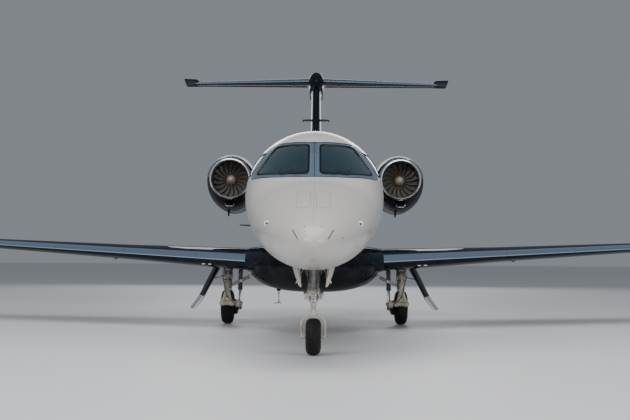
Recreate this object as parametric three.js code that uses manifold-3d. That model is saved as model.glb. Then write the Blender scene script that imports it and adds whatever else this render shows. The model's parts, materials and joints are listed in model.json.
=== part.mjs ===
// A light twin-engined business jet, parked on its landing gear.
// Millimetres, +Z up, nose towards -Y, standing on Z = 0. The origin is on the ground, midway along.
// "Station" is the distance aft of the nose tip, so y = station - LENGTH / 2. Left and right are the
// pilot's, and the pilot's left is +X. Angles are in degrees.
import * as THREE from "three";
import { mergeVertices } from "three/addons/utils/BufferGeometryUtils.js";
import Module from "manifold-3d";

const wasm = await Module();
wasm.setup();

// Driving dimensions
const LENGTH = 15640;
const TOP = 5100;
const WALL = 95; // cabin wall with its lining
const SEAT = 0.3; // gap left between faces that rest on each other
const GAP = 7; // running clearance around doors and control surfaces
const PIN = { radius: 9, reach: 45 }; // hinge pins, which reach into the fixed part at both ends
const FAR = 20000;
const SIDES = [
  { side: "left", sign: 1 },
  { side: "right", sign: -1 },
];

// Fuselage sections: upper and lower half-ellipses that share one widest line.
// columns: station, half width, height of the widest line, top, bottom
const FUSELAGE = [
  [0, 0, 1225, 1225, 1225],
  [18, 75, 1227, 1283, 1178],
  [80, 155, 1232, 1350, 1125],
  [220, 252, 1245, 1436, 1072],
  [450, 358, 1280, 1540, 1026],
  [750, 462, 1335, 1645, 992],
  [1100, 556, 1410, 1752, 969],
  [1500, 638, 1500, 1866, 954],
  [1850, 697, 1580, 1962, 947],
  [2150, 738, 1648, 2112, 944],
  [2500, 779, 1718, 2298, 942],
  [2850, 815, 1772, 2460, 942],
  [3200, 846, 1808, 2590, 942],
  [3600, 867, 1826, 2680, 942],
  [4100, 873, 1830, 2720, 942],
  [9300, 873, 1830, 2720, 942],
  [10000, 848, 1856, 2720, 982],
  [10800, 786, 1912, 2716, 1092],
  [11700, 676, 1998, 2697, 1284],
  [12600, 530, 2090, 2650, 1530],
  [13500, 365, 2180, 2575, 1800],
  [14300, 205, 2255, 2480, 2060],
  [14800, 95, 2290, 2400, 2205],
];
const RING = 24; // points round each section
const NOSE_JOINT = 1600; // station of the front bulkhead
const COCKPIT_JOINT = 3560;
const CABIN_JOINT = 9200; // station of the rear bulkhead
const CABIN_FRONT = 1750; // where the hollow inside begins

// Wing sections. columns: span, leading edge station, leading edge height, chord, thickness ratio
const WING = [
  [900, 6300, 1030, 2830, 0.128],
  [3000, 7370, 1150, 1990, 0.122],
  [7480, 9655, 1406, 900, 0.11],
];
// Winglet sections, lofted from the wing tip. columns: span, leading edge station, height, chord, thickness
const WINGLET = [
  [7480.3, 9655.2, 1406, 899.6, 98.9],
  [7660, 9775, 1432, 800, 74],
  [7780, 9890, 1520, 700, 60],
  [7900, 10230, 1930, 430, 34],
  [7940, 10390, 2120, 300, 22],
];
const FLAP = { from: 1290, to: 4150, share: 0.74 };
const AILERON = { from: 4230, to: 6900, share: 0.76 };

// Tail sizes
const FIN = [
  // columns: height, leading edge station, chord, thickness
  [2520, 10960, 3260, 240],
  [3000, 11900, 2610, 235],
  [4640, 13180, 1890, 190],
];
const STABILIZER = [
  // columns: span, leading edge station, height, chord, thickness ratio
  [0, 13560, 4885, 1330, 0.115],
  [2550, 14440, 4962, 760, 0.105],
  [2950, 14610, 4972, 660, 0.09],
];
const TRIM = 0.09; // rise of the stabilizer's chord for each unit aft
const RUDDER_SHARE = 0.68;
const ELEVATOR_SHARE = 0.66;
const ELEVATOR_DROOP = 8; // the elevators rest on their down stop when parked

// Landing gear
const WHEEL_SIDES = 22;
const NOSE_GEAR = { station: 2020, tyreRadius: 207, tyreWidth: 172, rimRadius: 108, trackHalf: 130 };
const MAIN_GEAR = {
  station: 8110,
  wheelX: 1425,
  tyreRadius: 282,
  tyreWidth: 208,
  rimRadius: 142,
  pivotStation: 7700,
  pivotHeight: 352,
};

// Engines
const ENGINE = {
  x: 1500,
  z: 2470,
  front: 9180,
  fanStation: 9560,
  blades: 18,
};

const yOf = (station) => station - LENGTH / 2;
const rad = THREE.MathUtils.degToRad;
const vec = (x, y, z) => new THREE.Vector3(x, y, z);

// Solids

// A geometry as a closed solid that can be joined and cut.
function solid(geometry) {
  const bare = geometry.clone();
  for (const name of Object.keys(bare.attributes)) {
    if (name !== "position") bare.deleteAttribute(name);
  }
  const merged = mergeVertices(bare, 1e-3);
  return new wasm.Manifold(
    new wasm.Mesh({
      numProp: 3,
      vertProperties: new Float32Array(merged.attributes.position.array),
      triVerts: new Uint32Array(merged.index.array),
    }),
  );
}

// A solid as a geometry again.
function geometryOf(made) {
  const mesh = made.getMesh();
  const geometry = new THREE.BufferGeometry();
  geometry.setAttribute("position", new THREE.BufferAttribute(new Float32Array(mesh.vertProperties), 3));
  geometry.setIndex(new THREE.BufferAttribute(new Uint32Array(mesh.triVerts), 1));
  return geometry;
}

const joined = (solids) => solids.reduce((a, b) => a.add(b));
const mirrorX = (made) => made.mirror([1, 0, 0]);
const onSide = (made, sign) => (sign > 0 ? made : mirrorX(made));

// A closed body through rings of equal length. A ring of one point is a tip.
function loft(rings) {
  const positions = [];
  const index = [];
  const starts = rings.map((ring) => {
    const start = positions.length / 3;
    for (const p of ring) positions.push(p.x, p.y, p.z);
    return start;
  });
  const count = Math.max(...rings.map((ring) => ring.length));
  for (let r = 0; r + 1 < rings.length; r++) {
    const [a, b] = [starts[r], starts[r + 1]];
    const [tipA, tipB] = [rings[r].length === 1, rings[r + 1].length === 1];
    for (let i = 0; i < count; i++) {
      const j = (i + 1) % count;
      if (tipA) index.push(a, b + j, b + i);
      else if (tipB) index.push(a + i, a + j, b);
      else index.push(a + i, a + j, b + j, a + i, b + j, b + i);
    }
  }
  capRing(rings[0], starts[0], index, true);
  capRing(rings.at(-1), starts.at(-1), index, false);
  const geometry = new THREE.BufferGeometry();
  geometry.setAttribute("position", new THREE.Float32BufferAttribute(positions, 3));
  geometry.setIndex(index);
  const made = solid(geometry);
  return made.volume() < 0 ? solid(flipped(geometry)) : made;
}

function flipped(geometry) {
  const turned = geometry.clone();
  const order = Array.from(turned.index.array);
  for (let i = 0; i < order.length; i += 3) [order[i + 1], order[i + 2]] = [order[i + 2], order[i + 1]];
  turned.setIndex(order);
  return turned;
}

// Closes one end ring, flattened on the two axes in which it is widest.
function capRing(ring, start, index, first) {
  if (ring.length < 3) return;
  const box = new THREE.Box3().setFromPoints(ring);
  const size = box.getSize(vec(0, 0, 0));
  const axes = ["x", "y", "z"].sort((p, q) => size[q] - size[p]).slice(0, 2).sort();
  const flat = ring.map((p) => new THREE.Vector2(p[axes[0]], p[axes[1]]));
  const faces = THREE.ShapeUtils.triangulateShape(flat, []);
  const forward = ringTurns(faces, ring.length);
  for (const [a, b, c] of faces) {
    const keep = forward === first ? [a, c, b] : [a, b, c];
    index.push(...keep.map((i) => start + i));
  }
}

// True if the faces run round the ring in the order of its points.
function ringTurns(faces, count) {
  for (const face of faces) {
    for (let i = 0; i < 3; i++) {
      const step = (face[(i + 1) % 3] - face[i] + count) % count;
      if (step === 1) return true;
      if (step === count - 1) return false;
    }
  }
  return true;
}

function box(x0, x1, y0, y1, z0, z1) {
  const geometry = new THREE.BoxGeometry(x1 - x0, y1 - y0, z1 - z0);
  geometry.translate((x0 + x1) / 2, (y0 + y1) / 2, (z0 + z1) / 2);
  return solid(geometry);
}

// A round bar or cone from one point to another.
function bar(from, to, r0, r1 = r0, sides = 10) {
  const along = vec(to[0] - from[0], to[1] - from[1], to[2] - from[2]);
  const geometry = new THREE.CylinderGeometry(r1, r0, along.length(), sides);
  geometry.translate(0, along.length() / 2, 0);
  geometry.applyQuaternion(new THREE.Quaternion().setFromUnitVectors(vec(0, 1, 0), along.normalize()));
  geometry.translate(from[0], from[1], from[2]);
  return solid(geometry);
}

// A closed profile of [radius, distance along X] turned about the X axis through (y, z).
function turnedX(profile, x, y, z, sides) {
  const geometry = new THREE.LatheGeometry(profile.map(([r, h]) => new THREE.Vector2(r, h)), sides);
  geometry.rotateZ(-Math.PI / 2);
  geometry.translate(x, y, z);
  const made = solid(geometry);
  return made.volume() < 0 ? solid(flipped(mergeVertices(bareGeometry(geometry), 1e-3))) : made;
}

// The same about the Y axis, with distance growing aft.
function turnedY(profile, x, y, z, sides) {
  const geometry = new THREE.LatheGeometry(profile.map(([r, h]) => new THREE.Vector2(r, h)), sides);
  geometry.translate(x, y, z);
  const made = solid(geometry);
  return made.volume() < 0 ? solid(flipped(mergeVertices(bareGeometry(geometry), 1e-3))) : made;
}

function bareGeometry(geometry) {
  const bare = geometry.clone();
  bare.deleteAttribute("normal");
  bare.deleteAttribute("uv");
  return bare;
}

// An outline of [a, b] points, extruded between two values of the third axis.
function prism(points, plane, from, to) {
  const shape = new THREE.Shape(points.map(([a, b]) => new THREE.Vector2(a, b)));
  const geometry = new THREE.ExtrudeGeometry(shape, { depth: to - from, bevelEnabled: false });
  geometry.translate(0, 0, from);
  const turn = new THREE.Matrix4();
  if (plane === "xz") turn.set(1, 0, 0, 0, 0, 0, 1, 0, 0, 1, 0, 0, 0, 0, 0, 1);
  if (plane === "yz") turn.set(0, 0, 1, 0, 1, 0, 0, 0, 0, 1, 0, 0, 0, 0, 0, 1);
  geometry.applyMatrix4(turn);
  const bare = mergeVertices(bareGeometry(geometry), 1e-3);
  return solid(turn.determinant() < 0 ? flipped(bare) : bare);
}

// An outline with its corners rounded, as a list of points.
function rounded(points, radius, steps = 3) {
  const out = [];
  for (let i = 0; i < points.length; i++) {
    const corner = new THREE.Vector2(...points[i]);
    const before = new THREE.Vector2(...points.at(i - 1)).sub(corner);
    const after = new THREE.Vector2(...points[(i + 1) % points.length]).sub(corner);
    const reach = Math.min(radius, before.length() / 2.2, after.length() / 2.2);
    const a = corner.clone().add(before.setLength(reach));
    const b = corner.clone().add(after.setLength(reach));
    for (let k = 0; k <= steps; k++) {
      const p = new THREE.QuadraticBezierCurve(a, corner, b).getPoint(k / steps);
      out.push([p.x, p.y]);
    }
  }
  return out;
}

// An outline moved inwards by a distance, which suits the convex outlines used here.
function inset(points, distance) {
  const count = points.length;
  const area = points.reduce((sum, [x, y], i) => {
    const [nx, ny] = points[(i + 1) % count];
    return sum + x * ny - nx * y;
  }, 0);
  const turn = Math.sign(area);
  return points.map((p, i) => {
    const before = new THREE.Vector2(...p).sub(new THREE.Vector2(...points.at(i - 1))).normalize();
    const after = new THREE.Vector2(...points[(i + 1) % count]).sub(new THREE.Vector2(...p)).normalize();
    const normal = new THREE.Vector2(-before.y - after.y, before.x + after.x).multiplyScalar(turn);
    const half = Math.max(0.3, normal.length() / 2);
    normal.normalize().multiplyScalar(distance / half);
    return [p[0] + normal.x, p[1] + normal.y];
  });
}

// A value of a table's column at a place between its rows.
function between(table, at, column) {
  const last = table.length - 1;
  const i = Math.min(last - 1, Math.max(0, table.findIndex((row) => row[0] >= at) - 1));
  const [a, b] = [table[i], table[i + 1]];
  const t = (at - a[0]) / (b[0] - a[0]);
  return a[column] + (b[column] - a[column]) * t;
}

// Fuselage

function fuselageRing(station, inward = 0) {
  const [half, wide, top, bottom] = [1, 2, 3, 4].map((column) => between(FUSELAGE, station, column));
  const ring = [];
  for (let i = 0; i < RING; i++) {
    const angle = (2 * Math.PI * i) / RING;
    const rise = Math.sin(angle) > 0 ? top - wide : wide - bottom;
    ring.push(
      vec(
        Math.cos(angle) * (half - inward),
        yOf(station),
        wide + Math.sin(angle) * Math.max(1, rise - inward),
      ),
    );
  }
  return ring;
}

function fuselageBody(from, to, inward = 0) {
  const stations = FUSELAGE.map((row) => row[0]).filter((s) => s > from + 1 && s < to - 1);
  const rings = [from, ...stations, to].map((s) => fuselageRing(s, inward));
  if (from === 0) rings[0] = [vec(0, yOf(0), FUSELAGE[0][2])];
  return loft(rings);
}

// The fuselage grown by a gap, for cutting pieces that rest against either side of it.
function fuselageRoom(from, to, gap) {
  const room = fuselageBody(from, to, -gap);
  return room.add(mirrorX(room));
}

const CABIN_REAR = CABIN_JOINT - 40;
const cabinSpace = fuselageBody(CABIN_FRONT, CABIN_REAR, WALL);

// Windows. Outlines of the front panes are seen from ahead, as x and height.
const FRONT_PANE = [
  [72, 2034],
  [72, 2424],
  [268, 2426],
  [458, 2419],
  [672, 2054],
  [400, 2030],
];
const SIDE_PANE = [
  // as station and height
  [2960, 2075],
  [3190, 2365],
  [3440, 2340],
  [3470, 2085],
];
const CABIN_WINDOW = { width: 320, height: 430, corner: 120, middle: 2040 };
const LEFT_WINDOWS = [4960, 5700, 6440, 7180, 7920, 8640];
const RIGHT_WINDOWS = [4340, ...LEFT_WINDOWS];
const GLASS = { outer: 3, inner: 21 };
const PANE_PRISM = { front: 1900, rear: 3300 };

const frontOutline = rounded(FRONT_PANE, 32, 2);
const sideOutline = rounded(SIDE_PANE.map(([s, z]) => [yOf(s), z]), 60, 2);

function windowOutline(station) {
  const { width, height, corner, middle } = CABIN_WINDOW;
  const [w, h] = [width / 2, height / 2];
  const corners = [[-w, -h], [w, -h], [w, h], [-w, h]];
  return rounded(corners.map(([a, b]) => [yOf(station) + a, middle + b]), corner, 1);
}

const skinLayer = (from, to, outer, inner) =>
  fuselageBody(from, to, outer).subtract(fuselageBody(from - 50, to + 50, inner));

// Doors, cut from the walls and hinged along their lower edges. Both are on the left.
const ENTRY_DOOR = { front: 3660, rear: 4400, low: 1175, high: 2430, depth: 700, tread: 110 };
const BAGGAGE_DOOR = { front: 10100, rear: 10900, low: 1430, high: 2060, depth: 500 };
const DOOR_HINGE = { inboard: 26, barrel: 16 };
const TAIL_SPACE = { front: 9260, rear: 13900, wall: 60 };

// The hinge line of a door, from its front end to its rear end.
function doorHinge({ front, rear, low }) {
  const at = (station) => vec(outerHalfWidth(station, low) - DOOR_HINGE.inboard, yOf(station), low);
  return [at(front), at(rear)];
}

// What turns with a door, or with a clearance what its opening in the wall takes away.
function doorParts(door, clearance) {
  const [a, b] = doorHinge(door);
  const axis = b.clone().sub(a).normalize();
  const out = axis.clone().cross(vec(0, 0, 1));
  const length = a.distanceTo(b);
  const tall = door.high - door.low + 2 * clearance;
  const block = new THREE.BoxGeometry(door.depth + 400, length + 2 * clearance, tall);
  block.translate(200 - door.depth / 2, length / 2, tall / 2 - clearance);
  block.applyMatrix4(new THREE.Matrix4().makeBasis(out, axis, vec(0, 0, 1)).setPosition(a));
  const run = (from, to, radius, sides) => {
    const ends = [from, to].map((distance) => a.clone().addScaledVector(axis, distance).toArray());
    return bar(...ends, radius, radius, sides);
  };
  const open = clearance > 0;
  const barrel = open ? DOOR_HINGE.inboard + clearance : DOOR_HINGE.barrel;
  const pin = open ? (PIN.radius + SEAT) / Math.cos(Math.PI / 8) : PIN.radius;
  const reach = PIN.reach + (open ? SEAT : 0);
  return {
    block: solid(block),
    barrel: run(-clearance - (open ? 0.6 : 0), length + clearance + (open ? 0.6 : 0), barrel, 16),
    pins: joined([run(-reach, 40, pin, 8), run(length - 40, length + reach, pin, 8)]),
  };
}

const doorway = (door) => joined(Object.values(doorParts(door, GAP)));

function outerHalfWidth(station, height) {
  const [half, wide, top, bottom] = [1, 2, 3, 4].map((column) => between(FUSELAGE, station, column));
  const rise = height > wide ? top - wide : wide - bottom;
  return half * Math.sqrt(Math.max(0, 1 - ((height - wide) / rise) ** 2));
}

function cockpitShell() {
  const { front, rear } = PANE_PRISM;
  const glassHole = prism(frontOutline, "xz", yOf(front - 200), yOf(rear));
  const sideHole = prism(sideOutline, "yz", 0, FAR);
  return fuselageBody(NOSE_JOINT + SEAT, COCKPIT_JOINT)
    .subtract(cabinSpace)
    .subtract(glassHole)
    .subtract(mirrorX(glassHole))
    .subtract(sideHole)
    .subtract(mirrorX(sideHole));
}

function cabinShell() {
  let shell = fuselageBody(COCKPIT_JOINT + SEAT, CABIN_JOINT).subtract(cabinSpace);
  for (const s of LEFT_WINDOWS) shell = shell.subtract(prism(windowOutline(s), "yz", 0, FAR));
  for (const s of RIGHT_WINDOWS) shell = shell.subtract(prism(windowOutline(s), "yz", -FAR, 0));
  return shell.subtract(doorway(ENTRY_DOOR));
}

function windshieldPane() {
  const { front, rear } = PANE_PRISM;
  const pane = prism(inset(frontOutline, SEAT), "xz", yOf(front - 150), yOf(rear));
  return skinLayer(NOSE_JOINT + 100, COCKPIT_JOINT, GLASS.outer, GLASS.inner).intersect(pane);
}

function cockpitSidePane() {
  const pane = prism(inset(sideOutline, SEAT), "yz", 0, FAR);
  return skinLayer(NOSE_JOINT + 100, COCKPIT_JOINT, GLASS.outer, GLASS.inner).intersect(pane);
}

// The cabin panes of one side, carried by the lining strip behind them.
function cabinGlazing(stations) {
  const { middle, height, width } = CABIN_WINDOW;
  const [from, to] = [stations[0] - width / 2 - 60, stations.at(-1) + width / 2 + 60];
  const [low, high] = [middle - height / 2 - 50, middle + height / 2 + 50];
  const strip = skinLayer(from, to, WALL + SEAT, WALL + 14).intersect(box(0, FAR, -FAR, FAR, low, high));
  const layer = skinLayer(from, to, 12, WALL + 10);
  const panes = stations.map((s) => layer.intersect(prism(inset(windowOutline(s), SEAT), "yz", 0, FAR)));
  return joined([strip, ...panes]);
}

function entryDoor() {
  const { front, rear, low, high, tread } = ENTRY_DOOR;
  const { block, barrel, pins } = doorParts(ENTRY_DOOR, 0);
  const wall = fuselageBody(COCKPIT_JOINT + SEAT, CABIN_JOINT).subtract(cabinSpace).intersect(block);
  const treads = [0.2, 0.42, 0.64].map((share) => {
    const z = low + (high - low) * share;
    const x = outerHalfWidth(rear, z) - WALL;
    return box(x - tread, x + 30, yOf(front) + 60, yOf(rear) - 60, z - 18, z + 18);
  });
  return joined([wall, barrel, pins, ...treads]);
}

// The tail cone is a hollow shell that opens through the baggage door on its left side.
function tailBody() {
  const { wall, front, rear } = TAIL_SPACE;
  return fuselageBody(CABIN_JOINT + SEAT, FUSELAGE.at(-1)[0])
    .subtract(fuselageBody(front, rear, wall))
    .subtract(doorway(BAGGAGE_DOOR));
}

function baggageDoor() {
  const { block, barrel, pins } = doorParts(BAGGAGE_DOOR, 0);
  return skinLayer(9900, 11200, 0, TAIL_SPACE.wall).intersect(block).add(barrel).add(pins);
}

// Cabin inside
const FLOOR = { top: 1180, thick: 50, front: 1900 };

function cabinFloor() {
  const slab = box(-FAR, FAR, yOf(FLOOR.front), yOf(CABIN_REAR - 20), FLOOR.top - FLOOR.thick, FLOOR.top);
  return slab.intersect(fuselageBody(CABIN_FRONT, CABIN_REAR, WALL + SEAT));
}

function instrumentPanel() {
  const desk = prism([[yOf(2060), 1300], [yOf(2060), 1840], [yOf(2140), 1925], [yOf(2440), 1935],
    [yOf(2440), 1880], [yOf(2300), 1860], [yOf(2260), 1300]], "yz", -640, 640);
  const pedestal = box(-130, 130, yOf(2200), yOf(2700), FLOOR.top + SEAT, 1420);
  return joined([desk, pedestal]).intersect(fuselageBody(CABIN_FRONT, COCKPIT_JOINT, WALL + 12));
}

// One seat facing forward, with its base on the floor: x and station of its middle.
function seat(x, station, facing = -1, wide = 460) {
  const y = yOf(station);
  const w = wide / 2;
  const place = ([a, b]) => [y + a * facing * -1, b];
  const back = [[150, 1520], [260, 1560], [330, 2150], [230, 2165], [140, 1640]].map(place);
  const cushion = [[-270, 1440], [-260, 1580], [200, 1570], [200, 1420]].map(place);
  const headrest = [[240, 2140], [325, 2130], [345, 2320], [275, 2325]].map(place);
  return joined([
    prism(cushion, "yz", x - w, x + w),
    prism(back, "yz", x - w + 20, x + w - 20),
    prism(headrest, "yz", x - 120, x + 120),
    box(x - Math.sign(x) * 60 - 75, x - Math.sign(x) * 60 + 75, y - 200, y + 180, FLOOR.top + SEAT, 1450),
  ]);
}

const CREW_SEAT = { x: 345, station: 3020 };
const CLUB = { x: 410, forward: 5250, aft: 6700, wide: 440 };

function crewSeats() {
  const { x, station } = CREW_SEAT;
  const rail = box(-x, x, yOf(station) - 60, yOf(station) + 60, FLOOR.top + SEAT, FLOOR.top + 30);
  return joined([seat(x, station, -1, 440), seat(-x, station, -1, 440), rail]);
}

function clubSeats() {
  const { x, forward, aft, wide } = CLUB;
  const rail = box(x - 120, x - 60, yOf(forward), yOf(aft), FLOOR.top + SEAT, FLOOR.top + 25);
  const pair = joined([seat(x, forward, 1, wide), seat(x, aft, -1, wide), rail]);
  return pair.intersect(fuselageBody(CABIN_FRONT, CABIN_REAR, WALL + 30));
}

// Wing fairing under the fuselage. columns: station, half width, top, bottom
const FAIRING = [
  [4950, 260, 1010, 900],
  [5500, 620, 1150, 720],
  [6200, 900, 1290, 600],
  [7000, 1010, 1330, 560],
  [8200, 1020, 1320, 560],
  [9100, 960, 1270, 600],
  [9900, 700, 1200, 740],
  [10500, 300, 1130, 960],
];

function wingFairingBody() {
  const rings = FAIRING.map(([station, half, top, bottom]) => {
    const middle = top - (top - bottom) * 0.42;
    const ring = [];
    for (let i = 0; i < 24; i++) {
      const angle = (2 * Math.PI * i) / 24;
      const [c, s] = [Math.cos(angle), Math.sin(angle)];
      const rise = s > 0 ? top - middle : middle - bottom;
      const power = s > 0 ? 0.75 : 0.8;
      const across = Math.sign(c) * Math.abs(c) ** power * half;
      ring.push(vec(across, yOf(station), middle + Math.sign(s) * Math.abs(s) ** power * rise));
    }
    return ring;
  });
  return loft(rings);
}

function wingFairing() {
  const inside = fuselageRoom(COCKPIT_JOINT, 12000, SEAT);
  const wingRoot = wingBody(820 - SEAT, SEAT);
  return wingFairingBody().subtract(inside).subtract(wingRoot).subtract(mirrorX(wingRoot));
}

// Wing

// Section of a wing as share of chord and half thickness, from the trailing edge over the nose and back.
const FOIL = [
  [1, 0.02], [0.8, 0.31], [0.55, 0.75], [0.32, 1], [0.15, 0.87], [0.05, 0.55], [0.01, 0.25],
];

const CAMBER = 0.12;

function foilRing(place, chord, thick, camber = CAMBER) {
  const upper = FOIL.map(([share, t]) => place(share * chord, (t * (1 + camber) * thick) / 2));
  const lower = FOIL.map(([share, t]) => place(share * chord, (-t * (1 - camber) * thick) / 2)).reverse();
  return [...upper, place(0, 0), ...lower];
}

function wingRow(span) {
  return [span, ...[1, 2, 3, 4].map((column) => between(WING, span, column))];
}

function wingBody(from = 820, grow = 0) {
  const spans = [from, WING[1][0], WING[2][0]];
  const rings = spans.map((at) => {
    const [span, lead, height, chord, ratio] = wingRow(at);
    const wide = chord + 2 * grow;
    const place = (back, up) => vec(span, yOf(lead + back - grow), height + up);
    return foilRing(place, wide, chord * ratio + 2 * grow);
  });
  return loft(rings);
}

// A point on the wing's hinge line, at a share of the chord.
function hingePoint(span, share) {
  const [, lead, height, chord] = wingRow(span);
  return vec(span, yOf(lead + chord * share), height + CAMBER * hingeRadius(span, share));
}

function hingeRadius(span, share) {
  const [, , , chord, ratio] = wingRow(span);
  const i = FOIL.findIndex(([s]) => s < share);
  const [a, b] = [FOIL[i], FOIL[i - 1]];
  const t = a[1] + ((b[1] - a[1]) * (share - a[0])) / (b[0] - a[0]);
  return (t * chord * ratio) / 2;
}

// What turns on a hinge line from a to b: a block behind it, the round nose along it, and two end pins.
function hinged({ a, b, ra, rb, start, stop = start, grow, reach, tall, noseStop = stop }) {
  const length = a.distanceTo(b);
  const axis = b.clone().sub(a).normalize();
  const back = vec(0, 1, 0).addScaledVector(axis, -axis.y).normalize();
  const up = axis.clone().cross(back);
  const frame = new THREE.Matrix4().makeBasis(axis, back, up).setPosition(a);
  const block = new THREE.BoxGeometry(length - start - stop, reach, tall);
  block.translate((length + start - stop) / 2, reach / 2, 0);
  const at = (distance) => a.clone().addScaledVector(axis, distance);
  const radiusAt = (distance) => ra + ((rb - ra) * distance) / length + grow;
  const run = (from, to, r0, r1, sides) => bar(at(from).toArray(), at(to).toArray(), r0, r1, sides);
  const noseEnd = length - noseStop;
  const spare = grow > 0 ? SEAT : 0;
  const pinRadius = grow > 0 ? (PIN.radius + SEAT) / Math.cos(Math.PI / 8) : PIN.radius;
  return {
    block: solid(block.applyMatrix4(frame)),
    nose: run(start, noseEnd, radiusAt(start), radiusAt(noseEnd), 12),
    pins: joined([
      run(-PIN.reach - spare, 40, pinRadius, pinRadius, 8),
      run(length - 40, length + PIN.reach + spare, pinRadius, pinRadius, 8),
    ]),
  };
}

const surfaceParts = ({ from, to, share }, grow, start) => {
  const [a, b] = [hingePoint(from, share), hingePoint(to, share)];
  const [ra, rb] = [hingeRadius(from, share), hingeRadius(to, share)];
  return hinged({ a, b, ra, rb, start, grow, reach: 1500, tall: 700 });
};

function wing() {
  let body = wingBody(820);
  for (const surface of [FLAP, AILERON]) {
    const { block, nose, pins } = surfaceParts(surface, GAP, 0);
    body = body.subtract(block).subtract(nose).subtract(pins);
  }
  return body;
}

function wingSurface(surface) {
  const { block, nose, pins } = surfaceParts(surface, 0, GAP);
  return wingBody(820).intersect(block).add(nose).add(pins);
}

function winglet() {
  return loft(
    WINGLET.map(([span, lead, height, chord, thick], i) => {
      const lean = [0, 0.45, 1.1, 1.28, 1.3][i];
      return foilRing(
        (back, up) => vec(span - up * Math.sin(lean), yOf(lead + back), height + up * Math.cos(lean)),
        chord,
        thick,
      );
    }),
  );
}

// Tail

function finBody() {
  return loft(
    FIN.map(([height, lead, chord, thick]) =>
      foilRing((back, up) => vec(up, yOf(lead + back), height), chord, thick, 0),
    ),
  );
}

function finHinge() {
  const at = (row) => vec(0, yOf(row[1] + row[2] * RUDDER_SHARE), row[0]);
  const low = at(FIN[1]);
  const high = at(FIN[2]);
  const along = high.clone().sub(low);
  const from = low.clone().addScaledVector(along, -0.2);
  const to = low.clone().addScaledVector(along, 0.985);
  return { from, to, r0: 65, r1: 51 };
}

function rudderParts(grow, ends) {
  const { from, to, r0, r1 } = finHinge();
  return hinged({ a: from, b: to, ra: r0, rb: r1, start: ends, grow, reach: 1900, tall: 900 });
}

function fin() {
  const { block, nose, pins } = rudderParts(GAP, 0);
  const tail = fuselageBody(CABIN_JOINT, FUSELAGE.at(-1)[0], -SEAT);
  return finBody().subtract(tail).subtract(block).subtract(nose).subtract(pins);
}

function rudder() {
  const { block, nose, pins } = rudderParts(0, GAP);
  const tail = fuselageBody(CABIN_JOINT, FUSELAGE.at(-1)[0], -GAP);
  return finBody().intersect(block).add(nose).add(pins).subtract(tail);
}

function stabilizerBody(grow = 0) {
  const rings = [...STABILIZER].reverse().map((row) => [-row[0], ...row.slice(1)]);
  const rows = [...rings.slice(0, -1), ...STABILIZER];
  return loft(
    rows.map(([span, lead, height, chord, ratio]) => {
      const place = (back, up) => vec(span, yOf(lead + back - grow), height + (back - grow) * TRIM + up);
      return foilRing(place, chord + 2 * grow, chord * ratio + 2 * grow, 0);
    }),
  );
}

const ELEVATOR_SPAN = { from: 260, horn: 2600, to: 2940 };

function elevatorHinge() {
  const at = (span) => {
    const [lead, height, chord, ratio] = [1, 2, 3, 4].map((column) => between(STABILIZER, span, column));
    const back = chord * ELEVATOR_SHARE;
    return { point: vec(span, yOf(lead + back), height + back * TRIM), radius: chord * ratio * 0.3 };
  };
  const [inner, outer] = [at(ELEVATOR_SPAN.from), at(ELEVATOR_SPAN.horn)];
  const along = outer.point.clone().sub(inner.point);
  const tip = inner.point.clone().addScaledVector(along, (ELEVATOR_SPAN.to - ELEVATOR_SPAN.from) / along.x);
  return { a: inner.point, b: tip, ra: inner.radius, rb: outer.radius * 0.75, horn: along.length() };
}

// The elevator's block and nose, and the horn, which is the part of the tip ahead of the hinge.
function elevatorParts(grow, start) {
  const { a, b, ra, rb, horn } = elevatorHinge();
  const inner = hinged({ a, b, ra, rb, start, stop: -300, noseStop: 0, grow, reach: 900, tall: 500 });
  const ends = { start: horn + start, stop: -300, noseStop: 0 };
  const tip = hinged({ a, b, ra, rb, ...ends, grow, reach: 1400, tall: 500 });
  const axis = b.clone().sub(a).normalize();
  const ahead = vec(0, 1, 0).addScaledVector(axis, -axis.y).setLength(-700);
  return { ...inner, horn: tip.block.translate(ahead.toArray()) };
}

function elevator() {
  const { block, nose, pins, horn } = elevatorParts(0, GAP);
  const keep = box(0, ELEVATOR_SPAN.from + 400, -FAR, FAR, 0, FAR);
  const made = stabilizerBody().intersect(block.add(horn)).add(nose).add(pins.intersect(keep));
  return turnedAbout(made, elevatorHinge().a, elevatorHinge().b, ELEVATOR_DROOP);
}

// A solid turned about the line from a to b.
function turnedAbout(made, a, b, angle) {
  const axis = b.clone().sub(a).normalize();
  const there = new THREE.Matrix4().makeTranslation(a);
  const turn = new THREE.Matrix4().makeRotationAxis(axis, -rad(angle));
  const back = new THREE.Matrix4().makeTranslation(a.clone().negate());
  return solid(geometryOf(made).applyMatrix4(there.multiply(turn).multiply(back)));
}

function stabilizer() {
  let body = stabilizerBody();
  const { block, nose, pins, horn } = elevatorParts(GAP, 0);
  for (const cut of [block, nose, pins, horn]) body = body.subtract(cut).subtract(mirrorX(cut));
  return body;
}

// Bullet fairing where the fin meets the stabilizer. columns: station, half width, top, bottom
const BULLET = [
  [13080, 20, 4800, 4760],
  [13200, 105, 4960, 4690],
  [13450, 158, 5060, 4640],
  [13900, 165, TOP, 4640],
  [14600, 150, 5085, 4645],
  [15250, 90, 5010, 4680],
  [15640, 14, 4880, 4850],
];

function bulletBody(grow = 0) {
  return loft(
    BULLET.map(([station, half, top, bottom]) => {
      const middle = (top + bottom) / 2;
      const ring = [];
      for (let i = 0; i < 16; i++) {
        const angle = (2 * Math.PI * i) / 16;
        const rise = (top - bottom) / 2 + grow;
        ring.push(vec((half + grow) * Math.cos(angle), yOf(station), middle + rise * Math.sin(angle)));
      }
      return ring;
    }),
  );
}

function tailBullet() {
  const room = box(-FAR, FAR, -FAR, FAR, 0, FIN.at(-1)[0] + SEAT);
  return bulletBody().subtract(room).subtract(stabilizerBody(SEAT)).subtract(rudderParts(GAP, 0).pins);
}

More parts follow.
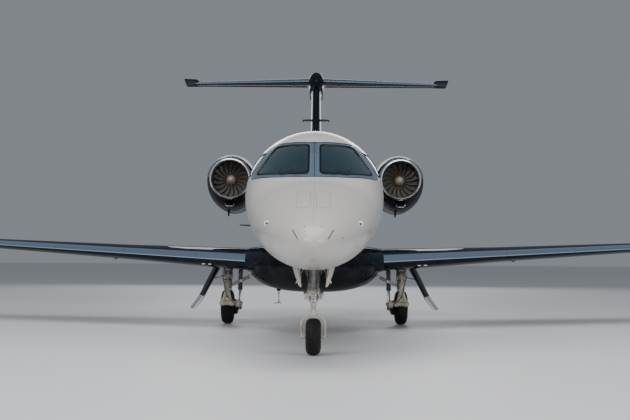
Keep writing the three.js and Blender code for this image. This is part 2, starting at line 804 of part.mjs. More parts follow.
function ventralFin() {
  const outline = [[12250, 1700], [12250, 1440], [13250, 1290], [14050, 1560], [14050, 2200]];
  const plate = prism(outline.map(([s, z]) => [yOf(s), z]), "yz", -28, 28);
  return plate.subtract(fuselageBody(CABIN_JOINT, FUSELAGE.at(-1)[0], -SEAT));
}

// Engines

// Outer sections of a nacelle. columns: distance aft of the lip, half width, height above, depth below
const NACELLE = [
  [0, 336, 336, 336],
  [90, 382, 386, 410],
  [300, 420, 430, 500],
  [700, 447, 470, 555],
  [1300, 450, 476, 565],
  [2450, 360, 380, 420],
  [2800, 300, 312, 320],
];
const DUCT = [
  // radius and distance aft of the lip
  [0, -100], [333, -100], [333, 0], [304, 50], [318, 300], [318, 640], [0, 640],
];
const DUCT_SIDES = 20;
const COWL = { skin: 42, front: 640, rear: 2900 };
const ENGINE_AT = [ENGINE.x, yOf(ENGINE.front), ENGINE.z];

function nacelleBody(grow = 0) {
  return loft(
    NACELLE.map(([back, half, above, below]) => {
      const ring = [];
      for (let i = 0; i < DUCT_SIDES; i++) {
        const angle = (2 * Math.PI * i) / DUCT_SIDES;
        const rise = Math.sin(angle) > 0 ? above : below;
        ring.push(vec((half + grow) * Math.cos(angle), back, (rise + grow) * Math.sin(angle)));
      }
      return ring;
    }),
  );
}

// Cooling air scoop under the intake: a hole that runs back into the cowl.
const SCOOP = { width: 165, height: 82, drop: 442, depth: 420 };

function nacelle() {
  const duct = turnedY(DUCT, 0, 0, 0, DUCT_SIDES);
  const { width, height, drop, depth } = SCOOP;
  const [w, h] = [width / 2, height / 2];
  const mouth = rounded([[-w, -h], [w, -h], [w, h], [-w, h]], 38, 2).map(([a, b]) => [a, b - drop]);
  const hole = prism(mouth, "xz", -50, depth);
  const inside = nacelleBody(-COWL.skin).intersect(box(-FAR, FAR, COWL.front - 1, COWL.rear, -FAR, FAR));
  return nacelleBody().subtract(duct).subtract(hole).subtract(inside);
}

// Pylon sections run from the fuselage to the nacelle.
const PYLON = { front: 9950, rear: 12250, thick: 190, z: 2400 };

function pylon() {
  const { front, rear, thick, z } = PYLON;
  const ring = (x) => foilRing((back, up) => vec(x, yOf(front + back), z + up), rear - front, thick, 0);
  return loft([ring(500), ring(1300)])
    .subtract(nacelleBody(SEAT).translate(ENGINE_AT))
    .subtract(fuselageRoom(CABIN_JOINT, 13500, SEAT))
    .subtract(turnedY(DUCT, ...ENGINE_AT, DUCT_SIDES))
    .intersect(box(0, ENGINE.x - 200, -FAR, FAR, 0, FAR));
}

const CORE = [
  [0, 519.8], [60, 519.8], [60, 560], [317.7, 560], [317.7, 690],
  [225, 740], [225, 1700], [70, 2700], [0, 2700],
];

function engineCore() {
  return turnedY(CORE, 0, 0, 0, DUCT_SIDES);
}

const SPINNER = [
  [0, -190], [30, -172], [62, -118], [84, -50], [92, 20], [92, 110], [45, 139.5], [0, 139.5],
];

function fan() {
  const hub = turnedY(SPINNER, 0, 0, 0, 16);
  const blades = [];
  for (let i = 0; i < ENGINE.blades; i++) {
    // columns: radius, sweep back, half chord, pitch in degrees
    const rings = [[75, 30, 46, 30], [296, 8, 58, 60]].map(([r, back, half, pitch]) => {
      const [c, s] = [Math.cos(rad(pitch)) * half, Math.sin(rad(pitch)) * half];
      const lean = ((r - 75) / 221) * 26;
      const corners = [[-s - 3, -c], [-s + 3, -c], [s + 3, c], [s - 3, c]];
      return corners.map(([a, b]) => vec(a + lean, back + b, r));
    });
    const turn = new THREE.Matrix4().makeRotationY((2 * Math.PI * i) / ENGINE.blades);
    blades.push(solid(geometryOf(loft(rings)).applyMatrix4(turn)));
  }
  return joined([hub, ...blades]);
}

// Landing gear

const tyreProfile = (r, w, rim) => [
  [rim, -w * 0.36], [rim + (r - rim) * 0.42, -w * 0.5], [r - 24, -w * 0.45], [r, -w * 0.2],
  [r, w * 0.2], [r - 24, w * 0.45], [rim + (r - rim) * 0.42, w * 0.5], [rim, w * 0.36], [rim, -w * 0.36],
];

function tyre({ tyreRadius, tyreWidth, rimRadius }) {
  return turnedX(tyreProfile(tyreRadius, tyreWidth, rimRadius), 0, 0, 0, WHEEL_SIDES);
}

function rim({ tyreWidth, rimRadius }, bore) {
  const w = tyreWidth;
  const r = rimRadius - SEAT;
  const profile = [
    [bore, -w * 0.34], [r * 0.45, -w * 0.34], [r * 0.55, -w * 0.2], [r * 0.86, -w * 0.2], [r, -w * 0.35],
    [r, w * 0.35], [r * 0.5, w * 0.2], [r * 0.45, w * 0.34], [bore, w * 0.34], [bore, -w * 0.34],
  ];
  return turnedX(profile, 0, 0, 0, WHEEL_SIDES);
}

const NOSE_LEG = { top: 1010, collarTop: 735, collarLow: 590, pistonRadius: 27 };

// The steered part below the collar: piston, arched fork and axle.
function noseFork() {
  const r = NOSE_GEAR.tyreRadius;
  const { trackHalf } = NOSE_GEAR;
  const path = new THREE.CatmullRomCurve3([
    vec(-trackHalf + 8, 0, r - 26), vec(-trackHalf + 2, 0, r + 40), vec(-trackHalf - 4, 0, r + 140),
    vec(-trackHalf + 34, 0, r + 212), vec(-50, 0, r + 244), vec(0, 0, r + 250), vec(50, 0, r + 244),
    vec(trackHalf - 34, 0, r + 212), vec(trackHalf + 4, 0, r + 140),
    vec(trackHalf - 2, 0, r + 40), vec(trackHalf - 8, 0, r - 26),
  ]);
  const corners = [[-15, -22], [15, -22], [15, 22], [-15, 22]];
  const section = new THREE.Shape(corners.map(([a, b]) => new THREE.Vector2(a, b)));
  const arch = solid(new THREE.ExtrudeGeometry(section, { steps: 14, bevelEnabled: false, extrudePath: path }));
  const bosses = [-1, 1].map((s) => bar([s * (trackHalf + 14), 0, r], [s * 88, 0, r], 30, 26));
  return joined([
    arch,
    ...bosses,
    bar([-trackHalf, 0, r], [trackHalf, 0, r], 14.7, 14.7, 12),
    bar([0, 0, r + 240], [0, 0, NOSE_LEG.collarLow + 60], NOSE_LEG.pistonRadius),
    bar([0, 0, r + 245], [0, 0, r + 300], 40, 32),
    box(-22, 22, -95, 0, r + 252, r + 292),
  ]);
}

// The fixed leg: outer cylinder, steering collar and drag stay. The piston turns in its bore.
function noseLeg() {
  const { top, collarTop, collarLow, pistonRadius } = NOSE_LEG;
  const wide = pistonRadius + SEAT;
  const bore = bar([0, 0, collarLow - 50], [0, 0, collarLow + 60 + SEAT], wide, wide, 24);
  return joined([
    bar([0, 0, collarLow], [0, 0, collarTop], 52),
    bar([0, 0, collarTop - 20], [0, 0, top], 56, 62),
    bar([0, 0, 860], [0, 0, top], 60, 118, 12),
    box(-105, 105, -34, 34, collarLow + 30, collarLow + 66),
    bar([-112, -10, collarLow + 95], [112, -10, collarLow + 95], 20, 20, 12),
    bar([0, 0, 700], [0, -360, 1000], 24, 24, 12),
  ])
    .subtract(bore)
    .subtract(noseRoom());
}

// The nose as the gear sees it, measured from the axle's station.
function noseRoom() {
  return fuselageRoom(0, 4000, SEAT).translate([0, -yOf(NOSE_GEAR.station), 0]);
}

// Each door hangs askew: its front edge is further inboard than its rear edge.
function noseGearDoor() {
  const outline = [[226, 1010], [242, 1010], [196, 762], [184, 762]];
  return skewed(outline, { y: -330, x: -54 }, { y: 190, x: 0 }).subtract(noseRoom());
}

// An outline of [x, z] points drawn out between two places, moved sideways by each place's x.
function skewed(outline, from, to) {
  return loft([from, to].map((end) => outline.map(([x, z]) => vec(x + end.x, end.y, z))));
}

// Strut in front of the wheel, braced inboard, with the pivot of the trailing arm at its foot.
function mainLeg() {
  const { station, pivotStation, pivotHeight: z } = MAIN_GEAR;
  const y = pivotStation - station;
  const top = y + 160;
  return joined([
    bar([-30, top, 1010], [-20, y + 60, 560], 62, 52),
    bar([-20, y + 60, 580], [62, y, z], 34, 30, 12),
    bar([-20, y + 60, 580], [-92, y, z], 34, 30, 12),
    bar([-120, y, z], [90, y, z], 40, 40, 12),
    bar([-100, y, z], [-262, y, z], 32, 32, 12),
    bar([-20, y + 60, 620], [-420, y + 90, 800], 22, 22, 12),
    bar([-90, top, 900], [60, top, 900], 46, 46, 10),
  ]).subtract(wingUnderside());
}

// What the gear legs may not enter, measured from the wheel: the wing with the seat gap, and the fairing.
function wingUnderside() {
  const spans = [820, WING[1][0]];
  const skin = loft(spans.map((at) => {
    const [span, lead, height, chord, ratio] = wingRow(at);
    const place = (back, up) => vec(span, yOf(lead + back), height + up - (up < 0 ? SEAT : -SEAT));
    return foilRing(place, chord, chord * ratio);
  }));
  return skin.add(wingFairingBody()).translate([-MAIN_GEAR.wheelX, -yOf(MAIN_GEAR.station), 0]);
}

// The arm that carries the wheel, with its brake and the damper behind the strut.
function trailingArm() {
  const { station, tyreRadius: r, tyreWidth: w, pivotStation, pivotHeight } = MAIN_GEAR;
  const yp = pivotStation - station;
  const armX = -w / 2 - 90;
  const around = bar([-400, yp, pivotHeight], [-120, yp, pivotHeight], 32 + SEAT, 32 + SEAT, 12);
  return joined([
    bar([armX - 34, yp, pivotHeight], [armX + 34, yp, pivotHeight], 62, 62, 14),
    bar([armX, yp, pivotHeight], [armX, 0, r], 44, 40, 14),
    bar([armX - 36, 0, r], [w * 0.34 + 22, 0, r], 27.7, 27.7, 12),
    bar([armX + 30, 0, r], [-w * 0.34 - GAP, 0, r], 128, 128, 16),
    bar([armX - 10, -90, r + 50], [armX - 16, -30, 980], 42, 34, 12),
  ])
    .subtract(around)
    .subtract(wingUnderside())
    .subtract(mainLeg());
}

function mainGearDoor() {
  const outline = [[131, 1010], [165, 1010], [435, 470], [587, 262], [567, 246], [403, 452]];
  return skewed(outline, { y: -330, x: -55 }, { y: 60, x: 45 }).subtract(wingUnderside());
}

const MAST = { x: -560, station: 7300 };

function bellyMast() {
  const base = prism(rounded([[-150, -28], [-60, -34], [150, -8], [150, 8], [-60, 34], [-150, 28]], 12, 1)
    .map(([a, b]) => [b, a]), "xy", 560, 720);
  return joined([
    base,
    prism([[-8, -34], [8, -34], [6, 34], [-6, 34]], "xy", 372, 600),
    box(-92, 60, -30, 30, 366, 380),
  ]).subtract(wingFairingBody().translate([-MAST.x, -yOf(MAST.station), -SEAT]));
}

// Materials: colour, roughness, metalness
const FINISH = {
  pearl: [0xd9d6d2, 0.22, 0.1],
  midnight: [0x10151d, 0.15, 0.2],
  bare_metal: [0xc4c8cc, 0.18, 1],
  glass: [0x16303c, 0.05, 0],
  gear_paint: [0xc9bfa2, 0.45, 0.1],
  dark_metal: [0x4a4a4c, 0.4, 0.9],
  tyre: [0x151617, 0.85, 0],
  lining: [0xb9b09f, 0.8, 0],
  leather: [0xb8a88c, 0.6, 0],
};

const jet = new THREE.Group();
jet.name = "business_jet";

// A group that holds one assembly, at its own place in the aircraft.
function assembly(name, x = 0, y = 0, z = 0) {
  const group = new THREE.Group();
  group.name = name;
  group.position.set(x, y, z);
  jet.add(group);
  return group;
}

// Adds one piece to an assembly. A piece cut in place is measured again from its own pivot.
function place(parent, name, finish, made, pivot = vec(0, 0, 0)) {
  const [color, roughness, metalness] = FINISH[finish];
  const material = new THREE.MeshStandardMaterial({ color, roughness, metalness });
  const mesh = new THREE.Mesh(geometryOf(made.translate(pivot.clone().negate().toArray())), material);
  mesh.name = name;
  mesh.position.copy(pivot);
  parent.add(mesh);
  return mesh;
}

const fuselage = assembly("fuselage");
place(fuselage, "fuselage_nose", "pearl", fuselageBody(0, NOSE_JOINT));
place(fuselage, "fuselage_cockpit", "pearl", cockpitShell());
place(fuselage, "fuselage_cabin", "pearl", cabinShell());
place(fuselage, "fuselage_tail", "pearl", tailBody());
place(fuselage, "cabin_floor", "lining", cabinFloor());
place(fuselage, "instrument_panel", "dark_metal", instrumentPanel());
place(fuselage, "crew_seats", "leather", crewSeats());
place(fuselage, "entry_door", "pearl", entryDoor(), doorHinge(ENTRY_DOOR)[0]);
place(fuselage, "baggage_door", "pearl", baggageDoor(), doorHinge(BAGGAGE_DOOR)[0]);
place(fuselage, "wing_fairing", "midnight", wingFairing());

const empennage = assembly("empennage");
place(empennage, "fin", "midnight", fin());
place(empennage, "rudder", "midnight", rudder(), finHinge().from);
place(empennage, "stabilizer", "bare_metal", stabilizer());
place(empennage, "tail_bullet", "midnight", tailBullet());
place(empennage, "ventral_fin", "midnight", ventralFin());

const noseGear = assembly("nose_gear", 0, yOf(NOSE_GEAR.station), 0);
place(noseGear, "nose_gear_leg", "gear_paint", noseLeg());
place(noseGear, "nose_fork", "gear_paint", noseFork());
for (const [name, finish, made] of [
  ["nose_tyre", "tyre", tyre(NOSE_GEAR)],
  ["nose_rim", "bare_metal", rim(NOSE_GEAR, 15)],
]) {
  place(noseGear, name, finish, made).position.set(0, 0, NOSE_GEAR.tyreRadius);
}

const mast = assembly("mast", MAST.x, yOf(MAST.station), 0);
place(mast, "belly_mast", "dark_metal", bellyMast());

const glazing = { left: LEFT_WINDOWS, right: RIGHT_WINDOWS };
for (const { side, sign } of SIDES) {
  const put = (parent, name, finish, made, pivot = vec(0, 0, 0)) =>
    place(parent, `${name}_${side}`, finish, onSide(made, sign), pivot.multiply(vec(sign, 1, 1)));

  put(fuselage, "windshield", "glass", windshieldPane());
  put(fuselage, "cockpit_window", "glass", cockpitSidePane());
  put(fuselage, "cabin_glazing", "glass", cabinGlazing(glazing[side]));
  put(fuselage, "club_seats", "leather", clubSeats());
  put(empennage, "elevator", "midnight", elevator(), elevatorHinge().a);
  put(noseGear, "nose_gear_door", "gear_paint", noseGearDoor());

  const wings = assembly(`wing_group_${side}`);
  put(wings, "wing", "midnight", wing());
  put(wings, "winglet", "midnight", winglet());
  put(wings, "flap", "midnight", wingSurface(FLAP), hingePoint(FLAP.from, FLAP.share));
  put(wings, "aileron", "midnight", wingSurface(AILERON), hingePoint(AILERON.from, AILERON.share));
  put(wings, "pylon", "midnight", pylon());

  const [engineX, engineY, engineZ] = ENGINE_AT;
  const engine = assembly(`engine_${side}`, sign * engineX, engineY, engineZ);
  put(engine, "nacelle", "midnight", nacelle());
  put(engine, "engine_core", "dark_metal", engineCore());
  put(engine, "fan", "dark_metal", fan()).position.setY(ENGINE.fanStation - ENGINE.front);

  const gear = assembly(`main_gear_${side}`, sign * MAIN_GEAR.wheelX, yOf(MAIN_GEAR.station), 0);
  put(gear, "main_gear_leg", "gear_paint", mainLeg());
  put(gear, "trailing_arm", "gear_paint", trailingArm());
  put(gear, "main_gear_door", "midnight", mainGearDoor());
  put(gear, "main_tyre", "tyre", tyre(MAIN_GEAR)).position.setZ(MAIN_GEAR.tyreRadius);
  put(gear, "main_rim", "bare_metal", rim(MAIN_GEAR, 28)).position.setZ(MAIN_GEAR.tyreRadius);
}

export default jet;
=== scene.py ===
"""A light business jet on its landing gear: smooth skins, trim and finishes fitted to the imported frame.

Metres throughout. The nose points to -Y, the pilot's left is +X, and the tyres stand on Z = 0.
A station is the distance aft of the nose tip.
"""

import json
import logging
import math
from collections.abc import Callable, Iterable, Sequence
from dataclasses import dataclass, field
from enum import Enum

import bmesh
import bpy
from mathutils import Matrix, Vector


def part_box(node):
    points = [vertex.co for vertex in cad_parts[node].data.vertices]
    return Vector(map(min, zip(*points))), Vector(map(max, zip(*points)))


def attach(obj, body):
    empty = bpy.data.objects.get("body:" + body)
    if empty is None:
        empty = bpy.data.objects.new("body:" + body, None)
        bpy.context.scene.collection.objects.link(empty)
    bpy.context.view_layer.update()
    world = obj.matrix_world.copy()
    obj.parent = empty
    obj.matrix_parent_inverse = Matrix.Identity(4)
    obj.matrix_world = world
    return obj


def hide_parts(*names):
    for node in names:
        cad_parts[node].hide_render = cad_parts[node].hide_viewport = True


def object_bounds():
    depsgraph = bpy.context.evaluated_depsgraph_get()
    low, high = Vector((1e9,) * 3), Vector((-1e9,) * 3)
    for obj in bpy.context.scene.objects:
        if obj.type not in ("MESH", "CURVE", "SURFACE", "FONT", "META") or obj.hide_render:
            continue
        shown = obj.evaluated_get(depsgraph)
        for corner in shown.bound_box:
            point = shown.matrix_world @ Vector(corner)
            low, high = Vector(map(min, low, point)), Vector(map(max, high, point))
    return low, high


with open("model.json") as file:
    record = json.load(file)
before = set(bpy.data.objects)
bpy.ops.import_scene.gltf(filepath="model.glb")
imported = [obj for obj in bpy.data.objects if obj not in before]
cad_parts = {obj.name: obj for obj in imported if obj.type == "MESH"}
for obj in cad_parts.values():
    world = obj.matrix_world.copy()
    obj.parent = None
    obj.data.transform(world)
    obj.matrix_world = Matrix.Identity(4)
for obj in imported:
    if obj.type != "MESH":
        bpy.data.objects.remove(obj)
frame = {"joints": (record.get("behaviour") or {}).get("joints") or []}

LOG = logging.getLogger("jet")

CAD_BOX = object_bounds()
NOSE_Y = CAD_BOX[0].y

Point = tuple[float, float]
Steps = tuple[Point, ...]
Place = tuple[float, float, float]
Ring = list[Vector]


class Side(Enum):
    """The pilot's left or right."""

    LEFT = 1
    RIGHT = -1

    @property
    def tag(self) -> str:
        """The ending of this side's node names."""
        return self.name.lower()


class Axis(Enum):
    """An axis that a turned piece spins about."""

    X = "X"
    Y = "Y"
    Z = "Z"


def y_at(station: float) -> float:
    """The Y of a station."""
    return NOSE_Y + station


def middle(node: str) -> Vector:
    """The middle of a CAD node's box."""
    low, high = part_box(node)
    return (low + high) / 2


# Shapes


def around(count: int) -> list[float]:
    """Evenly spaced angles once round a circle, in radians."""
    return [2 * math.pi * i / count for i in range(count)]


def squared(value: float, power: float) -> float:
    """A sine or cosine raised to a power, with its sign kept: a power under 1 squares off a circle."""
    return math.copysign(abs(value) ** power, value)


class Track:
    """A smooth curve through the rows of a table, which never overshoots them."""

    def __init__(self, rows: Sequence[Sequence[float]], column: int, root: bool = False) -> None:
        """Fits the curve.

        Args:
            rows: The table; its first column is where each row lies.
            column: The column whose value is followed.
            root: Whether places are spaced by their square root, for a blunt nose.
        """
        self.root = root
        self.at = [math.sqrt(row[0]) if root else row[0] for row in rows]
        self.value = [row[column] for row in rows]
        steps = list(zip(self.at, self.at[1:], self.value, self.value[1:]))
        rise = [(v1 - v0) / (a1 - a0) for a0, a1, v0, v1 in steps]
        inner = [0.0 if a * b <= 0 else 2 * a * b / (a + b) for a, b in zip(rise, rise[1:])]
        self.slope = [rise[0], *inner, rise[-1]]

    def __call__(self, place: float) -> float:
        """The curve's value at a place.

        Args:
            place: Where to read the curve, such as a station.

        Returns:
            The curve's value there.
        """
        t = math.sqrt(max(place, 0.0)) if self.root else place
        last = len(self.at) - 2
        i = next((k for k in range(last) if self.at[k + 1] >= t), last)
        width = self.at[i + 1] - self.at[i]
        u = min(1.0, max(0.0, (t - self.at[i]) / width))
        a, b = self.value[i], self.value[i + 1]
        p, q = self.slope[i] * width, self.slope[i + 1] * width
        return a + u * (p + u * (3 * (b - a) - 2 * p - q + u * (2 * (a - b) + p + q)))


def rounded(corners: Sequence[Point], radius: float, steps: int = 6) -> list[Point]:
    """Rounds the corners of an outline.

    Args:
        corners: The outline's corners in order.
        radius: How far from each corner its curve begins.
        steps: The straight pieces in each curve.

    Returns:
        The outline's points.
    """
    outline: list[Point] = []
    for i, corner in enumerate(corners):
        c = Vector(corner)
        before = Vector(corners[i - 1]) - c
        after = Vector(corners[(i + 1) % len(corners)]) - c
        reach = min(radius, before.length / 2.2, after.length / 2.2)
        a, b = c + before.normalized() * reach, c + after.normalized() * reach
        for k in range(steps + 1):
            t = k / steps
            p = a * (1 - t) ** 2 + c * (2 * t * (1 - t)) + b * t**2
            outline.append((p.x, p.y))
    return outline


def offset(outline: Sequence[Point], distance: float) -> list[Point]:
    """Moves an outline outwards by a distance, or inwards by a negative one.

    Args:
        outline: The closed outline.
        distance: How far to move it.

    Returns:
        The moved outline.
    """
    count = len(outline)
    area = sum(
        a[0] * b[1] - b[0] * a[1] for a, b in zip(outline, [*outline[1:], outline[0]])
    )
    turn = -math.copysign(1.0, area)
    moved = []
    for i, p in enumerate(outline):
        before = (Vector(p) - Vector(outline[i - 1])).normalized()
        after = (Vector(outline[(i + 1) % count]) - Vector(p)).normalized()
        normal = Vector((-before.y - after.y, before.x + after.x)) * turn
        half = max(0.3, normal.length / 2)
        q = Vector(p) + normal.normalized() * (distance / half)
        moved.append((q.x, q.y))
    return moved


class Mesh:
    """Gathers faces and turns them into one object."""

    def __init__(self) -> None:
        """Starts empty."""
        self.bm = bmesh.new()

    def loft(self, rings: Sequence[Ring], closed: bool = True, capped: bool = True) -> "Mesh":
        """Adds a surface through rings of points.

        Args:
            rings: Rings of equal length; a ring of one point is a tip.
            closed: Whether each ring joins up with itself.
            capped: Whether the end rings are filled.

        Returns:
            This mesh.
        """
        made = [[self.bm.verts.new(p) for p in ring] for ring in rings]
        for a, b in zip(made, made[1:]):
            count = max(len(a), len(b))
            for i in range(count if closed else count - 1):
                j = (i + 1) % count
                if len(a) == 1:
                    self.bm.faces.new((a[0], b[j], b[i]))
                elif len(b) == 1:
                    self.bm.faces.new((a[i], a[j], b[0]))
                else:
                    self.bm.faces.new((a[i], a[j], b[j], b[i]))
        if capped:
            for ring in (made[0], made[-1]):
                if len(ring) > 2:
                    self.bm.faces.new(ring)
        return self

    def torus(self, rings: Sequence[Ring]) -> "Mesh":
        """Adds a surface through rings that close on themselves both ways.

        Args:
            rings: The rings, each with the same number of points.

        Returns:
            This mesh, for chaining.
        """
        self.loft(rings, capped=False)
        count = len(rings[0])
        verts = list(self.bm.verts)[-count * len(rings) :]
        first, last = verts[:count], verts[-count:]
        for i in range(count):
            j = (i + 1) % count
            self.bm.faces.new((last[i], last[j], first[j], first[i]))
        return self

    def turned(
        self, profile: Sequence[Point], centre: Vector, axis: Axis, sides: int = 64, close: bool = True
    ) -> "Mesh":
        """Adds a profile of (radius, distance along the axis) turned about an axis.

        Args:
            profile: The profile's points.
            centre: The point that distances are counted from.
            axis: The axis it turns about.
            sides: The number of sides.
            close: Whether the profile closes on itself; otherwise it ends on the axis.

        Returns:
            This mesh.
        """
        spin = {Axis.X: (0, 1, 2), Axis.Y: (1, 2, 0), Axis.Z: (2, 0, 1)}[axis]
        columns: list[list[bmesh.types.BMVert]] = []
        for radius, along in profile:
            column = []
            for angle in around(sides)[: 1 if radius < 1e-6 else sides]:
                p = Vector((0.0, 0.0, 0.0))
                p[spin[0]], p[spin[1]], p[spin[2]] = along, radius * math.cos(angle), radius * math.sin(angle)
                column.append(self.bm.verts.new(centre + p))
            columns.append(column)
        pairs = list(zip(columns, columns[1:]))
        if close:
            pairs.append((columns[-1], columns[0]))
        for a, b in pairs:
            for i in range(sides):
                j = (i + 1) % sides
                quad = [a[i % len(a)], a[j % len(a)], b[j % len(b)], b[i % len(b)]]
                corners = list(dict.fromkeys(quad))
                if len(corners) > 2:
                    self.bm.faces.new(corners)
        return self

    def prism(
        self, outline: Sequence[Point], place: Callable[[float, float, float], Vector], low: float,
        high: float,
    ) -> "Mesh":
        """Adds an outline drawn out between two depths.

        Args:
            outline: The outline's points.
            place: Gives the point for an outline point and a depth.
            low: The first depth.
            high: The second depth.

        Returns:
            This mesh.
        """
        return self.loft([[place(a, b, depth) for a, b in outline] for depth in (low, high)])

    def box(self, low: Sequence[float], high: Sequence[float]) -> "Mesh":
        """Adds a box between two corners."""
        corners = [(low[0], low[1]), (high[0], low[1]), (high[0], high[1]), (low[0], high[1])]
        return self.prism(corners, lambda a, b, depth: Vector((a, b, depth)), low[2], high[2])

    def tube(self, path: Sequence[Vector], radius: float | Sequence[float], sides: int = 12) -> "Mesh":
        """Adds a round tube along a path.

        Args:
            path: The tube's centreline.
            radius: One radius, or one for each point.
            sides: The number of sides.

        Returns:
            This mesh.
        """
        radii = [radius] * len(path) if isinstance(radius, (int, float)) else list(radius)
        rings = []
        across: Vector | None = None
        for i, (p, r) in enumerate(zip(path, radii)):
            along = (path[min(i + 1, len(path) - 1)] - path[max(i - 1, 0)]).normalized()
            if across is None:
                across = along.orthogonal().normalized()
            across = (across - along * across.dot(along)).normalized()
            up = along.cross(across)
            rings.append([p + (across * math.cos(t) + up * math.sin(t)) * r for t in around(sides)])
        return self.loft(rings)

    def build(self, name: str, smooth: float = 35.0, bevel: float = 0.0) -> bpy.types.Object:
        """Makes the object.

        Args:
            name: The piece's name.
            smooth: Edges sharper than this many degrees stay sharp.
            bevel: The width of the rounding on sharp edges.

        Returns:
            The new object.
        """
        bmesh.ops.remove_doubles(self.bm, verts=self.bm.verts, dist=1e-6)
        bmesh.ops.recalc_face_normals(self.bm, faces=self.bm.faces)
        mesh = bpy.data.meshes.new(name)
        self.bm.to_mesh(mesh)
        self.bm.free()
        made = bpy.data.objects.new(name, mesh)
        bpy.context.scene.collection.objects.link(made)
        if bevel:
            rounding = made.modifiers.new("Rounding", "BEVEL")
            rounding.width = bevel
            rounding.segments = 2
            rounding.limit_method = "ANGLE"
            rounding.angle_limit = math.radians(smooth)
            bake(made)
        soften(made, smooth)
        return made


def bake(made: bpy.types.Object) -> None:
    """Applies an object's modifiers to its mesh.

    Args:
        made: The object.
    """
    graph = bpy.context.evaluated_depsgraph_get()
    mesh = bpy.data.meshes.new_from_object(made.evaluated_get(graph))
    made.modifiers.clear()
    old = made.data
    made.data = mesh
    mesh.name = made.name
    bpy.data.meshes.remove(old)


def soften(made: bpy.types.Object, angle: float = 35.0) -> None:
    """Shades an object smooth, apart from edges sharper than an angle in degrees.

    Args:
        made: The object.
        angle: The sharpest angle that is still shaded smooth.
    """
    mesh = made.data
    mesh.polygons.foreach_set("use_smooth", [True] * len(mesh.polygons))
    mesh.set_sharp_from_angle(angle=math.radians(angle))


def carve(made: bpy.types.Object, tools: Iterable[bpy.types.Object], keep: bool = False) -> bpy.types.Object:
    """Cuts tools out of an object, or keeps only what lies in them, and removes the tools.

    Args:
        made: The object to cut.
        tools: The cutting objects.
        keep: Whether to keep what lies inside, in place of what lies outside.

    Returns:
        The same object.
    """
    tools = list(tools)
    for tool in tools:
        cut = made.modifiers.new("Cut", "BOOLEAN")
        cut.operation = "INTERSECT" if keep else "DIFFERENCE"
        cut.solver = "EXACT"
        cut.object = tool
    bpy.context.view_layer.update()
    bake(made)
    for tool in tools:
        discard(tool)
    soften(made)
    return made


def discard(made: bpy.types.Object) -> None:
    """Removes an object and its mesh.

    Args:
        made: The object.
    """
    mesh = made.data
    bpy.data.objects.remove(made)
    bpy.data.meshes.remove(mesh)


def joined(name: str, parts: Sequence[bpy.types.Object]) -> bpy.types.Object:
    """Makes several objects one, with each one's faces keeping its material.

    Args:
        name: The new object's name.
        parts: The objects to join.

    Returns:
        The joined object.
    """
    target = parts[0]
    with bpy.context.temp_override(active_object=target, selected_editable_objects=list(parts)):
        bpy.ops.object.join()
    target.name = name
    target.data.name = name
    return target


def mirrored(made: bpy.types.Object, name: str) -> bpy.types.Object:
    """Copies an object to the aircraft's other side.

    Args:
        made: The object.
        name: The copy's name.

    Returns:
        The copy.
    """
    mesh = made.data.copy()
    mesh.name = name
    mesh.transform(Matrix.Scale(-1.0, 4, Vector((1.0, 0.0, 0.0))))
    mesh.flip_normals()
    copy = bpy.data.objects.new(name, mesh)
    bpy.context.scene.collection.objects.link(copy)
    return copy


def dressed(
    made: bpy.types.Object,
    finish: "Finish",
    slot: str,
    body: str = "airframe",
    instead_of: Sequence[str] = (),
) -> bpy.types.Object:
    """Gives a piece its finish, its body and the CAD nodes that it stands for.

    Args:
        made: The piece.
        finish: The finish of all its faces.
        slot: The record's material slot; not used.
        body: The body it moves with.
        instead_of: The CAD nodes that it replaces.

    Returns:
        The piece.
    """
    if not made.data.materials:
        made.data.materials.append(finish.material())
    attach(made, body)
    if instead_of:
        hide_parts(*instead_of)
    return made


# Effects shared by several materials, each a node group


Socket = bpy.types.NodeSocket
Value = Socket | float | tuple[float, ...]


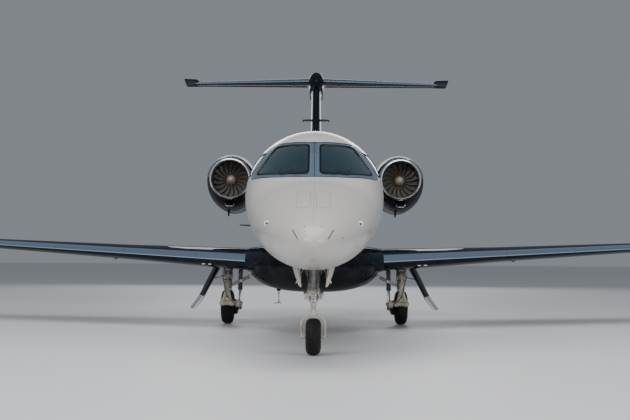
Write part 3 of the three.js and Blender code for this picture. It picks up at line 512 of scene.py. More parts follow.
class Graph:
    """Adds nodes to a node tree and links them."""

    def __init__(self, tree: bpy.types.NodeTree) -> None:
        """Works on a tree."""
        self.tree = tree

    def add(
        self, kind: str, inputs: dict[str | int, Value] | None = None, **options: object
    ) -> bpy.types.Node:
        """Adds a node.

        Args:
            kind: The node's type, without its ShaderNode prefix.
            inputs: Sockets or constants for its inputs.
            options: Properties to set on it.

        Returns:
            The node.
        """
        node = self.tree.nodes.new(f"ShaderNode{kind}")
        for key, value in options.items():
            setattr(node, key, value)
        self.feed(node, inputs or {})
        return node

    def feed(self, node: bpy.types.Node, inputs: dict[str | int, Value]) -> None:
        """Links sockets to a node's inputs, and sets the inputs that are given a constant.

        Args:
            node: The node.
            inputs: A socket or a constant for each named input.
        """
        for key, value in inputs.items():
            if isinstance(value, bpy.types.NodeSocket):
                self.tree.links.new(value, node.inputs[key])
            else:
                node.inputs[key].default_value = value

    def where(self) -> Socket:
        """The point on the object."""
        return self.add("TexCoord").outputs["Object"]

    def noise(self, where: Socket, scale: Value, detail: float, roughness: float = 0.5) -> Socket:
        """Smooth noise between 0 and 1."""
        inputs = {"Vector": where, "Scale": scale, "Detail": detail, "Roughness": roughness}
        return self.add("TexNoise", inputs).outputs[0]

    def math(self, operation: str, a: Value, b: Value = 0.0, c: Value = 0.0) -> Socket:
        """The result of one sum."""
        return self.add("Math", {0: a, 1: b, 2: c}, operation=operation).outputs[0]

    def ramp(self, value: Value, low: Value, high: Value, start: float = 0.0, end: float = 1.0) -> Socket:
        """A smooth step from start to end as a value goes from low to high."""
        inputs = {"Value": value, "From Min": low, "From Max": high, "To Min": start, "To Max": end}
        return self.add("MapRange", inputs, interpolation_type="SMOOTHSTEP").outputs[0]

    def mix(self, share: Value, a: Value, b: Value) -> Socket:
        """A mix of two colours."""
        return self.add("Mix", {0: share, 6: a, 7: b}, data_type="RGBA").outputs[2]

    def place(self) -> tuple[Socket, Socket, Socket]:
        """The x, y and z of the point on the object."""
        split = self.add("SeparateXYZ", {0: self.where()})
        return split.outputs[0], split.outputs[1], split.outputs[2]


class Effect:
    """A node group with named inputs and outputs, made once and used by several materials."""

    name = "Effect"
    numbers: dict[str, float] = {}
    colours: dict[str, tuple[float, ...]] = {}
    gives: dict[str, str] = {"Mask": "NodeSocketFloat"}

    @classmethod
    def group(cls) -> bpy.types.NodeTree:
        """The node group, built the first time it is asked for."""
        found = bpy.data.node_groups.get(cls.name)
        if found:
            return found
        tree = bpy.data.node_groups.new(cls.name, "ShaderNodeTree")
        for name, value in cls.colours.items():
            made = tree.interface.new_socket(name=name, in_out="INPUT", socket_type="NodeSocketColor")
            made.default_value = value
        for name, value in cls.numbers.items():
            made = tree.interface.new_socket(name=name, in_out="INPUT", socket_type="NodeSocketFloat")
            made.default_value = value
        for name, kind in cls.gives.items():
            tree.interface.new_socket(name=name, in_out="OUTPUT", socket_type=kind)
        graph = Graph(tree)
        given = tree.nodes.new("NodeGroupInput")
        result = tree.nodes.new("NodeGroupOutput")
        sockets = {socket.name: socket for socket in given.outputs if socket.name}
        for name, socket in cls.build(graph, sockets).items():
            tree.links.new(socket, result.inputs[name])
        return tree

    @classmethod
    def build(cls, graph: Graph, given: dict[str, Socket]) -> dict[str, Socket]:
        """Adds the group's own nodes.

        Args:
            graph: The group's graph.
            given: The group's inputs.

        Returns:
            The socket for each output.
        """
        raise NotImplementedError

    @classmethod
    def use(cls, graph: Graph, **values: Value) -> bpy.types.Node:
        """Places the effect in a material with its own values.

        Args:
            graph: The material's graph.
            values: Input values, with _ for a space in the name.

        Returns:
            The group's node.
        """
        node = graph.tree.nodes.new("ShaderNodeGroup")
        node.node_tree = cls.group()
        graph.feed(node, {key.replace("_", " "): value for key, value in values.items()})
        return node


class Grime(Effect):
    """Dust and stains that thicken towards the ground."""

    name = "Grime"
    colours = {"Color": (0.8, 0.8, 0.8, 1.0), "Dirt": (0.2, 0.17, 0.13, 1.0)}
    numbers = {"Amount": 0.3, "Scale": 6.0, "Low": 0.0, "High": 2.0}
    gives = {"Color": "NodeSocketColor", "Mask": "NodeSocketFloat"}

    @classmethod
    def build(cls, graph: Graph, given: dict[str, Socket]) -> dict[str, Socket]:
        """Adds the group's own nodes.

        Args:
            graph: The group's node graph.
            given: The group's inputs by name.

        Returns:
            The sockets to put out, by name.
        """
        cloud = graph.noise(graph.where(), given["Scale"], 6.0, 0.62)
        patch = graph.ramp(cloud, 0.42, 0.72)
        height = graph.place()[2]
        low = graph.ramp(height, given["Low"], given["High"], 1.0, 0.15)
        mask = graph.math("MULTIPLY", graph.math("MULTIPLY", patch, low), given["Amount"])
        return {"Color": graph.mix(mask, given["Color"], given["Dirt"]), "Mask": mask}


class Ripple(Effect):
    """Slow waves and fine grain, as heights for a bump."""

    name = "Ripple"
    numbers = {"Wave Scale": 2.0, "Wave": 0.5, "Grain Scale": 300.0, "Grain": 0.1}
    gives = {"Height": "NodeSocketFloat", "Mask": "NodeSocketFloat"}

    @classmethod
    def build(cls, graph: Graph, given: dict[str, Socket]) -> dict[str, Socket]:
        """Adds the group's own nodes.

        Args:
            graph: The group's node graph.
            given: The group's inputs by name.

        Returns:
            The sockets to put out, by name.
        """
        where = graph.where()
        wave = graph.noise(where, given["Wave Scale"], 2.0)
        grain = graph.noise(where, given["Grain Scale"], 3.0)
        slow = graph.math("MULTIPLY", wave, given["Wave"])
        return {"Height": graph.math("MULTIPLY_ADD", grain, given["Grain"], slow), "Mask": wave}


class Seams(Effect):
    """Thin lines at equal steps of a coordinate, where skin panels meet."""

    name = "Seams"
    numbers = {"Place": 0.0, "Start": 0.0, "Step": 1.0, "Width": 0.004}

    @classmethod
    def build(cls, graph: Graph, given: dict[str, Socket]) -> dict[str, Socket]:
        """Adds the group's own nodes.

        Args:
            graph: The group's node graph.
            given: The group's inputs by name.

        Returns:
            The sockets to put out, by name.
        """
        shifted = graph.math("SUBTRACT", given["Place"], given["Start"])
        near = graph.math("PINGPONG", shifted, graph.math("MULTIPLY", given["Step"], 0.5))
        line = graph.math("DIVIDE", near, given["Width"])
        return {"Mask": graph.ramp(line, 0.5, 1.0, 1.0, 0.0)}


class Sweep(Effect):
    """A boundary along one coordinate that leans with another, 1 beyond it."""

    name = "Sweep"
    numbers = {"Along": 0.0, "Across": 0.0, "Start": 0.0, "Slope": 0.5, "Soft": 0.002}

    @classmethod
    def build(cls, graph: Graph, given: dict[str, Socket]) -> dict[str, Socket]:
        """Adds the group's own nodes.

        Args:
            graph: The group's node graph.
            given: The group's inputs by name.

        Returns:
            The sockets to put out, by name.
        """
        line = graph.math("MULTIPLY_ADD", given["Across"], given["Slope"], given["Start"])
        past = graph.math("SUBTRACT", given["Along"], line)
        return {"Mask": graph.ramp(graph.math("DIVIDE", past, given["Soft"]), -0.5, 0.5)}


class Hide(Effect):
    """The cells and creases of leather, as heights for a bump and a mask for the colour."""

    name = "Hide"
    numbers = {"Scale": 120.0, "Crease": 0.5}
    gives = {"Height": "NodeSocketFloat", "Mask": "NodeSocketFloat"}

    @classmethod
    def build(cls, graph: Graph, given: dict[str, Socket]) -> dict[str, Socket]:
        """Adds the group's own nodes.

        Args:
            graph: The group's node graph.
            given: The group's inputs by name.

        Returns:
            The sockets to put out, by name.
        """
        where = graph.where()
        cells = graph.add(
            "TexVoronoi", {"Vector": where, "Scale": given["Scale"]}, feature="DISTANCE_TO_EDGE"
        )
        wide = graph.noise(where, 5.0, 5.0)
        height = graph.ramp(cells.outputs[0], 0.0, 0.12)
        return {"Height": graph.math("MULTIPLY_ADD", wide, given["Crease"], height), "Mask": wide}


class Brushed(Effect):
    """Fine lines drawn along one axis of the object, as in rolled or brushed metal."""

    name = "Brushed"
    numbers = {"Along X": 1.0, "Along Y": 1.0, "Along Z": 1.0, "Scale": 60.0}
    gives = {"Height": "NodeSocketFloat", "Mask": "NodeSocketFloat"}

    @classmethod
    def build(cls, graph: Graph, given: dict[str, Socket]) -> dict[str, Socket]:
        """Adds the group's own nodes.

        Args:
            graph: The group's node graph.
            given: The group's inputs by name.

        Returns:
            The sockets to put out, by name.
        """
        stretch = graph.add("CombineXYZ", {0: given["Along X"], 1: given["Along Y"], 2: given["Along Z"]})
        where = graph.where()
        moved = graph.add("VectorMath", {0: where, 1: stretch.outputs[0]}, operation="MULTIPLY").outputs[0]
        lines = graph.noise(moved, given["Scale"], 4.0)
        cloud = graph.noise(where, 1.5, 4.0)
        return {
            "Height": lines,
            "Mask": graph.math("MULTIPLY_ADD", lines, 0.35, graph.math("MULTIPLY", cloud, 0.65)),
        }


# Finishes


Colour = tuple[float, float, float]


def opaque(color: Colour) -> tuple[float, float, float, float]:
    """A colour as a node takes it, with full opacity."""
    return (*color, 1.0)


PEARL_WHITE = (0.55, 0.525, 0.495)
NIGHT_BLUE = (0.0055, 0.009, 0.016)
SEAM_GREY = (0.05, 0.05, 0.055)


@dataclass(frozen=True)
class Finish:
    """A procedural surface: its colour, gloss, grain and dirt."""

    name: str
    color: Colour
    roughness: float = 0.5
    metallic: float = 0.0
    coat: float = 0.0
    dirt: float = 0.25
    dirt_high: float = 2.6
    grain: float = 0.15
    grain_scale: float = 260.0
    bump: float = 0.0004
    specular: float = 0.5

    def material(self) -> bpy.types.Material:
        """The material, made the first time it is asked for."""
        found = bpy.data.materials.get(self.name)
        if found:
            return found
        made = bpy.data.materials.new(self.name)
        made.use_nodes = True
        graph = Graph(made.node_tree)
        shader = made.node_tree.nodes["Principled BSDF"]
        settings = {
            "Base Color": opaque(self.color),
            "Roughness": self.roughness,
            "Metallic": self.metallic,
            "Coat Weight": self.coat,
            "Coat Roughness": 0.04,
            "Specular IOR Level": self.specular,
        }
        graph.feed(shader, settings)
        self.paint(graph, shader)
        return made

    def paint(self, graph: Graph, shader: bpy.types.Node) -> None:
        """Adds what varies over the surface.

        Args:
            graph: The material's node graph.
            shader: The main shader node.
        """
        self.soil(graph, shader, opaque(self.color))
        grain = Ripple.use(graph, Grain_Scale=self.grain_scale, Grain=self.grain, Wave=0.4, Wave_Scale=3.0)
        self.raise_by(graph, shader, grain.outputs["Height"])

    def soil(self, graph: Graph, shader: bpy.types.Node, color: Value) -> Socket:
        """Feeds the colour and roughness through grime.

        Args:
            graph: The material's graph.
            shader: Its Principled shader.
            color: The clean colour.

        Returns:
            The grime's mask.
        """
        grime = Grime.use(graph, Color=color, Amount=self.dirt, High=self.dirt_high)
        dull = graph.math("MULTIPLY_ADD", grime.outputs["Mask"], 0.45, self.roughness)
        graph.feed(shader, {"Base Color": grime.outputs["Color"], "Roughness": dull})
        return grime.outputs["Mask"]

    def raise_by(
        self, graph: Graph, shader: bpy.types.Node, height: Value, distance: float | None = None
    ) -> None:
        """Bumps the surface by a height."""
        bump = graph.add("Bump", {"Strength": 1.0, "Distance": distance or self.bump, "Height": height})
        graph.feed(shader, {"Normal": bump.outputs[0]})


@dataclass(frozen=True)
class Gloss(Finish):
    """Glossy paint over riveted panels, with a seam at equal steps of one axis."""

    seam_axis: int = 1
    seam_start: float = 0.0
    seam_step: float = 0.0
    seam_width: float = 0.005

    def paint(self, graph: Graph, shader: bpy.types.Node) -> None:
        """Adds what varies over the surface."""
        self.finish(graph, shader, opaque(self.color))

    def finish(self, graph: Graph, shader: bpy.types.Node, color: Value) -> None:
        """Adds the seams, grime and orange peel over a colour.

        Args:
            graph: The material's node graph.
            shader: The main shader node.
            color: The paint's colour, before seams and grime.
        """
        waves = Ripple.use(graph, Wave_Scale=1.4, Wave=1.0, Grain_Scale=self.grain_scale, Grain=self.grain)
        height = waves.outputs["Height"]
        if self.seam_step:
            place = graph.place()[self.seam_axis]
            seam = Seams.use(
                graph, Place=place, Start=self.seam_start, Step=self.seam_step, Width=self.seam_width
            )
            shade = graph.math("MULTIPLY", seam.outputs["Mask"], 0.4)
            color = graph.mix(shade, color, opaque(SEAM_GREY))
        self.soil(graph, shader, color)
        self.raise_by(graph, shader, height)


@dataclass(frozen=True)
class TwoTone(Gloss):
    """The fuselage's paint: light above, dark below a line that sweeps up towards the tail."""

    lower: Colour = NIGHT_BLUE
    front_start: float = 2.42
    front_slope: float = 0.34
    waist: float = 1.36
    rear_start: float = 0.42
    rear_slope: float = 0.62

    def paint(self, graph: Graph, shader: bpy.types.Node) -> None:
        """Adds what varies over the surface.

        Args:
            graph: The material's node graph.
            shader: The main shader node.
        """
        _, y, z = graph.place()
        front = Sweep.use(graph, Along=z, Across=y, Start=self.front_start, Slope=self.front_slope)
        waist = Sweep.use(graph, Along=z, Across=y, Start=self.waist, Slope=0.0)
        rear = Sweep.use(graph, Along=z, Across=y, Start=self.rear_start, Slope=self.rear_slope)
        either = graph.math("MAXIMUM", front.outputs["Mask"], waist.outputs["Mask"])
        light = graph.math("MINIMUM", either, rear.outputs["Mask"])
        self.finish(graph, shader, graph.mix(light, opaque(self.lower), opaque(self.color)))


@dataclass(frozen=True)
class EdgedPaint(Gloss):
    """Dark paint with a polished metal leading edge, bounded behind and below by straight lines: the metal's
    blue tint is a painted sky reflection, and the dark paint below the lower line is a painted reflection of
    dark ground.
    """

    along: int = 1
    across: int = 0
    start: float = 0.0
    slope: float = 0.5
    # The leaning height below which the edge is painted dark, as a painted reflection of dark ground.
    under: float = -100.0
    under_slope: float = 0.0
    # The unpainted metal's colour, tinted blue as a painted sky reflection.
    bare: Colour = (0.40, 0.54, 0.70)

    def paint(self, graph: Graph, shader: bpy.types.Node) -> None:
        """Adds what varies over the surface.

        Args:
            graph: The material's node graph.
            shader: The main shader node.
        """
        place = graph.place()
        across = graph.math("ABSOLUTE", place[self.across])
        edge = Sweep.use(graph, Along=place[self.along], Across=across, Start=self.start, Slope=self.slope)
        # Below this line the metal gives way to dark paint: a painted reflection of dark ground.
        over = Sweep.use(graph, Along=place[2], Across=across, Start=self.under, Slope=self.under_slope)
        metal = graph.math(
            "MULTIPLY", graph.math("SUBTRACT", 1.0, edge.outputs["Mask"]), over.outputs["Mask"]
        )
        painted = graph.math("SUBTRACT", 1.0, metal)
        self.finish(graph, shader, graph.mix(painted, opaque(self.bare), opaque(self.color)))
        coat = graph.math("MULTIPLY", painted, self.coat)
        rough = graph.math("MULTIPLY_ADD", metal, 0.06, self.roughness)
        graph.feed(shader, {"Metallic": metal, "Coat Weight": coat, "Roughness": rough})


@dataclass(frozen=True)
class Metal(Finish):
    """Bare metal with fine lines drawn along an axis."""

    metallic: float = 1.0
    stretch: tuple[float, float, float] = (1.0, 1.0, 12.0)
    lines: float = 70.0
    uneven: float = 0.12

    def paint(self, graph: Graph, shader: bpy.types.Node) -> None:
        """Adds what varies over the surface.

        Args:
            graph: The material's node graph.
            shader: The main shader node.
        """
        x, y, z = self.stretch
        lines = Brushed.use(graph, Along_X=x, Along_Y=y, Along_Z=z, Scale=self.lines)
        grime = Grime.use(graph, Color=opaque(self.color), Amount=self.dirt, High=self.dirt_high)
        rough = graph.math(
            "MULTIPLY_ADD", lines.outputs["Mask"], self.uneven, self.roughness - self.uneven / 2
        )
        dull = graph.math("MULTIPLY_ADD", grime.outputs["Mask"], 0.4, rough)
        graph.feed(shader, {"Base Color": grime.outputs["Color"], "Roughness": dull})
        self.raise_by(graph, shader, lines.outputs["Height"])


@dataclass(frozen=True)
class Glass(Finish):
    """Tinted glass with a trace of dust."""

    roughness: float = 0.02
    ior: float = 1.5
    # The colour that tints the glass's reflections; the windshield's blue one is a painted sky reflection.
    sheen: Colour = (1.0, 1.0, 1.0)

    def paint(self, graph: Graph, shader: bpy.types.Node) -> None:
        """Adds what varies over the surface."""
        graph.feed(shader, {"Transmission Weight": 1.0, "IOR": self.ior, "Specular Tint": opaque(self.sheen)})
        self.soil(graph, shader, opaque(self.color))


@dataclass(frozen=True)
class Leather(Finish):
    """Soft grained leather."""

    scale: float = 150.0

    def paint(self, graph: Graph, shader: bpy.types.Node) -> None:
        """Adds what varies over the surface.

        Args:
            graph: The material's node graph.
            shader: The main shader node.
        """
        hide = Hide.use(graph, Scale=self.scale, Crease=0.8)
        dark = tuple(c * 0.72 for c in self.color)
        share = graph.ramp(hide.outputs["Mask"], 0.35, 0.7)
        tone = graph.mix(share, opaque(dark), opaque(self.color))
        rough = graph.math("MULTIPLY_ADD", hide.outputs["Height"], 0.14, self.roughness - 0.1)
        graph.feed(shader, {"Base Color": tone, "Roughness": rough})
        self.raise_by(graph, shader, hide.outputs["Height"])


@dataclass(frozen=True)
class Lamp(Finish):
    """A lens that glows faintly."""

    glow: float = 1.0

    def paint(self, graph: Graph, shader: bpy.types.Node) -> None:
        """Adds what varies over the surface.

        Args:
            graph: The material's node graph.
            shader: The main shader node.
        """
        lines = Brushed.use(graph, Along_X=6.0, Along_Y=6.0, Along_Z=6.0, Scale=20.0)
        dim = tuple(c * 0.6 for c in self.color)
        shade = graph.mix(lines.outputs["Mask"], opaque(dim), opaque(self.color))
        graph.feed(shader, {"Base Color": shade, "Emission Color": shade, "Emission Strength": self.glow})


PEARL = TwoTone(
    "pearl paint", PEARL_WHITE, 0.2, coat=0.2, specular=0.35, dirt=0.10, grain=0.02, bump=0.0012,
    seam_start=y_at(1.6), seam_step=1.52,
)
NOSE_PAINT = Gloss(
    "nose paint", PEARL_WHITE, 0.2, coat=0.2, specular=0.35, dirt=0.08, grain=0.02, bump=0.0012
)
BOSS_PAINT = Gloss(
    "plate paint", (0.80, 0.785, 0.76), 0.25, coat=0.2, specular=0.35, dirt=0.03, grain=0.02, bump=0.0004
)
MIDNIGHT = Gloss(
    "midnight paint", NIGHT_BLUE, 0.12, coat=0.28, specular=0.0, dirt=0.06, grain=0.02, bump=0.0012
)
BELLY = Gloss(
    "belly paint", (0.004, 0.0055, 0.009), 0.18, coat=0.22, specular=0.0, dirt=0.08, grain=0.02, bump=0.0014,
    seam_start=-1.9, seam_step=1.05,
)
# The leading edges' blue metal is a painted sky reflection, and their dark paint below a leaning height is a
# painted reflection of dark ground.
WING_SKIN = EdgedPaint(
    "wing paint", NIGHT_BLUE, 0.12, coat=0.28, specular=0.0, dirt=0.06, grain=0.02, bump=0.001,
    start=-1.859, slope=0.51, under=0.967, under_slope=0.057, seam_axis=0, seam_start=0.62, seam_step=1.22,
)
STABILIZER_SKIN = EdgedPaint(
    "stabilizer paint", NIGHT_BLUE, 0.12, coat=0.28, specular=0.0, dirt=0.05, grain=0.02, bump=0.001,
    start=5.768, slope=0.35, under=4.873, under_slope=0.03, seam_axis=0, seam_start=0.4, seam_step=0.9,
)
# The inlet band: dark paint below the engine's axis, and above it blue-tinted metal that is a painted sky
# reflection.
LIP_PAINT_AND_SKY = EdgedPaint(
    "lip paint", NIGHT_BLUE, 0.10, coat=0.28, specular=0.0, dirt=0.05, grain=0.02, bump=0.0006,
    start=100.0, slope=0.0, under=2.50, bare=(0.26, 0.38, 0.52),
)
CHROME = Metal("polished metal", (0.86, 0.87, 0.89), 0.07, dirt=0.06, uneven=0.05, bump=0.0002)
LIP_METAL = Metal("lip metal", (0.93, 0.935, 0.94), 0.3, dirt=0.03, uneven=0.05, bump=0.0002)
# The windshield frame's blue-grey is a painted reflection of a blue sky on its metal.
FRAME_METAL_SKY_TINT = Metal(
    "windshield frame metal", (0.42, 0.58, 0.74), 0.26, dirt=0.05, stretch=(1.0, 1.0, 10.0), lines=40.0,
    bump=0.0004,
)
DARK_METAL = Finish("dark metal", (0.028, 0.027, 0.027), 0.42, dirt=0.3, bump=0.0004)
FAN_METAL = Finish("fan blade metal", (0.13, 0.118, 0.108), 0.38, coat=0.1, dirt=0.2, bump=0.0003)
RIB_METAL = Finish("rib metal", (0.16, 0.155, 0.15), 0.4, dirt=0.2, bump=0.0002)
FASTENER = Finish("fastener heads", (0.03, 0.045, 0.065), 0.45, dirt=0.2, bump=0.0002, specular=0.3)
SPINNER_METAL = Finish("spinner paint", (0.50, 0.42, 0.30), 0.30, coat=0.4, dirt=0.15, bump=0.0003)
STEEL = Metal("steel", (0.52, 0.51, 0.50), 0.26, dirt=0.25, dirt_high=1.2, bump=0.0003)
WHEEL_METAL = Metal("wheel metal", (0.55, 0.54, 0.52), 0.34, dirt=0.4, dirt_high=0.8, bump=0.0004)
EXHAUST = Metal("exhaust metal", (0.23, 0.19, 0.16), 0.34, dirt=0.3, dirt_high=4.0, bump=0.0005)
GEAR_PAINT = Finish("gear paint", (0.60, 0.54, 0.42), 0.42, coat=0.15, dirt=0.75, dirt_high=1.1, bump=0.0005)
# Dark grey that stands partly for painted shade on the upper legs and the main damper, where they lie under
# the aircraft.
GEAR_GREY_AND_SHADE = Finish("gear grey", (0.20, 0.195, 0.19), 0.40, coat=0.2, dirt=0.5, dirt_high=1.1, bump=0.0005)
RUBBER = Finish(
    "tyre rubber", (0.007, 0.0075, 0.009), 0.6, specular=0.3, dirt=0.14, dirt_high=0.7, grain=0.5, bump=0.0007
)
SEAL = Finish("seal rubber", (0.006, 0.0065, 0.007), 0.8, dirt=0.05, bump=0.0003, specular=0.08)
HOSE = Finish("hose", (0.02, 0.02, 0.022), 0.5, dirt=0.4, dirt_high=1.1, bump=0.0004)
GAP_DARK = Finish("gap", (0.035, 0.035, 0.04), 0.6, dirt=0.1)
# Flat black used as painted shadow inside openings.
PAINTED_SHADOW_BLACK = Finish("shadow black", (0.002, 0.002, 0.002), 0.9, specular=0.0)
# The windshield's blue reflection tint is a painted sky reflection; its teal colour is partly the glass's own
# tint and partly painted sky.
SKY_TINTED_GLASS = Glass("windshield glass", (0.15, 0.46, 0.56), dirt=0.02, ior=1.8, sheen=(0.12, 0.62, 0.95))
CABIN_GLASS = Glass("cabin glass", (0.10, 0.14, 0.16), dirt=0.05)
LINING = Finish("cabin lining", (0.55, 0.49, 0.40), 0.75, dirt=0.1, grain=0.6, bump=0.0008)
CARPET = Finish("carpet", (0.10, 0.085, 0.07), 0.95, dirt=0.3, grain=1.0, grain_scale=420.0, bump=0.003)
LEATHER = Leather("seat leather", (0.62, 0.50, 0.37), 0.5, bump=0.0012)
STITCH = Finish("stitching", (0.30, 0.22, 0.15), 0.7)
CURTAIN = Finish("curtain", (0.05, 0.045, 0.04), 0.9, dirt=0.05, grain=0.8, grain_scale=300.0, bump=0.001)
DARK_PLASTIC = Finish("dark plastic", (0.022, 0.022, 0.024), 0.5, dirt=0.1, grain=0.5, bump=0.0006)
WOOD_TRIM = Finish("seat shell", (0.12, 0.075, 0.045), 0.3, coat=0.5, dirt=0.05, bump=0.0003)
SCREEN = Lamp("screen", (0.02, 0.09, 0.13), 0.15, glow=0.6)
RED_LAMP = Lamp("red lamp", (0.7, 0.02, 0.015), 0.12, glow=0.5)
GREEN_LAMP = Lamp("green lamp", (0.02, 0.5, 0.12), 0.12, glow=0.5)
WHITE_LAMP = Lamp("white lamp", (0.9, 0.92, 0.95), 0.12, glow=0.4)
FLOOR = Finish("studio floor", (0.72, 0.72, 0.73), 0.55, dirt=0.03, dirt_high=0.5, grain=0.1, bump=0.0002)


# Fuselage


@dataclass
class FuselageForm:
    """The fuselage's outer surface: upper and lower half-ellipses that share one widest line."""

    # columns: station, half width, height of the widest line, top, bottom
    sections: tuple[tuple[float, ...], ...] = (
        (0.0, 0.0, 1.225, 1.225, 1.225),
        (0.018, 0.075, 1.227, 1.283, 1.178),
        (0.08, 0.155, 1.232, 1.350, 1.125),
        (0.22, 0.252, 1.245, 1.436, 1.072),
        (0.45, 0.358, 1.280, 1.540, 1.026),
        (0.75, 0.462, 1.335, 1.645, 0.992),
        (1.1, 0.556, 1.410, 1.752, 0.969),
        (1.5, 0.638, 1.500, 1.866, 0.954),
        (1.85, 0.697, 1.580, 1.962, 0.947),
        (2.15, 0.738, 1.648, 2.112, 0.944),
        (2.5, 0.779, 1.718, 2.298, 0.942),
        (2.85, 0.815, 1.772, 2.460, 0.942),
        (3.2, 0.846, 1.808, 2.590, 0.942),
        (3.6, 0.867, 1.826, 2.680, 0.942),
        (4.1, 0.873, 1.830, 2.720, 0.942),
        (9.3, 0.873, 1.830, 2.720, 0.942),
        (10.0, 0.848, 1.856, 2.720, 0.982),
        (10.8, 0.786, 1.912, 2.716, 1.092),
        (11.7, 0.676, 1.998, 2.697, 1.284),
        (12.6, 0.530, 2.090, 2.650, 1.530),
        (13.5, 0.365, 2.180, 2.575, 1.800),
        (14.3, 0.205, 2.255, 2.480, 2.060),
        (14.8, 0.095, 2.290, 2.400, 2.205),
    )
    sides: int = 96

    def __post_init__(self) -> None:
        """Fits smooth curves through the sections."""
        self.tracks = [Track(self.sections, column, root=True) for column in range(1, 5)]

    def section(self, station: float) -> tuple[float, float, float, float]:
        """The half width, widest height, top and bottom at a station."""
        half, wide, top, bottom = (track(station) for track in self.tracks)
        return half, wide, top, bottom

    def point(self, station: float, angle: float, inward: float = 0.0) -> Vector:
        """A point of the surface, at an angle from the widest line on +X.

        Args:
            station: The station.
            angle: The angle in radians, growing towards the top.
            inward: How far inside the surface the point lies.

        Returns:
            The point.
        """
        half, wide, top, bottom = self.section(station)
        rise = top - wide if math.sin(angle) > 0 else wide - bottom
        x = math.cos(angle) * max(0.0005, half - inward)
        z = wide + math.sin(angle) * max(0.0005, rise - inward)
        return Vector((x, y_at(station), z))

    def ring(self, station: float, inward: float = 0.0) -> Ring:
        """The section's points at a station."""
        return [self.point(station, angle, inward) for angle in around(self.sides)]

    def stations(self, start: float, end: float) -> list[float]:
        """Stations from start to end, closer together towards the nose tip.

        Args:
            start: The first station.
            end: The last station.

        Returns:
            The stations, in order.
        """
        count = max(2, round((math.sqrt(end) - math.sqrt(start)) * 34))
        low, high = math.sqrt(start), math.sqrt(end)
        return [(low + (high - low) * i / count) ** 2 for i in range(count + 1)]

    def body(self, start: float, end: float, inward: float = 0.0) -> Mesh:
        """A closed solid inside the surface.

        Args:
            start: The first station.
            end: The last station.
            inward: How far inside the surface it lies.

        Returns:
            The solid's mesh.
        """
        rings = [self.ring(s, inward) for s in self.stations(start, end)]
        if start == 0.0:
            rings[0] = [self.point(0.0, 0.0)]
        return Mesh().loft(rings)

    def layer(self, start: float, end: float, outer: float, inner: float) -> Mesh:
        """A closed tube between two depths below the surface.

        Args:
            start: The first station.
            end: The last station.
            outer: The depth of its outside.
            inner: The depth of its inside.

        Returns:
            The tube's mesh.
        """
        stations = self.stations(start, end)
        outside = [self.ring(s, outer) for s in stations]
        inside = [self.ring(s, inner) for s in reversed(stations)]
        return Mesh().torus([*outside, *inside])

    def excess(self, station: float, x: float, z: float) -> float:
        """Below 0 where a point lies inside the section at a station.

        Args:
            station: The station.
            x: The point's x.
            z: The point's height.

        Returns:
            A measure that is 0 on the section itself.
        """
        half, wide, top, bottom = self.section(station)
        rise = top - wide if z > wide else wide - bottom
        return (x / max(half, 1e-4)) ** 2 + ((z - wide) / max(rise, 1e-4)) ** 2 - 1

    def front(self, x: float, z: float, proud: float = 0.0) -> Vector:
        """The surface point seen from ahead at x and z, moved outwards by a distance.

        Args:
            x: The point's x.
            z: The point's height.
            proud: How far outwards it is moved.

        Returns:
            The point.
        """
        low, high = 0.0, 4.1
        for _ in range(40):
            mid = (low + high) / 2
            low, high = (mid, high) if self.excess(mid, x, z) > 0 else (low, mid)
        at = Vector((x, y_at(high), z))
        return at + self.normal(at) * proud

    def flank(self, station: float, z: float, sign: int, proud: float = 0.0) -> Vector:
        """The surface point seen from one side at a station and height, moved outwards by a distance.

        Args:
            station: The station.
            z: The point's height.
            sign: The side's sign in x.
            proud: How far outwards it is moved.

        Returns:
            The point.
        """
        half, wide, top, bottom = self.section(station)
        rise = top - wide if z > wide else wide - bottom
        x = half * math.sqrt(max(0.0, 1 - ((z - wide) / rise) ** 2)) * sign
        at = Vector((x, y_at(station), z))
        return at + self.normal(at) * proud

    def normal(self, at: Vector) -> Vector:
        """The outward direction at a surface point.

        Args:
            at: The point.

        Returns:
            The direction, one long.
        """
        step = 0.004
        station = at.y - NOSE_Y
        slopes = [
            self.excess(station, at.x + step, at.z) - self.excess(station, at.x - step, at.z),
            self.excess(station + step, at.x, at.z) - self.excess(max(0.0, station - step), at.x, at.z),
            self.excess(station, at.x, at.z + step) - self.excess(station, at.x, at.z - step),
        ]
        return Vector(slopes).normalized()

    def depth(self, at: Vector) -> float:
        """About how far below the surface a point lies.

        Args:
            at: The point.

        Returns:
            Its depth.
        """
        half, wide, top, bottom = self.section(at.y - NOSE_Y)
        rise = top - wide if at.z > wide else wide - bottom
        reach = math.hypot(at.x / half, (at.z - wide) / rise)
        return (1 - reach) * min(half, rise)


FORM = FuselageForm()


def joint(name: str) -> tuple[Vector, Vector]:
    """A point and the direction of a joint's axis."""
    found = next(row for row in frame["joints"] if row["name"] == name)
    return Vector(found["pos_m"]), Vector(found["axis"]).normalized()


def upright(x: float, y: float, z: float) -> Vector:
    """Places an outline of x and z, drawn out along Y."""
    return Vector((x, z, y))


def sideways(y: float, z: float, x: float) -> Vector:
    """Places an outline of y and z, drawn out along X."""
    return Vector((x, y, z))


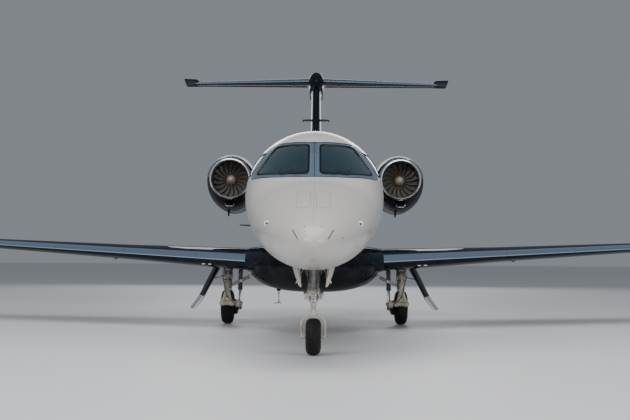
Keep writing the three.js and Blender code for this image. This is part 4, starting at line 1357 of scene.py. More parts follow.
@dataclass
class Windows:
    """Outlines of the panes, and the depths at which their glass lies."""

    front: tuple[Point, ...] = (
        (0.072, 2.034), (0.072, 2.424), (0.268, 2.426), (0.458, 2.419), (0.672, 2.054), (0.400, 2.030),
    )
    front_corner: float = 0.032
    side: tuple[Point, ...] = ((2.960, 2.075), (3.190, 2.365), (3.440, 2.340), (3.470, 2.085))
    side_corner: float = 0.06
    cabin_width: float = 0.32
    cabin_height: float = 0.43
    cabin_corner: float = 0.15
    cabin_middle: float = 2.04
    left: tuple[float, ...] = (4.96, 5.70, 6.44, 7.18, 7.92, 8.64)
    right: tuple[float, ...] = (4.34, 4.96, 5.70, 6.44, 7.18, 7.92, 8.64)
    glass: tuple[float, float] = (0.003, 0.021)
    front_cut: tuple[float, float] = (1.7, 3.3)
    side_cut: tuple[float, float] = (0.2, 1.2)
    cabin_cut: tuple[float, float] = (0.3, 1.2)

    def front_outline(self, grow: float = 0.0) -> list[Point]:
        """The left windshield pane, as x and z."""
        return offset(rounded(self.front, self.front_corner), grow)

    def side_outline(self, grow: float = 0.0) -> list[Point]:
        """The cockpit side pane, as y and z."""
        corners = [(y_at(s), z) for s, z in self.side]
        return offset(rounded(corners, self.side_corner), grow)

    def cabin_outline(self, station: float, grow: float = 0.0) -> list[Point]:
        """A cabin window, as y and z.

        Args:
            station: The window's middle.
            grow: How far the outline is grown.

        Returns:
            The closed outline.
        """
        w, h = self.cabin_width / 2, self.cabin_height / 2
        y, z = y_at(station), self.cabin_middle
        corners = [(y - w, z - h), (y + w, z - h), (y + w, z + h), (y - w, z + h)]
        return offset(rounded(corners, self.cabin_corner, 8), grow)

    def cabin(self, side: Side) -> tuple[float, ...]:
        """The stations of one side's cabin windows."""
        return self.left if side is Side.LEFT else self.right

    def front_tool(self, grow: float, side: Side) -> bpy.types.Object:
        """A cutter through one windshield pane.

        Args:
            grow: How far the pane's outline is grown.
            side: The pane's side.

        Returns:
            The cutter.
        """
        outline = [(x * side.value, z) for x, z in self.front_outline(grow)]
        front, rear = self.front_cut
        return Mesh().prism(outline, upright, y_at(front), y_at(rear)).build("cutter")

    def side_tool(self, grow: float, side: Side) -> bpy.types.Object:
        """A cutter through one cockpit side pane."""
        inner, outer = (x * side.value for x in self.side_cut)
        return Mesh().prism(self.side_outline(grow), sideways, inner, outer).build("cutter")

    def cabin_tool(self, station: float, grow: float, side: Side) -> bpy.types.Object:
        """A cutter through one cabin window."""
        inner, outer = (x * side.value for x in self.cabin_cut)
        return Mesh().prism(self.cabin_outline(station, grow), sideways, inner, outer).build("cutter")


WINDOWS = Windows()


@dataclass
class Doorway:
    """A door in the left wall that hangs on its lower edge."""

    hinge: str
    front: float
    rear: float
    low: float
    high: float
    gap: float = 0.007
    barrel: float = 0.016
    opening: float = 0.033
    depth: float = 0.7
    reach: float = 0.6

    def ends(self) -> tuple[Vector, Vector, Vector]:
        """The hinge line's front end, its direction and the direction out of the wall."""
        at, along = joint(self.hinge)
        return at, along, along.cross(Vector((0.0, 0.0, 1.0))).normalized()

    def length(self) -> float:
        """The length of the hinge line."""
        return (self.rear - self.front) / self.ends()[1].y

    def block(self, clearance: float, corner: float = 0.05) -> bpy.types.Object:
        """The door's outline drawn through the wall, grown by a clearance.

        Args:
            clearance: How far the outline is grown.
            corner: The radius of its corners.

        Returns:
            The block.
        """
        at, along, out = self.ends()
        c, length = clearance, self.length()
        tall = self.high - self.low
        corners = [(-c, -c), (length + c, -c), (length + c, tall + c), (-c, tall + c)]
        soft = rounded(corners, corner)
        outline = [corners[0], corners[1], *[p for p in soft if p[1] > tall / 2]]

        def place(a: float, b: float, deep: float) -> Vector:
            """A point of the outline at a depth."""
            return at + along * a + Vector((0.0, 0.0, b)) + out * deep

        return Mesh().prism(outline, place, -self.depth, self.reach).build("cutter")

    def rod(self, radius: float, extra: float) -> bpy.types.Object:
        """A round bar along the hinge line.

        Args:
            radius: The bar's radius.
            extra: How far it runs past the door at each end.

        Returns:
            The bar.
        """
        at, along, _ = self.ends()
        ends = [at - along * extra, at + along * (self.length() + extra)]
        return Mesh().tube(ends, radius, 24).build("hinge rod")

    def tools(self) -> list[bpy.types.Object]:
        """The cutters for the opening in the wall."""
        return [self.block(self.gap), self.rod(self.opening, self.gap)]


ENTRY = Doorway("entry_door_hinge", 3.66, 4.40, 1.175, 2.43, opening=0.045)
BAGGAGE = Doorway("baggage_door_hinge", 10.1, 10.9, 1.43, 2.06, opening=0.052)


@dataclass
class Fuselage:
    """The nose, cockpit, cabin and tail skins, with the glass, doors and their trim."""

    nose_joint: float = 1.6
    cockpit_joint: float = 3.56
    cabin_joint: float = 9.2
    hollow: float = 1.75
    wall: float = 0.095
    tail_wall: float = 0.06
    tail_hollow: tuple[float, float] = (9.26, 13.9)
    tail_end: float = 14.8
    seat: float = 0.0003
    frame_proud: float = 0.003
    frame_outline: tuple[Point, ...] = (
        (0.0, 2.466), (0.30, 2.470), (0.47, 2.462), (0.545, 2.425), (0.742, 2.08), (0.752, 2.0),
        (0.40, 1.984), (0.0, 1.980),
    )
    frame_corner: float = 0.05
    # columns: front and rear station of the windshield frame's cutter, and of its layer
    frame_reach: tuple[float, ...] = (1.7, 3.4, 3.5)
    seam_radius: float = 0.0036
    seal_radius: float = 0.0115
    fastener: float = 0.0075
    fastener_pitch: float = 0.029
    fastener_rows: tuple[float, ...] = (0.027, 0.047)
    treads: tuple[float, ...] = (0.2, 0.42, 0.64)

    def build(self) -> None:
        """Makes every piece."""
        self.nose()
        self.cockpit()
        self.cabin()
        self.tail()
        self.windshield()
        self.cabin_glass()

    def skin(
        self, made: bpy.types.Object, node: str, body: str, finish: Finish, wall: float
    ) -> bpy.types.Object:
        """Dresses a wall: paint outside, lining inside.

        Args:
            made: The wall.
            node: The CAD node that it stands for.
            body: The body it moves with.
            finish: The paint.
            wall: The wall's thickness.

        Returns:
            The wall.
        """
        made.data.materials.clear()
        made.data.materials.append(finish.material())
        made.data.materials.append(LINING.material())
        for face in made.data.polygons:
            deep = FORM.depth(face.center) > min(0.03, wall / 2)
            face.material_index = int(deep)
        made.name = node + "_skin"
        return dressed(made, finish, "white_paint", body, [node])

    def nose(self) -> None:
        """The solid nose."""
        made = FORM.body(0.0, self.nose_joint).build("nose_skin")
        dressed(made, NOSE_PAINT, "white_paint", instead_of=["fuselage_nose"])
        LOG.info("nose_skin")

    def hollowed(self, start: float, end: float) -> bpy.types.Object:
        """A length of the fuselage with the cabin's space taken out of it."""
        inside = FORM.body(self.hollow, self.cabin_joint - 0.04, self.wall).build("cutter")
        return carve(FORM.body(start, end).build("shell"), [inside])

    def cockpit(self) -> None:
        """The cockpit's wall with its window openings."""
        made = self.hollowed(self.nose_joint + self.seat, self.cockpit_joint)
        tools = []
        for side in Side:
            tools += [WINDOWS.front_tool(0.0, side), WINDOWS.side_tool(0.0, side)]
        self.skin(carve(made, tools), "fuselage_cockpit", "airframe", PEARL, self.wall)
        LOG.info("fuselage_cockpit_skin")

    def cabin(self) -> None:
        """The cabin's wall with its window openings, and the entry door cut from it."""
        whole = FORM.layer(self.cockpit_joint + self.seat, self.cabin_joint, 0.0, self.wall).build("shell")
        door = carve(self.copy(whole), [ENTRY.block(0.0)], keep=True)
        tools = ENTRY.tools()
        for side in Side:
            tools += [WINDOWS.cabin_tool(s, 0.0, side) for s in WINDOWS.cabin(side)]
        self.skin(carve(whole, tools), "fuselage_cabin", "airframe", PEARL, self.wall)
        treads = [self.tread(share) for share in self.treads]
        door = joined("entry_door", [door, ENTRY.rod(ENTRY.barrel, 0.0), *treads])
        self.skin(door, "entry_door", "entry_door", PEARL, self.wall)
        LOG.info("fuselage_cabin_skin and entry_door_skin")

    def tread(self, share: float) -> bpy.types.Object:
        """One of the entry door's steps.

        Args:
            share: Its height as a share of the door's.

        Returns:
            The step.
        """
        z = ENTRY.low + (ENTRY.high - ENTRY.low) * share
        x = FORM.flank(ENTRY.rear, z, 1).x - self.wall
        low = (x - 0.11, y_at(ENTRY.front) + 0.06, z - 0.018)
        high = (x + 0.02, y_at(ENTRY.rear) - 0.06, z + 0.018)
        return Mesh().box(low, high).build("tread", bevel=0.006)

    def tail(self) -> None:
        """The tail cone and the baggage door cut from it."""
        front, rear = self.tail_hollow
        inside = FORM.body(front, rear, self.tail_wall).build("cutter")
        whole = carve(FORM.body(self.cabin_joint + self.seat, self.tail_end).build("shell"), [inside])
        door = carve(self.copy(whole), [BAGGAGE.block(0.0)], keep=True)
        self.skin(carve(whole, BAGGAGE.tools()), "fuselage_tail", "airframe", PEARL, self.tail_wall)
        door = joined("baggage_door", [door, BAGGAGE.rod(BAGGAGE.barrel, 0.0)])
        self.skin(door, "baggage_door", "baggage_door", PEARL, self.tail_wall)
        LOG.info("fuselage_tail_skin and baggage_door_skin")

    @staticmethod
    def copy(made: bpy.types.Object) -> bpy.types.Object:
        """A second object with its own mesh.

        Args:
            made: The first object.

        Returns:
            The second object.
        """
        twin = bpy.data.objects.new(made.name, made.data.copy())
        bpy.context.scene.collection.objects.link(twin)
        return twin

    def pane(self, tool: bpy.types.Object, name: str, node: str, finish: Finish) -> bpy.types.Object:
        """The glass that lies in one opening of the cockpit.

        Args:
            tool: The cutter of the opening.
            name: The pane's name.
            node: The CAD node it stands for.
            finish: The finish of its glass.

        Returns:
            The pane.
        """
        outer, inner = WINDOWS.glass
        made = carve(FORM.layer(1.7, self.cockpit_joint, outer, inner).build(name), [tool], keep=True)
        return dressed(made, finish, "glass", instead_of=[node])

    def windshield(self) -> None:
        """The cockpit's panes, their seals, the metal frame and its fasteners."""
        half = list(self.frame_outline)
        outline = rounded([*half, *((-x, z) for x, z in reversed(half[1:-1]))], self.frame_corner)
        front, band_rear, layer_rear = self.frame_reach
        band = Mesh().prism(outline, upright, y_at(front), y_at(band_rear)).build("cutter")
        layer = FORM.layer(front, layer_rear, -self.frame_proud, 0.010).build("windshield_frame")
        made = carve(layer, [band], keep=True)
        carve(made, [WINDOWS.front_tool(0.010, side) for side in Side])
        # The frame's blue tint is a painted sky reflection.
        dressed(made, FRAME_METAL_SKY_TINT, "polished_metal")
        edge = [FORM.front(x, z, 0.001) for x, z in spaced(outline, 0.03)]
        post = [FORM.front(0.0, z, self.frame_proud) for z in spread(1.99, 2.47, 24)]
        lines = Mesh().tube([*edge, edge[0]], self.seam_radius, 6).tube(post, self.seam_radius, 6)
        dressed(lines.build("frame_seams"), SEAL, "dark_paint")
        for side in Side:
            self.pane(
                WINDOWS.front_tool(-0.004, side), f"windshield_pane_{side.tag}", f"windshield_{side.tag}",
                SKY_TINTED_GLASS,
            )
            self.pane(
                WINDOWS.side_tool(-0.004, side), f"side_pane_{side.tag}", f"cockpit_window_{side.tag}", SKY_TINTED_GLASS
            )
            self.seal(side)
        self.fasteners()
        LOG.info("windshield")

    def seal(self, side: Side) -> None:
        """Dark rubber round one side's cockpit panes.

        Args:
            side: The side.
        """
        lines = [
            [FORM.front(x * side.value, z, 0.002) for x, z in spaced(WINDOWS.front_outline(0.006), 0.02)],
            [
                FORM.flank(y - NOSE_Y, z, side.value, 0.001)
                for y, z in spaced(WINDOWS.side_outline(0.003), 0.02)
            ],
        ]
        made = joined(f"pane_seal_{side.tag}", [bead(line, self.seal_radius, "seal") for line in lines])
        dressed(made, SEAL, "tyre")

    def fasteners(self) -> None:
        """Rows of fastener heads round the panes and down the centre post."""
        mesh = Mesh()
        for side in Side:
            places = []
            for row in self.fastener_rows:
                places += spaced(WINDOWS.front_outline(row), self.fastener_pitch)
            places += spaced([(0.016, 2.0), (0.016, 2.45)], self.fastener_pitch, closed=False)
            for x, z in places:
                self.stud(mesh, x * side.value, z)
        dressed(mesh.build("frame_fasteners"), FASTENER, "polished_metal")

    def stud(self, mesh: Mesh, x: float, z: float) -> None:
        """Adds one fastener head on the frame.

        Args:
            mesh: The mesh it is added to.
            x: Its x.
            z: Its height.
        """
        at = FORM.front(x, z, self.frame_proud)
        out = FORM.normal(at)
        path = [at - out * 0.002, at + out * 0.0008, at + out * 0.0014]
        mesh.tube(path, [self.fastener, self.fastener, 0.003], 8)

    def cabin_glass(self) -> None:
        """The cabin's panes with a polished rim round each."""
        for side in Side:
            panes, rims = [], []
            for s in WINDOWS.cabin(side):
                layer = FORM.layer(s - 0.3, s + 0.3, 0.006, 0.03).build("pane")
                panes.append(carve(layer, [WINDOWS.cabin_tool(s, -0.004, side)], keep=True))
                lining = FORM.layer(s - 0.3, s + 0.3, self.wall, self.wall + 0.012).build("liner")
                rims.append(carve(lining, [WINDOWS.cabin_tool(s, 0.04, side)], keep=True))
                carve(rims[-1], [WINDOWS.cabin_tool(s, -0.01, side)])
            made = joined(f"cabin_panes_{side.tag}", panes)
            dressed(made, CABIN_GLASS, "glass", instead_of=[f"cabin_glazing_{side.tag}"])
            dressed(joined(f"cabin_reveals_{side.tag}", rims), LINING, "carpet")
            edges = []
            for s in WINDOWS.cabin(side):
                outline = WINDOWS.cabin_outline(s, 0.004)
                line = [FORM.flank(y - NOSE_Y, z, side.value, 0.0) for y, z in outline]
                edges.append(bead(line, 0.007, "edge"))
            dressed(joined(f"cabin_window_rims_{side.tag}", edges), CHROME, "polished_metal")
        LOG.info("cabin windows")


def bead(line: Sequence[Vector], radius: float, name: str, sides: int = 8) -> bpy.types.Object:
    """A low flat bead along a closed line.

    Args:
        line: The closed line.
        radius: Half the bead's width.
        name: The object's name.
        sides: The number of sides of its section.

    Returns:
        The bead.
    """
    count, flatness = len(line), 0.3
    middle_point = sum(line, Vector((0.0, 0.0, 0.0))) / count
    rings = []
    for i, at in enumerate(line):
        along = (line[(i + 1) % count] - line[i - 1]).normalized()
        out = at - middle_point
        out = (out - along * out.dot(along)).normalized()
        up = along.cross(out)
        rings.append(
            [at + (out * math.cos(t) + up * (flatness * math.sin(t))) * radius for t in around(sides)]
        )
    return Mesh().torus(rings).build(name)


def spaced(outline: Sequence[Point], pitch: float, closed: bool = True) -> list[Point]:
    """Points at an even pitch along an outline.

    Args:
        outline: The outline.
        pitch: The distance between points.
        closed: Whether the outline ends where it starts.

    Returns:
        The points.
    """
    points = [*outline, outline[0]] if closed else list(outline)
    lengths = [math.dist(a, b) for a, b in zip(points, points[1:])]
    total = sum(lengths)
    count = max(1, round(total / pitch))
    made = []
    for i in range(count if closed else count + 1):
        left = min(total * i / count, total - 1e-9)
        k = 0
        while k < len(lengths) - 1 and left > lengths[k]:
            left -= lengths[k]
            k += 1
        t = left / max(lengths[k], 1e-9)
        a, b = points[k], points[k + 1]
        made.append((a[0] + (b[0] - a[0]) * t, a[1] + (b[1] - a[1]) * t))
    return made


# Wings and tail


# columns: share of the chord, share of the half thickness
SECTION = (
    (0.0, 0.0), (0.01, 0.25), (0.05, 0.55), (0.15, 0.87), (0.32, 1.0), (0.55, 0.75), (0.8, 0.31), (1.0, 0.02)
)
THICKNESS = Track(SECTION, 1, root=True)


@dataclass
class Foil:
    """A body lofted through wing sections, spread along X, or along Z where it stands upright."""

    # columns: span, leading edge station, height, chord, thickness
    rows: tuple[tuple[float, ...], ...]
    camber: float = 0.0
    trim: float = 0.0
    standing: bool = False
    smooth: bool = False
    points: int = 26

    def row(self, span: float) -> list[float]:
        """The section's numbers at a span.

        Args:
            span: The distance along the span.

        Returns:
            A row such as those of the table.
        """
        if self.smooth:
            return [span, *(Track(self.rows, column)(span) for column in range(1, 5))]
        last = len(self.rows) - 2
        i = next((k for k in range(last) if self.rows[k + 1][0] >= span), last)
        a, b = self.rows[i], self.rows[i + 1]
        t = (span - a[0]) / (b[0] - a[0])
        return [p + (q - p) * t for p, q in zip(a, b)]

    def place(self, row: Sequence[float], back: float, up: float) -> Vector:
        """A point of a section, from how far behind its leading edge and how high above its chord it lies.

        Args:
            row: The section's numbers.
            back: The distance behind the leading edge.
            up: The height above the chord.

        Returns:
            The point.
        """
        span, lead, height = row[:3]
        if self.standing:
            return Vector((up, y_at(lead + back), span))
        return Vector((span, y_at(lead + back), height + back * self.trim + up))

    def ring(self, row: Sequence[float]) -> Ring:
        """A section's points, from the trailing edge over the nose and back.

        Args:
            row: The section's numbers.

        Returns:
            The section.
        """
        chord, half = row[3], row[4] / 2
        shares = [(1 - math.cos(math.pi * i / self.points)) / 2 for i in range(self.points + 1)]
        upper = [
            self.place(row, s * chord, THICKNESS(s) * half * (1 + self.camber)) for s in reversed(shares)
        ]
        lower = [self.place(row, s * chord, -THICKNESS(s) * half * (1 - self.camber)) for s in shares[1:]]
        return [*upper, *lower]

    def body(self, spans: Iterable[float]) -> Mesh:
        """The body through sections at several spans."""
        return Mesh().loft([self.ring(self.row(span)) for span in spans])

    def half(self, span: float, share: float) -> float:
        """Half the thickness at a share of the chord."""
        return THICKNESS(share) * self.row(span)[4] / 2

    def edge(self, span: float) -> Vector:
        """The trailing edge at a span."""
        row = self.row(span)
        return self.place(row, row[3], 0.0)


def spread(start: float, end: float, count: int) -> list[float]:
    """Evenly spaced values from start to end."""
    return [start + (end - start) * i / count for i in range(count + 1)]


@dataclass
class Hinge:
    """A control surface's hinge line, with the round nose that turns in the fixed part."""

    name: str
    length: float
    radii: tuple[float, float]
    reach: float = 1.5
    tall: float = 0.35
    gap: float = 0.007

    def axes(self) -> tuple[Vector, Vector, Vector, Vector]:
        """The line's first end, and its along, back and up directions."""
        at, along = joint(self.name)
        if along.x + along.z < 0:
            along = -along
        back = (Vector((0.0, 1.0, 0.0)) - along * along.y).normalized()
        return at, along, back, along.cross(back)

    def block(self, low: float, high: float, front: float = 0.0) -> bpy.types.Object:
        """A block behind the hinge line, between two distances along it.

        Args:
            low: The first distance.
            high: The second distance.
            front: How far behind the line it starts.

        Returns:
            The block.
        """
        at, along, back, up = self.axes()
        corners = [(low, front), (high, front), (high, self.reach), (low, self.reach)]

        def place(a: float, b: float, deep: float) -> Vector:
            """A point of the block."""
            return at + along * a + back * b + up * deep

        return Mesh().prism(corners, place, -self.tall, self.tall).build("cutter")

    def nose(self, low: float, high: float, grow: float) -> bpy.types.Object:
        """The round nose between two distances along the line.

        Args:
            low: The first distance.
            high: The second distance.
            grow: How far its radius is grown.

        Returns:
            The nose.
        """
        at, along, _, _ = self.axes()
        slope = (self.radii[1] - self.radii[0]) / self.length
        radii = [self.radii[0] + slope * d + grow for d in (low, high)]
        return Mesh().tube([at + along * low, at + along * high], radii, 40).build("nose")

    def opening(self) -> list[bpy.types.Object]:
        """The cutters for the fixed part."""
        return [self.block(0.0, self.length), self.nose(0.0, self.length, self.gap)]

    def surface(self, whole: bpy.types.Object, name: str) -> bpy.types.Object:
        """The surface cut from a whole wing or fin.

        Args:
            whole: The whole wing or fin.
            name: The surface's name.

        Returns:
            The surface.
        """
        low, high = self.gap, self.length - self.gap
        made = carve(Fuselage.copy(whole), [self.block(low, high)], keep=True)
        return joined(name, [made, self.nose(low, high, 0.0)])


def dress_pair(
    made: bpy.types.Object, name: str, finish: Finish, slot: str, body: str = "airframe",
    node: str | None = None,
) -> None:
    """Dresses a piece of the left side, and a mirrored copy of it for the right.

    Args:
        made: The left piece.
        name: The pieces' name, without its side.
        finish: Their finish.
        slot: The record's material slot.
        body: The body they move with; a body of a surface or wheel gets the side's name.
        node: The CAD node they stand for, without its side.
    """
    twin = mirrored(made, f"{name}_right")
    made.name = f"{name}_left"
    for side, piece in ((Side.LEFT, made), (Side.RIGHT, twin)):
        rides = body if body in (
            "airframe", "nose_steering", "nose_wheel", "rudder"
        ) else f"{body}_{side.tag}"
        dressed(piece, finish, slot, rides, [f"{node}_{side.tag}"] if node else [])


@dataclass
class Wings:
    """Both wings with their winglets, flaps, ailerons, root gloves, flap tracks and lights."""

    form: Foil = field(
        default_factory=lambda: Foil(
            (
                (0.9, 6.3, 1.03, 2.83, 0.36224), (3.0, 7.37, 1.15, 1.99, 0.24278),
                (7.48, 9.655, 1.406, 0.9, 0.099),
            ),
            camber=0.12,
        )
    )
    root: float = 0.82
    tip: float = 7.48
    flap: tuple[float, float, float] = (1.29, 4.15, 0.74)
    aileron: tuple[float, float, float] = (4.23, 6.90, 0.76)
    # columns: radius, distance from the middle of the lamp
    tip_lamp: Steps = ((0.0, -0.018), (0.016, -0.012), (0.02, 0.0), (0.016, 0.03), (0.0, 0.05))
    landing_light: Steps = ((0.0, -0.012), (0.020, -0.009), (0.028, 0.0), (0.0, 0.004))
    # columns: x, drop below the wing's chord
    light_places: Steps = ((1.60, 0.086), (1.70, 0.082))
    tracks: tuple[float, ...] = (1.95, 3.35)
    wicks: tuple[float, ...] = (5.2, 5.9, 6.6)
    # columns: span, leading edge station, height, chord, thickness, lean
    winglet: tuple[tuple[float, ...], ...] = (
        (7.4803, 9.6552, 1.406, 0.8996, 0.0989, 0.0),
        (7.66, 9.775, 1.432, 0.80, 0.074, 0.45),
        (7.78, 9.89, 1.52, 0.70, 0.060, 1.1),
        (7.90, 10.23, 1.93, 0.43, 0.034, 1.28),
        (7.94, 10.39, 2.12, 0.30, 0.022, 1.3),
    )
    # columns: span, leading edge station, height, chord, thickness
    glove: tuple[tuple[float, ...], ...] = (
        (0.62, 5.70, 1.03, 3.60, 0.46),
        (0.84, 5.98, 1.03, 3.25, 0.42),
        (0.98, 6.22, 1.035, 2.95, 0.385),
        (1.04, 6.34, 1.038, 2.80, 0.362),
    )

    def build(self) -> None:
        """Makes every piece."""
        self.wing()
        self.tips()
        self.details()
        LOG.info("wings")

    def hinge(self, kind: str, sizes: tuple[float, float, float]) -> Hinge:
        """The hinge of a surface from its first span, last span and share of the chord.

        Args:
            kind: The kind of surface.
            sizes: The two spans and the share.

        Returns:
            The hinge.
        """
        start, end, share = sizes
        _, along = joint(f"{kind}_hinge_left")
        radii = (self.form.half(start, share), self.form.half(end, share))
        return Hinge(f"{kind}_hinge_left", (end - start) / abs(along.x), radii)

    def wing(self) -> None:
        """The wing and its two surfaces."""
        whole = self.form.body([self.root, 1.6, 2.3, 3.0, *spread(3.6, self.tip, 6)]).build("wing")
        tools = []
        for kind, sizes in (("flap", self.flap), ("aileron", self.aileron)):
            hinge = self.hinge(kind, sizes)
            made = hinge.surface(whole, kind)
            tools += hinge.opening()
            dress_pair(made, f"{kind}_skin", WING_SKIN, "dark_paint", kind, kind)
        dress_pair(carve(whole, tools), "wing_skin", WING_SKIN, "dark_paint", node="wing")
        glove = Foil(self.glove, camber=0.1, smooth=True).body(spread(0.62, 1.04, 8)).build("glove")
        dress_pair(glove, "wing_glove", MIDNIGHT, "dark_paint")

    def winglet_ring(self, place: float) -> Ring:
        """A winglet section, at a place counted in rows of its table.

        Args:
            place: The place, where 1.5 is half way between two rows.

        Returns:
            The section.
        """
        rows = [(float(i), *row) for i, row in enumerate(self.winglet)]
        span, lead, height, chord, thick, lean = (Track(rows, column)(place) for column in range(1, 7))
        flat = Foil(((0.0, lead, 0.0, chord, thick), (1.0, lead, 0.0, chord, thick)), camber=0.12)
        turned = Matrix.Rotation(-lean, 4, "Y")
        return [Vector((span, 0.0, height)) + turned @ p for p in flat.ring(flat.row(0.0))]

    def tips(self) -> None:
        """The winglets and the lamp in each one's root."""
        made = Mesh().loft([self.winglet_ring(i / 5) for i in range(21)]).build("winglet")
        dress_pair(made, "winglet_skin", MIDNIGHT, "dark_paint", node="winglet")
        for side, finish in ((Side.LEFT, RED_LAMP), (Side.RIGHT, GREEN_LAMP)):
            row = self.form.row(7.40)
            centre = Vector((7.42 * side.value, y_at(row[1]) + 0.012, row[2] + 0.006))
            lamp = Mesh().turned(self.tip_lamp, centre, Axis.X, 20, close=False)
            dressed(lamp.build(f"tip_lamp_{side.tag}"), finish, "glass")

    def details(self) -> None:
        """Landing lights, flap track fairings and static wicks."""
        lights, wicks = Mesh(), Mesh()
        row = self.form.row(1.64)
        for x, drop in self.light_places:
            at = Vector((x, y_at(self.form.row(x)[1]) + 0.052, row[2] - drop))
            lights.turned(self.landing_light, at, Axis.Z, 20, close=False)
        dress_pair(lights.build("landing_lights"), "landing_lights", WHITE_LAMP, "glass")
        tracks = joined("tracks", [self.track(span) for span in self.tracks])
        dress_pair(tracks, "flap_tracks", MIDNIGHT, "dark_paint")
        for span in self.wicks:
            edge = self.form.edge(span) - Vector((0.0, 0.01, 0.0))
            path = [edge, edge + Vector((0.0, 0.07, 0.0)), edge + Vector((0.0, 0.13, -0.004))]
            wicks.tube(path, [0.004, 0.003, 0.0012], 6)
        dress_pair(wicks.build("wicks"), "aileron_wicks", HOSE, "tyre", "aileron")

    def track(self, span: float) -> bpy.types.Object:
        """A slim fairing under the wing over one flap track, ending ahead of the hinge.

        Args:
            span: The distance along the span.

        Returns:
            The fairing.
        """
        row = self.form.row(span)
        hinge = y_at(row[1] + row[3] * self.flap[2])
        rings = []
        for t in spread(0.0, 1.0, 12):
            swell = math.sqrt(max(1e-4, math.sin(math.pi * min(0.98, 0.02 + t * 0.9))))
            y = hinge - 0.62 + 0.53 * t
            back = (y - y_at(row[1])) / row[3]
            z = row[2] - THICKNESS(back) * row[4] / 2 * (1 - self.form.camber) + 0.012
            rings.append(
                [
                    Vector((span + 0.032 * swell * math.cos(a), y, z + 0.062 * swell * math.sin(a)))
                    for a in around(20)
                ]
            )
        return Mesh().loft(rings).build("track")


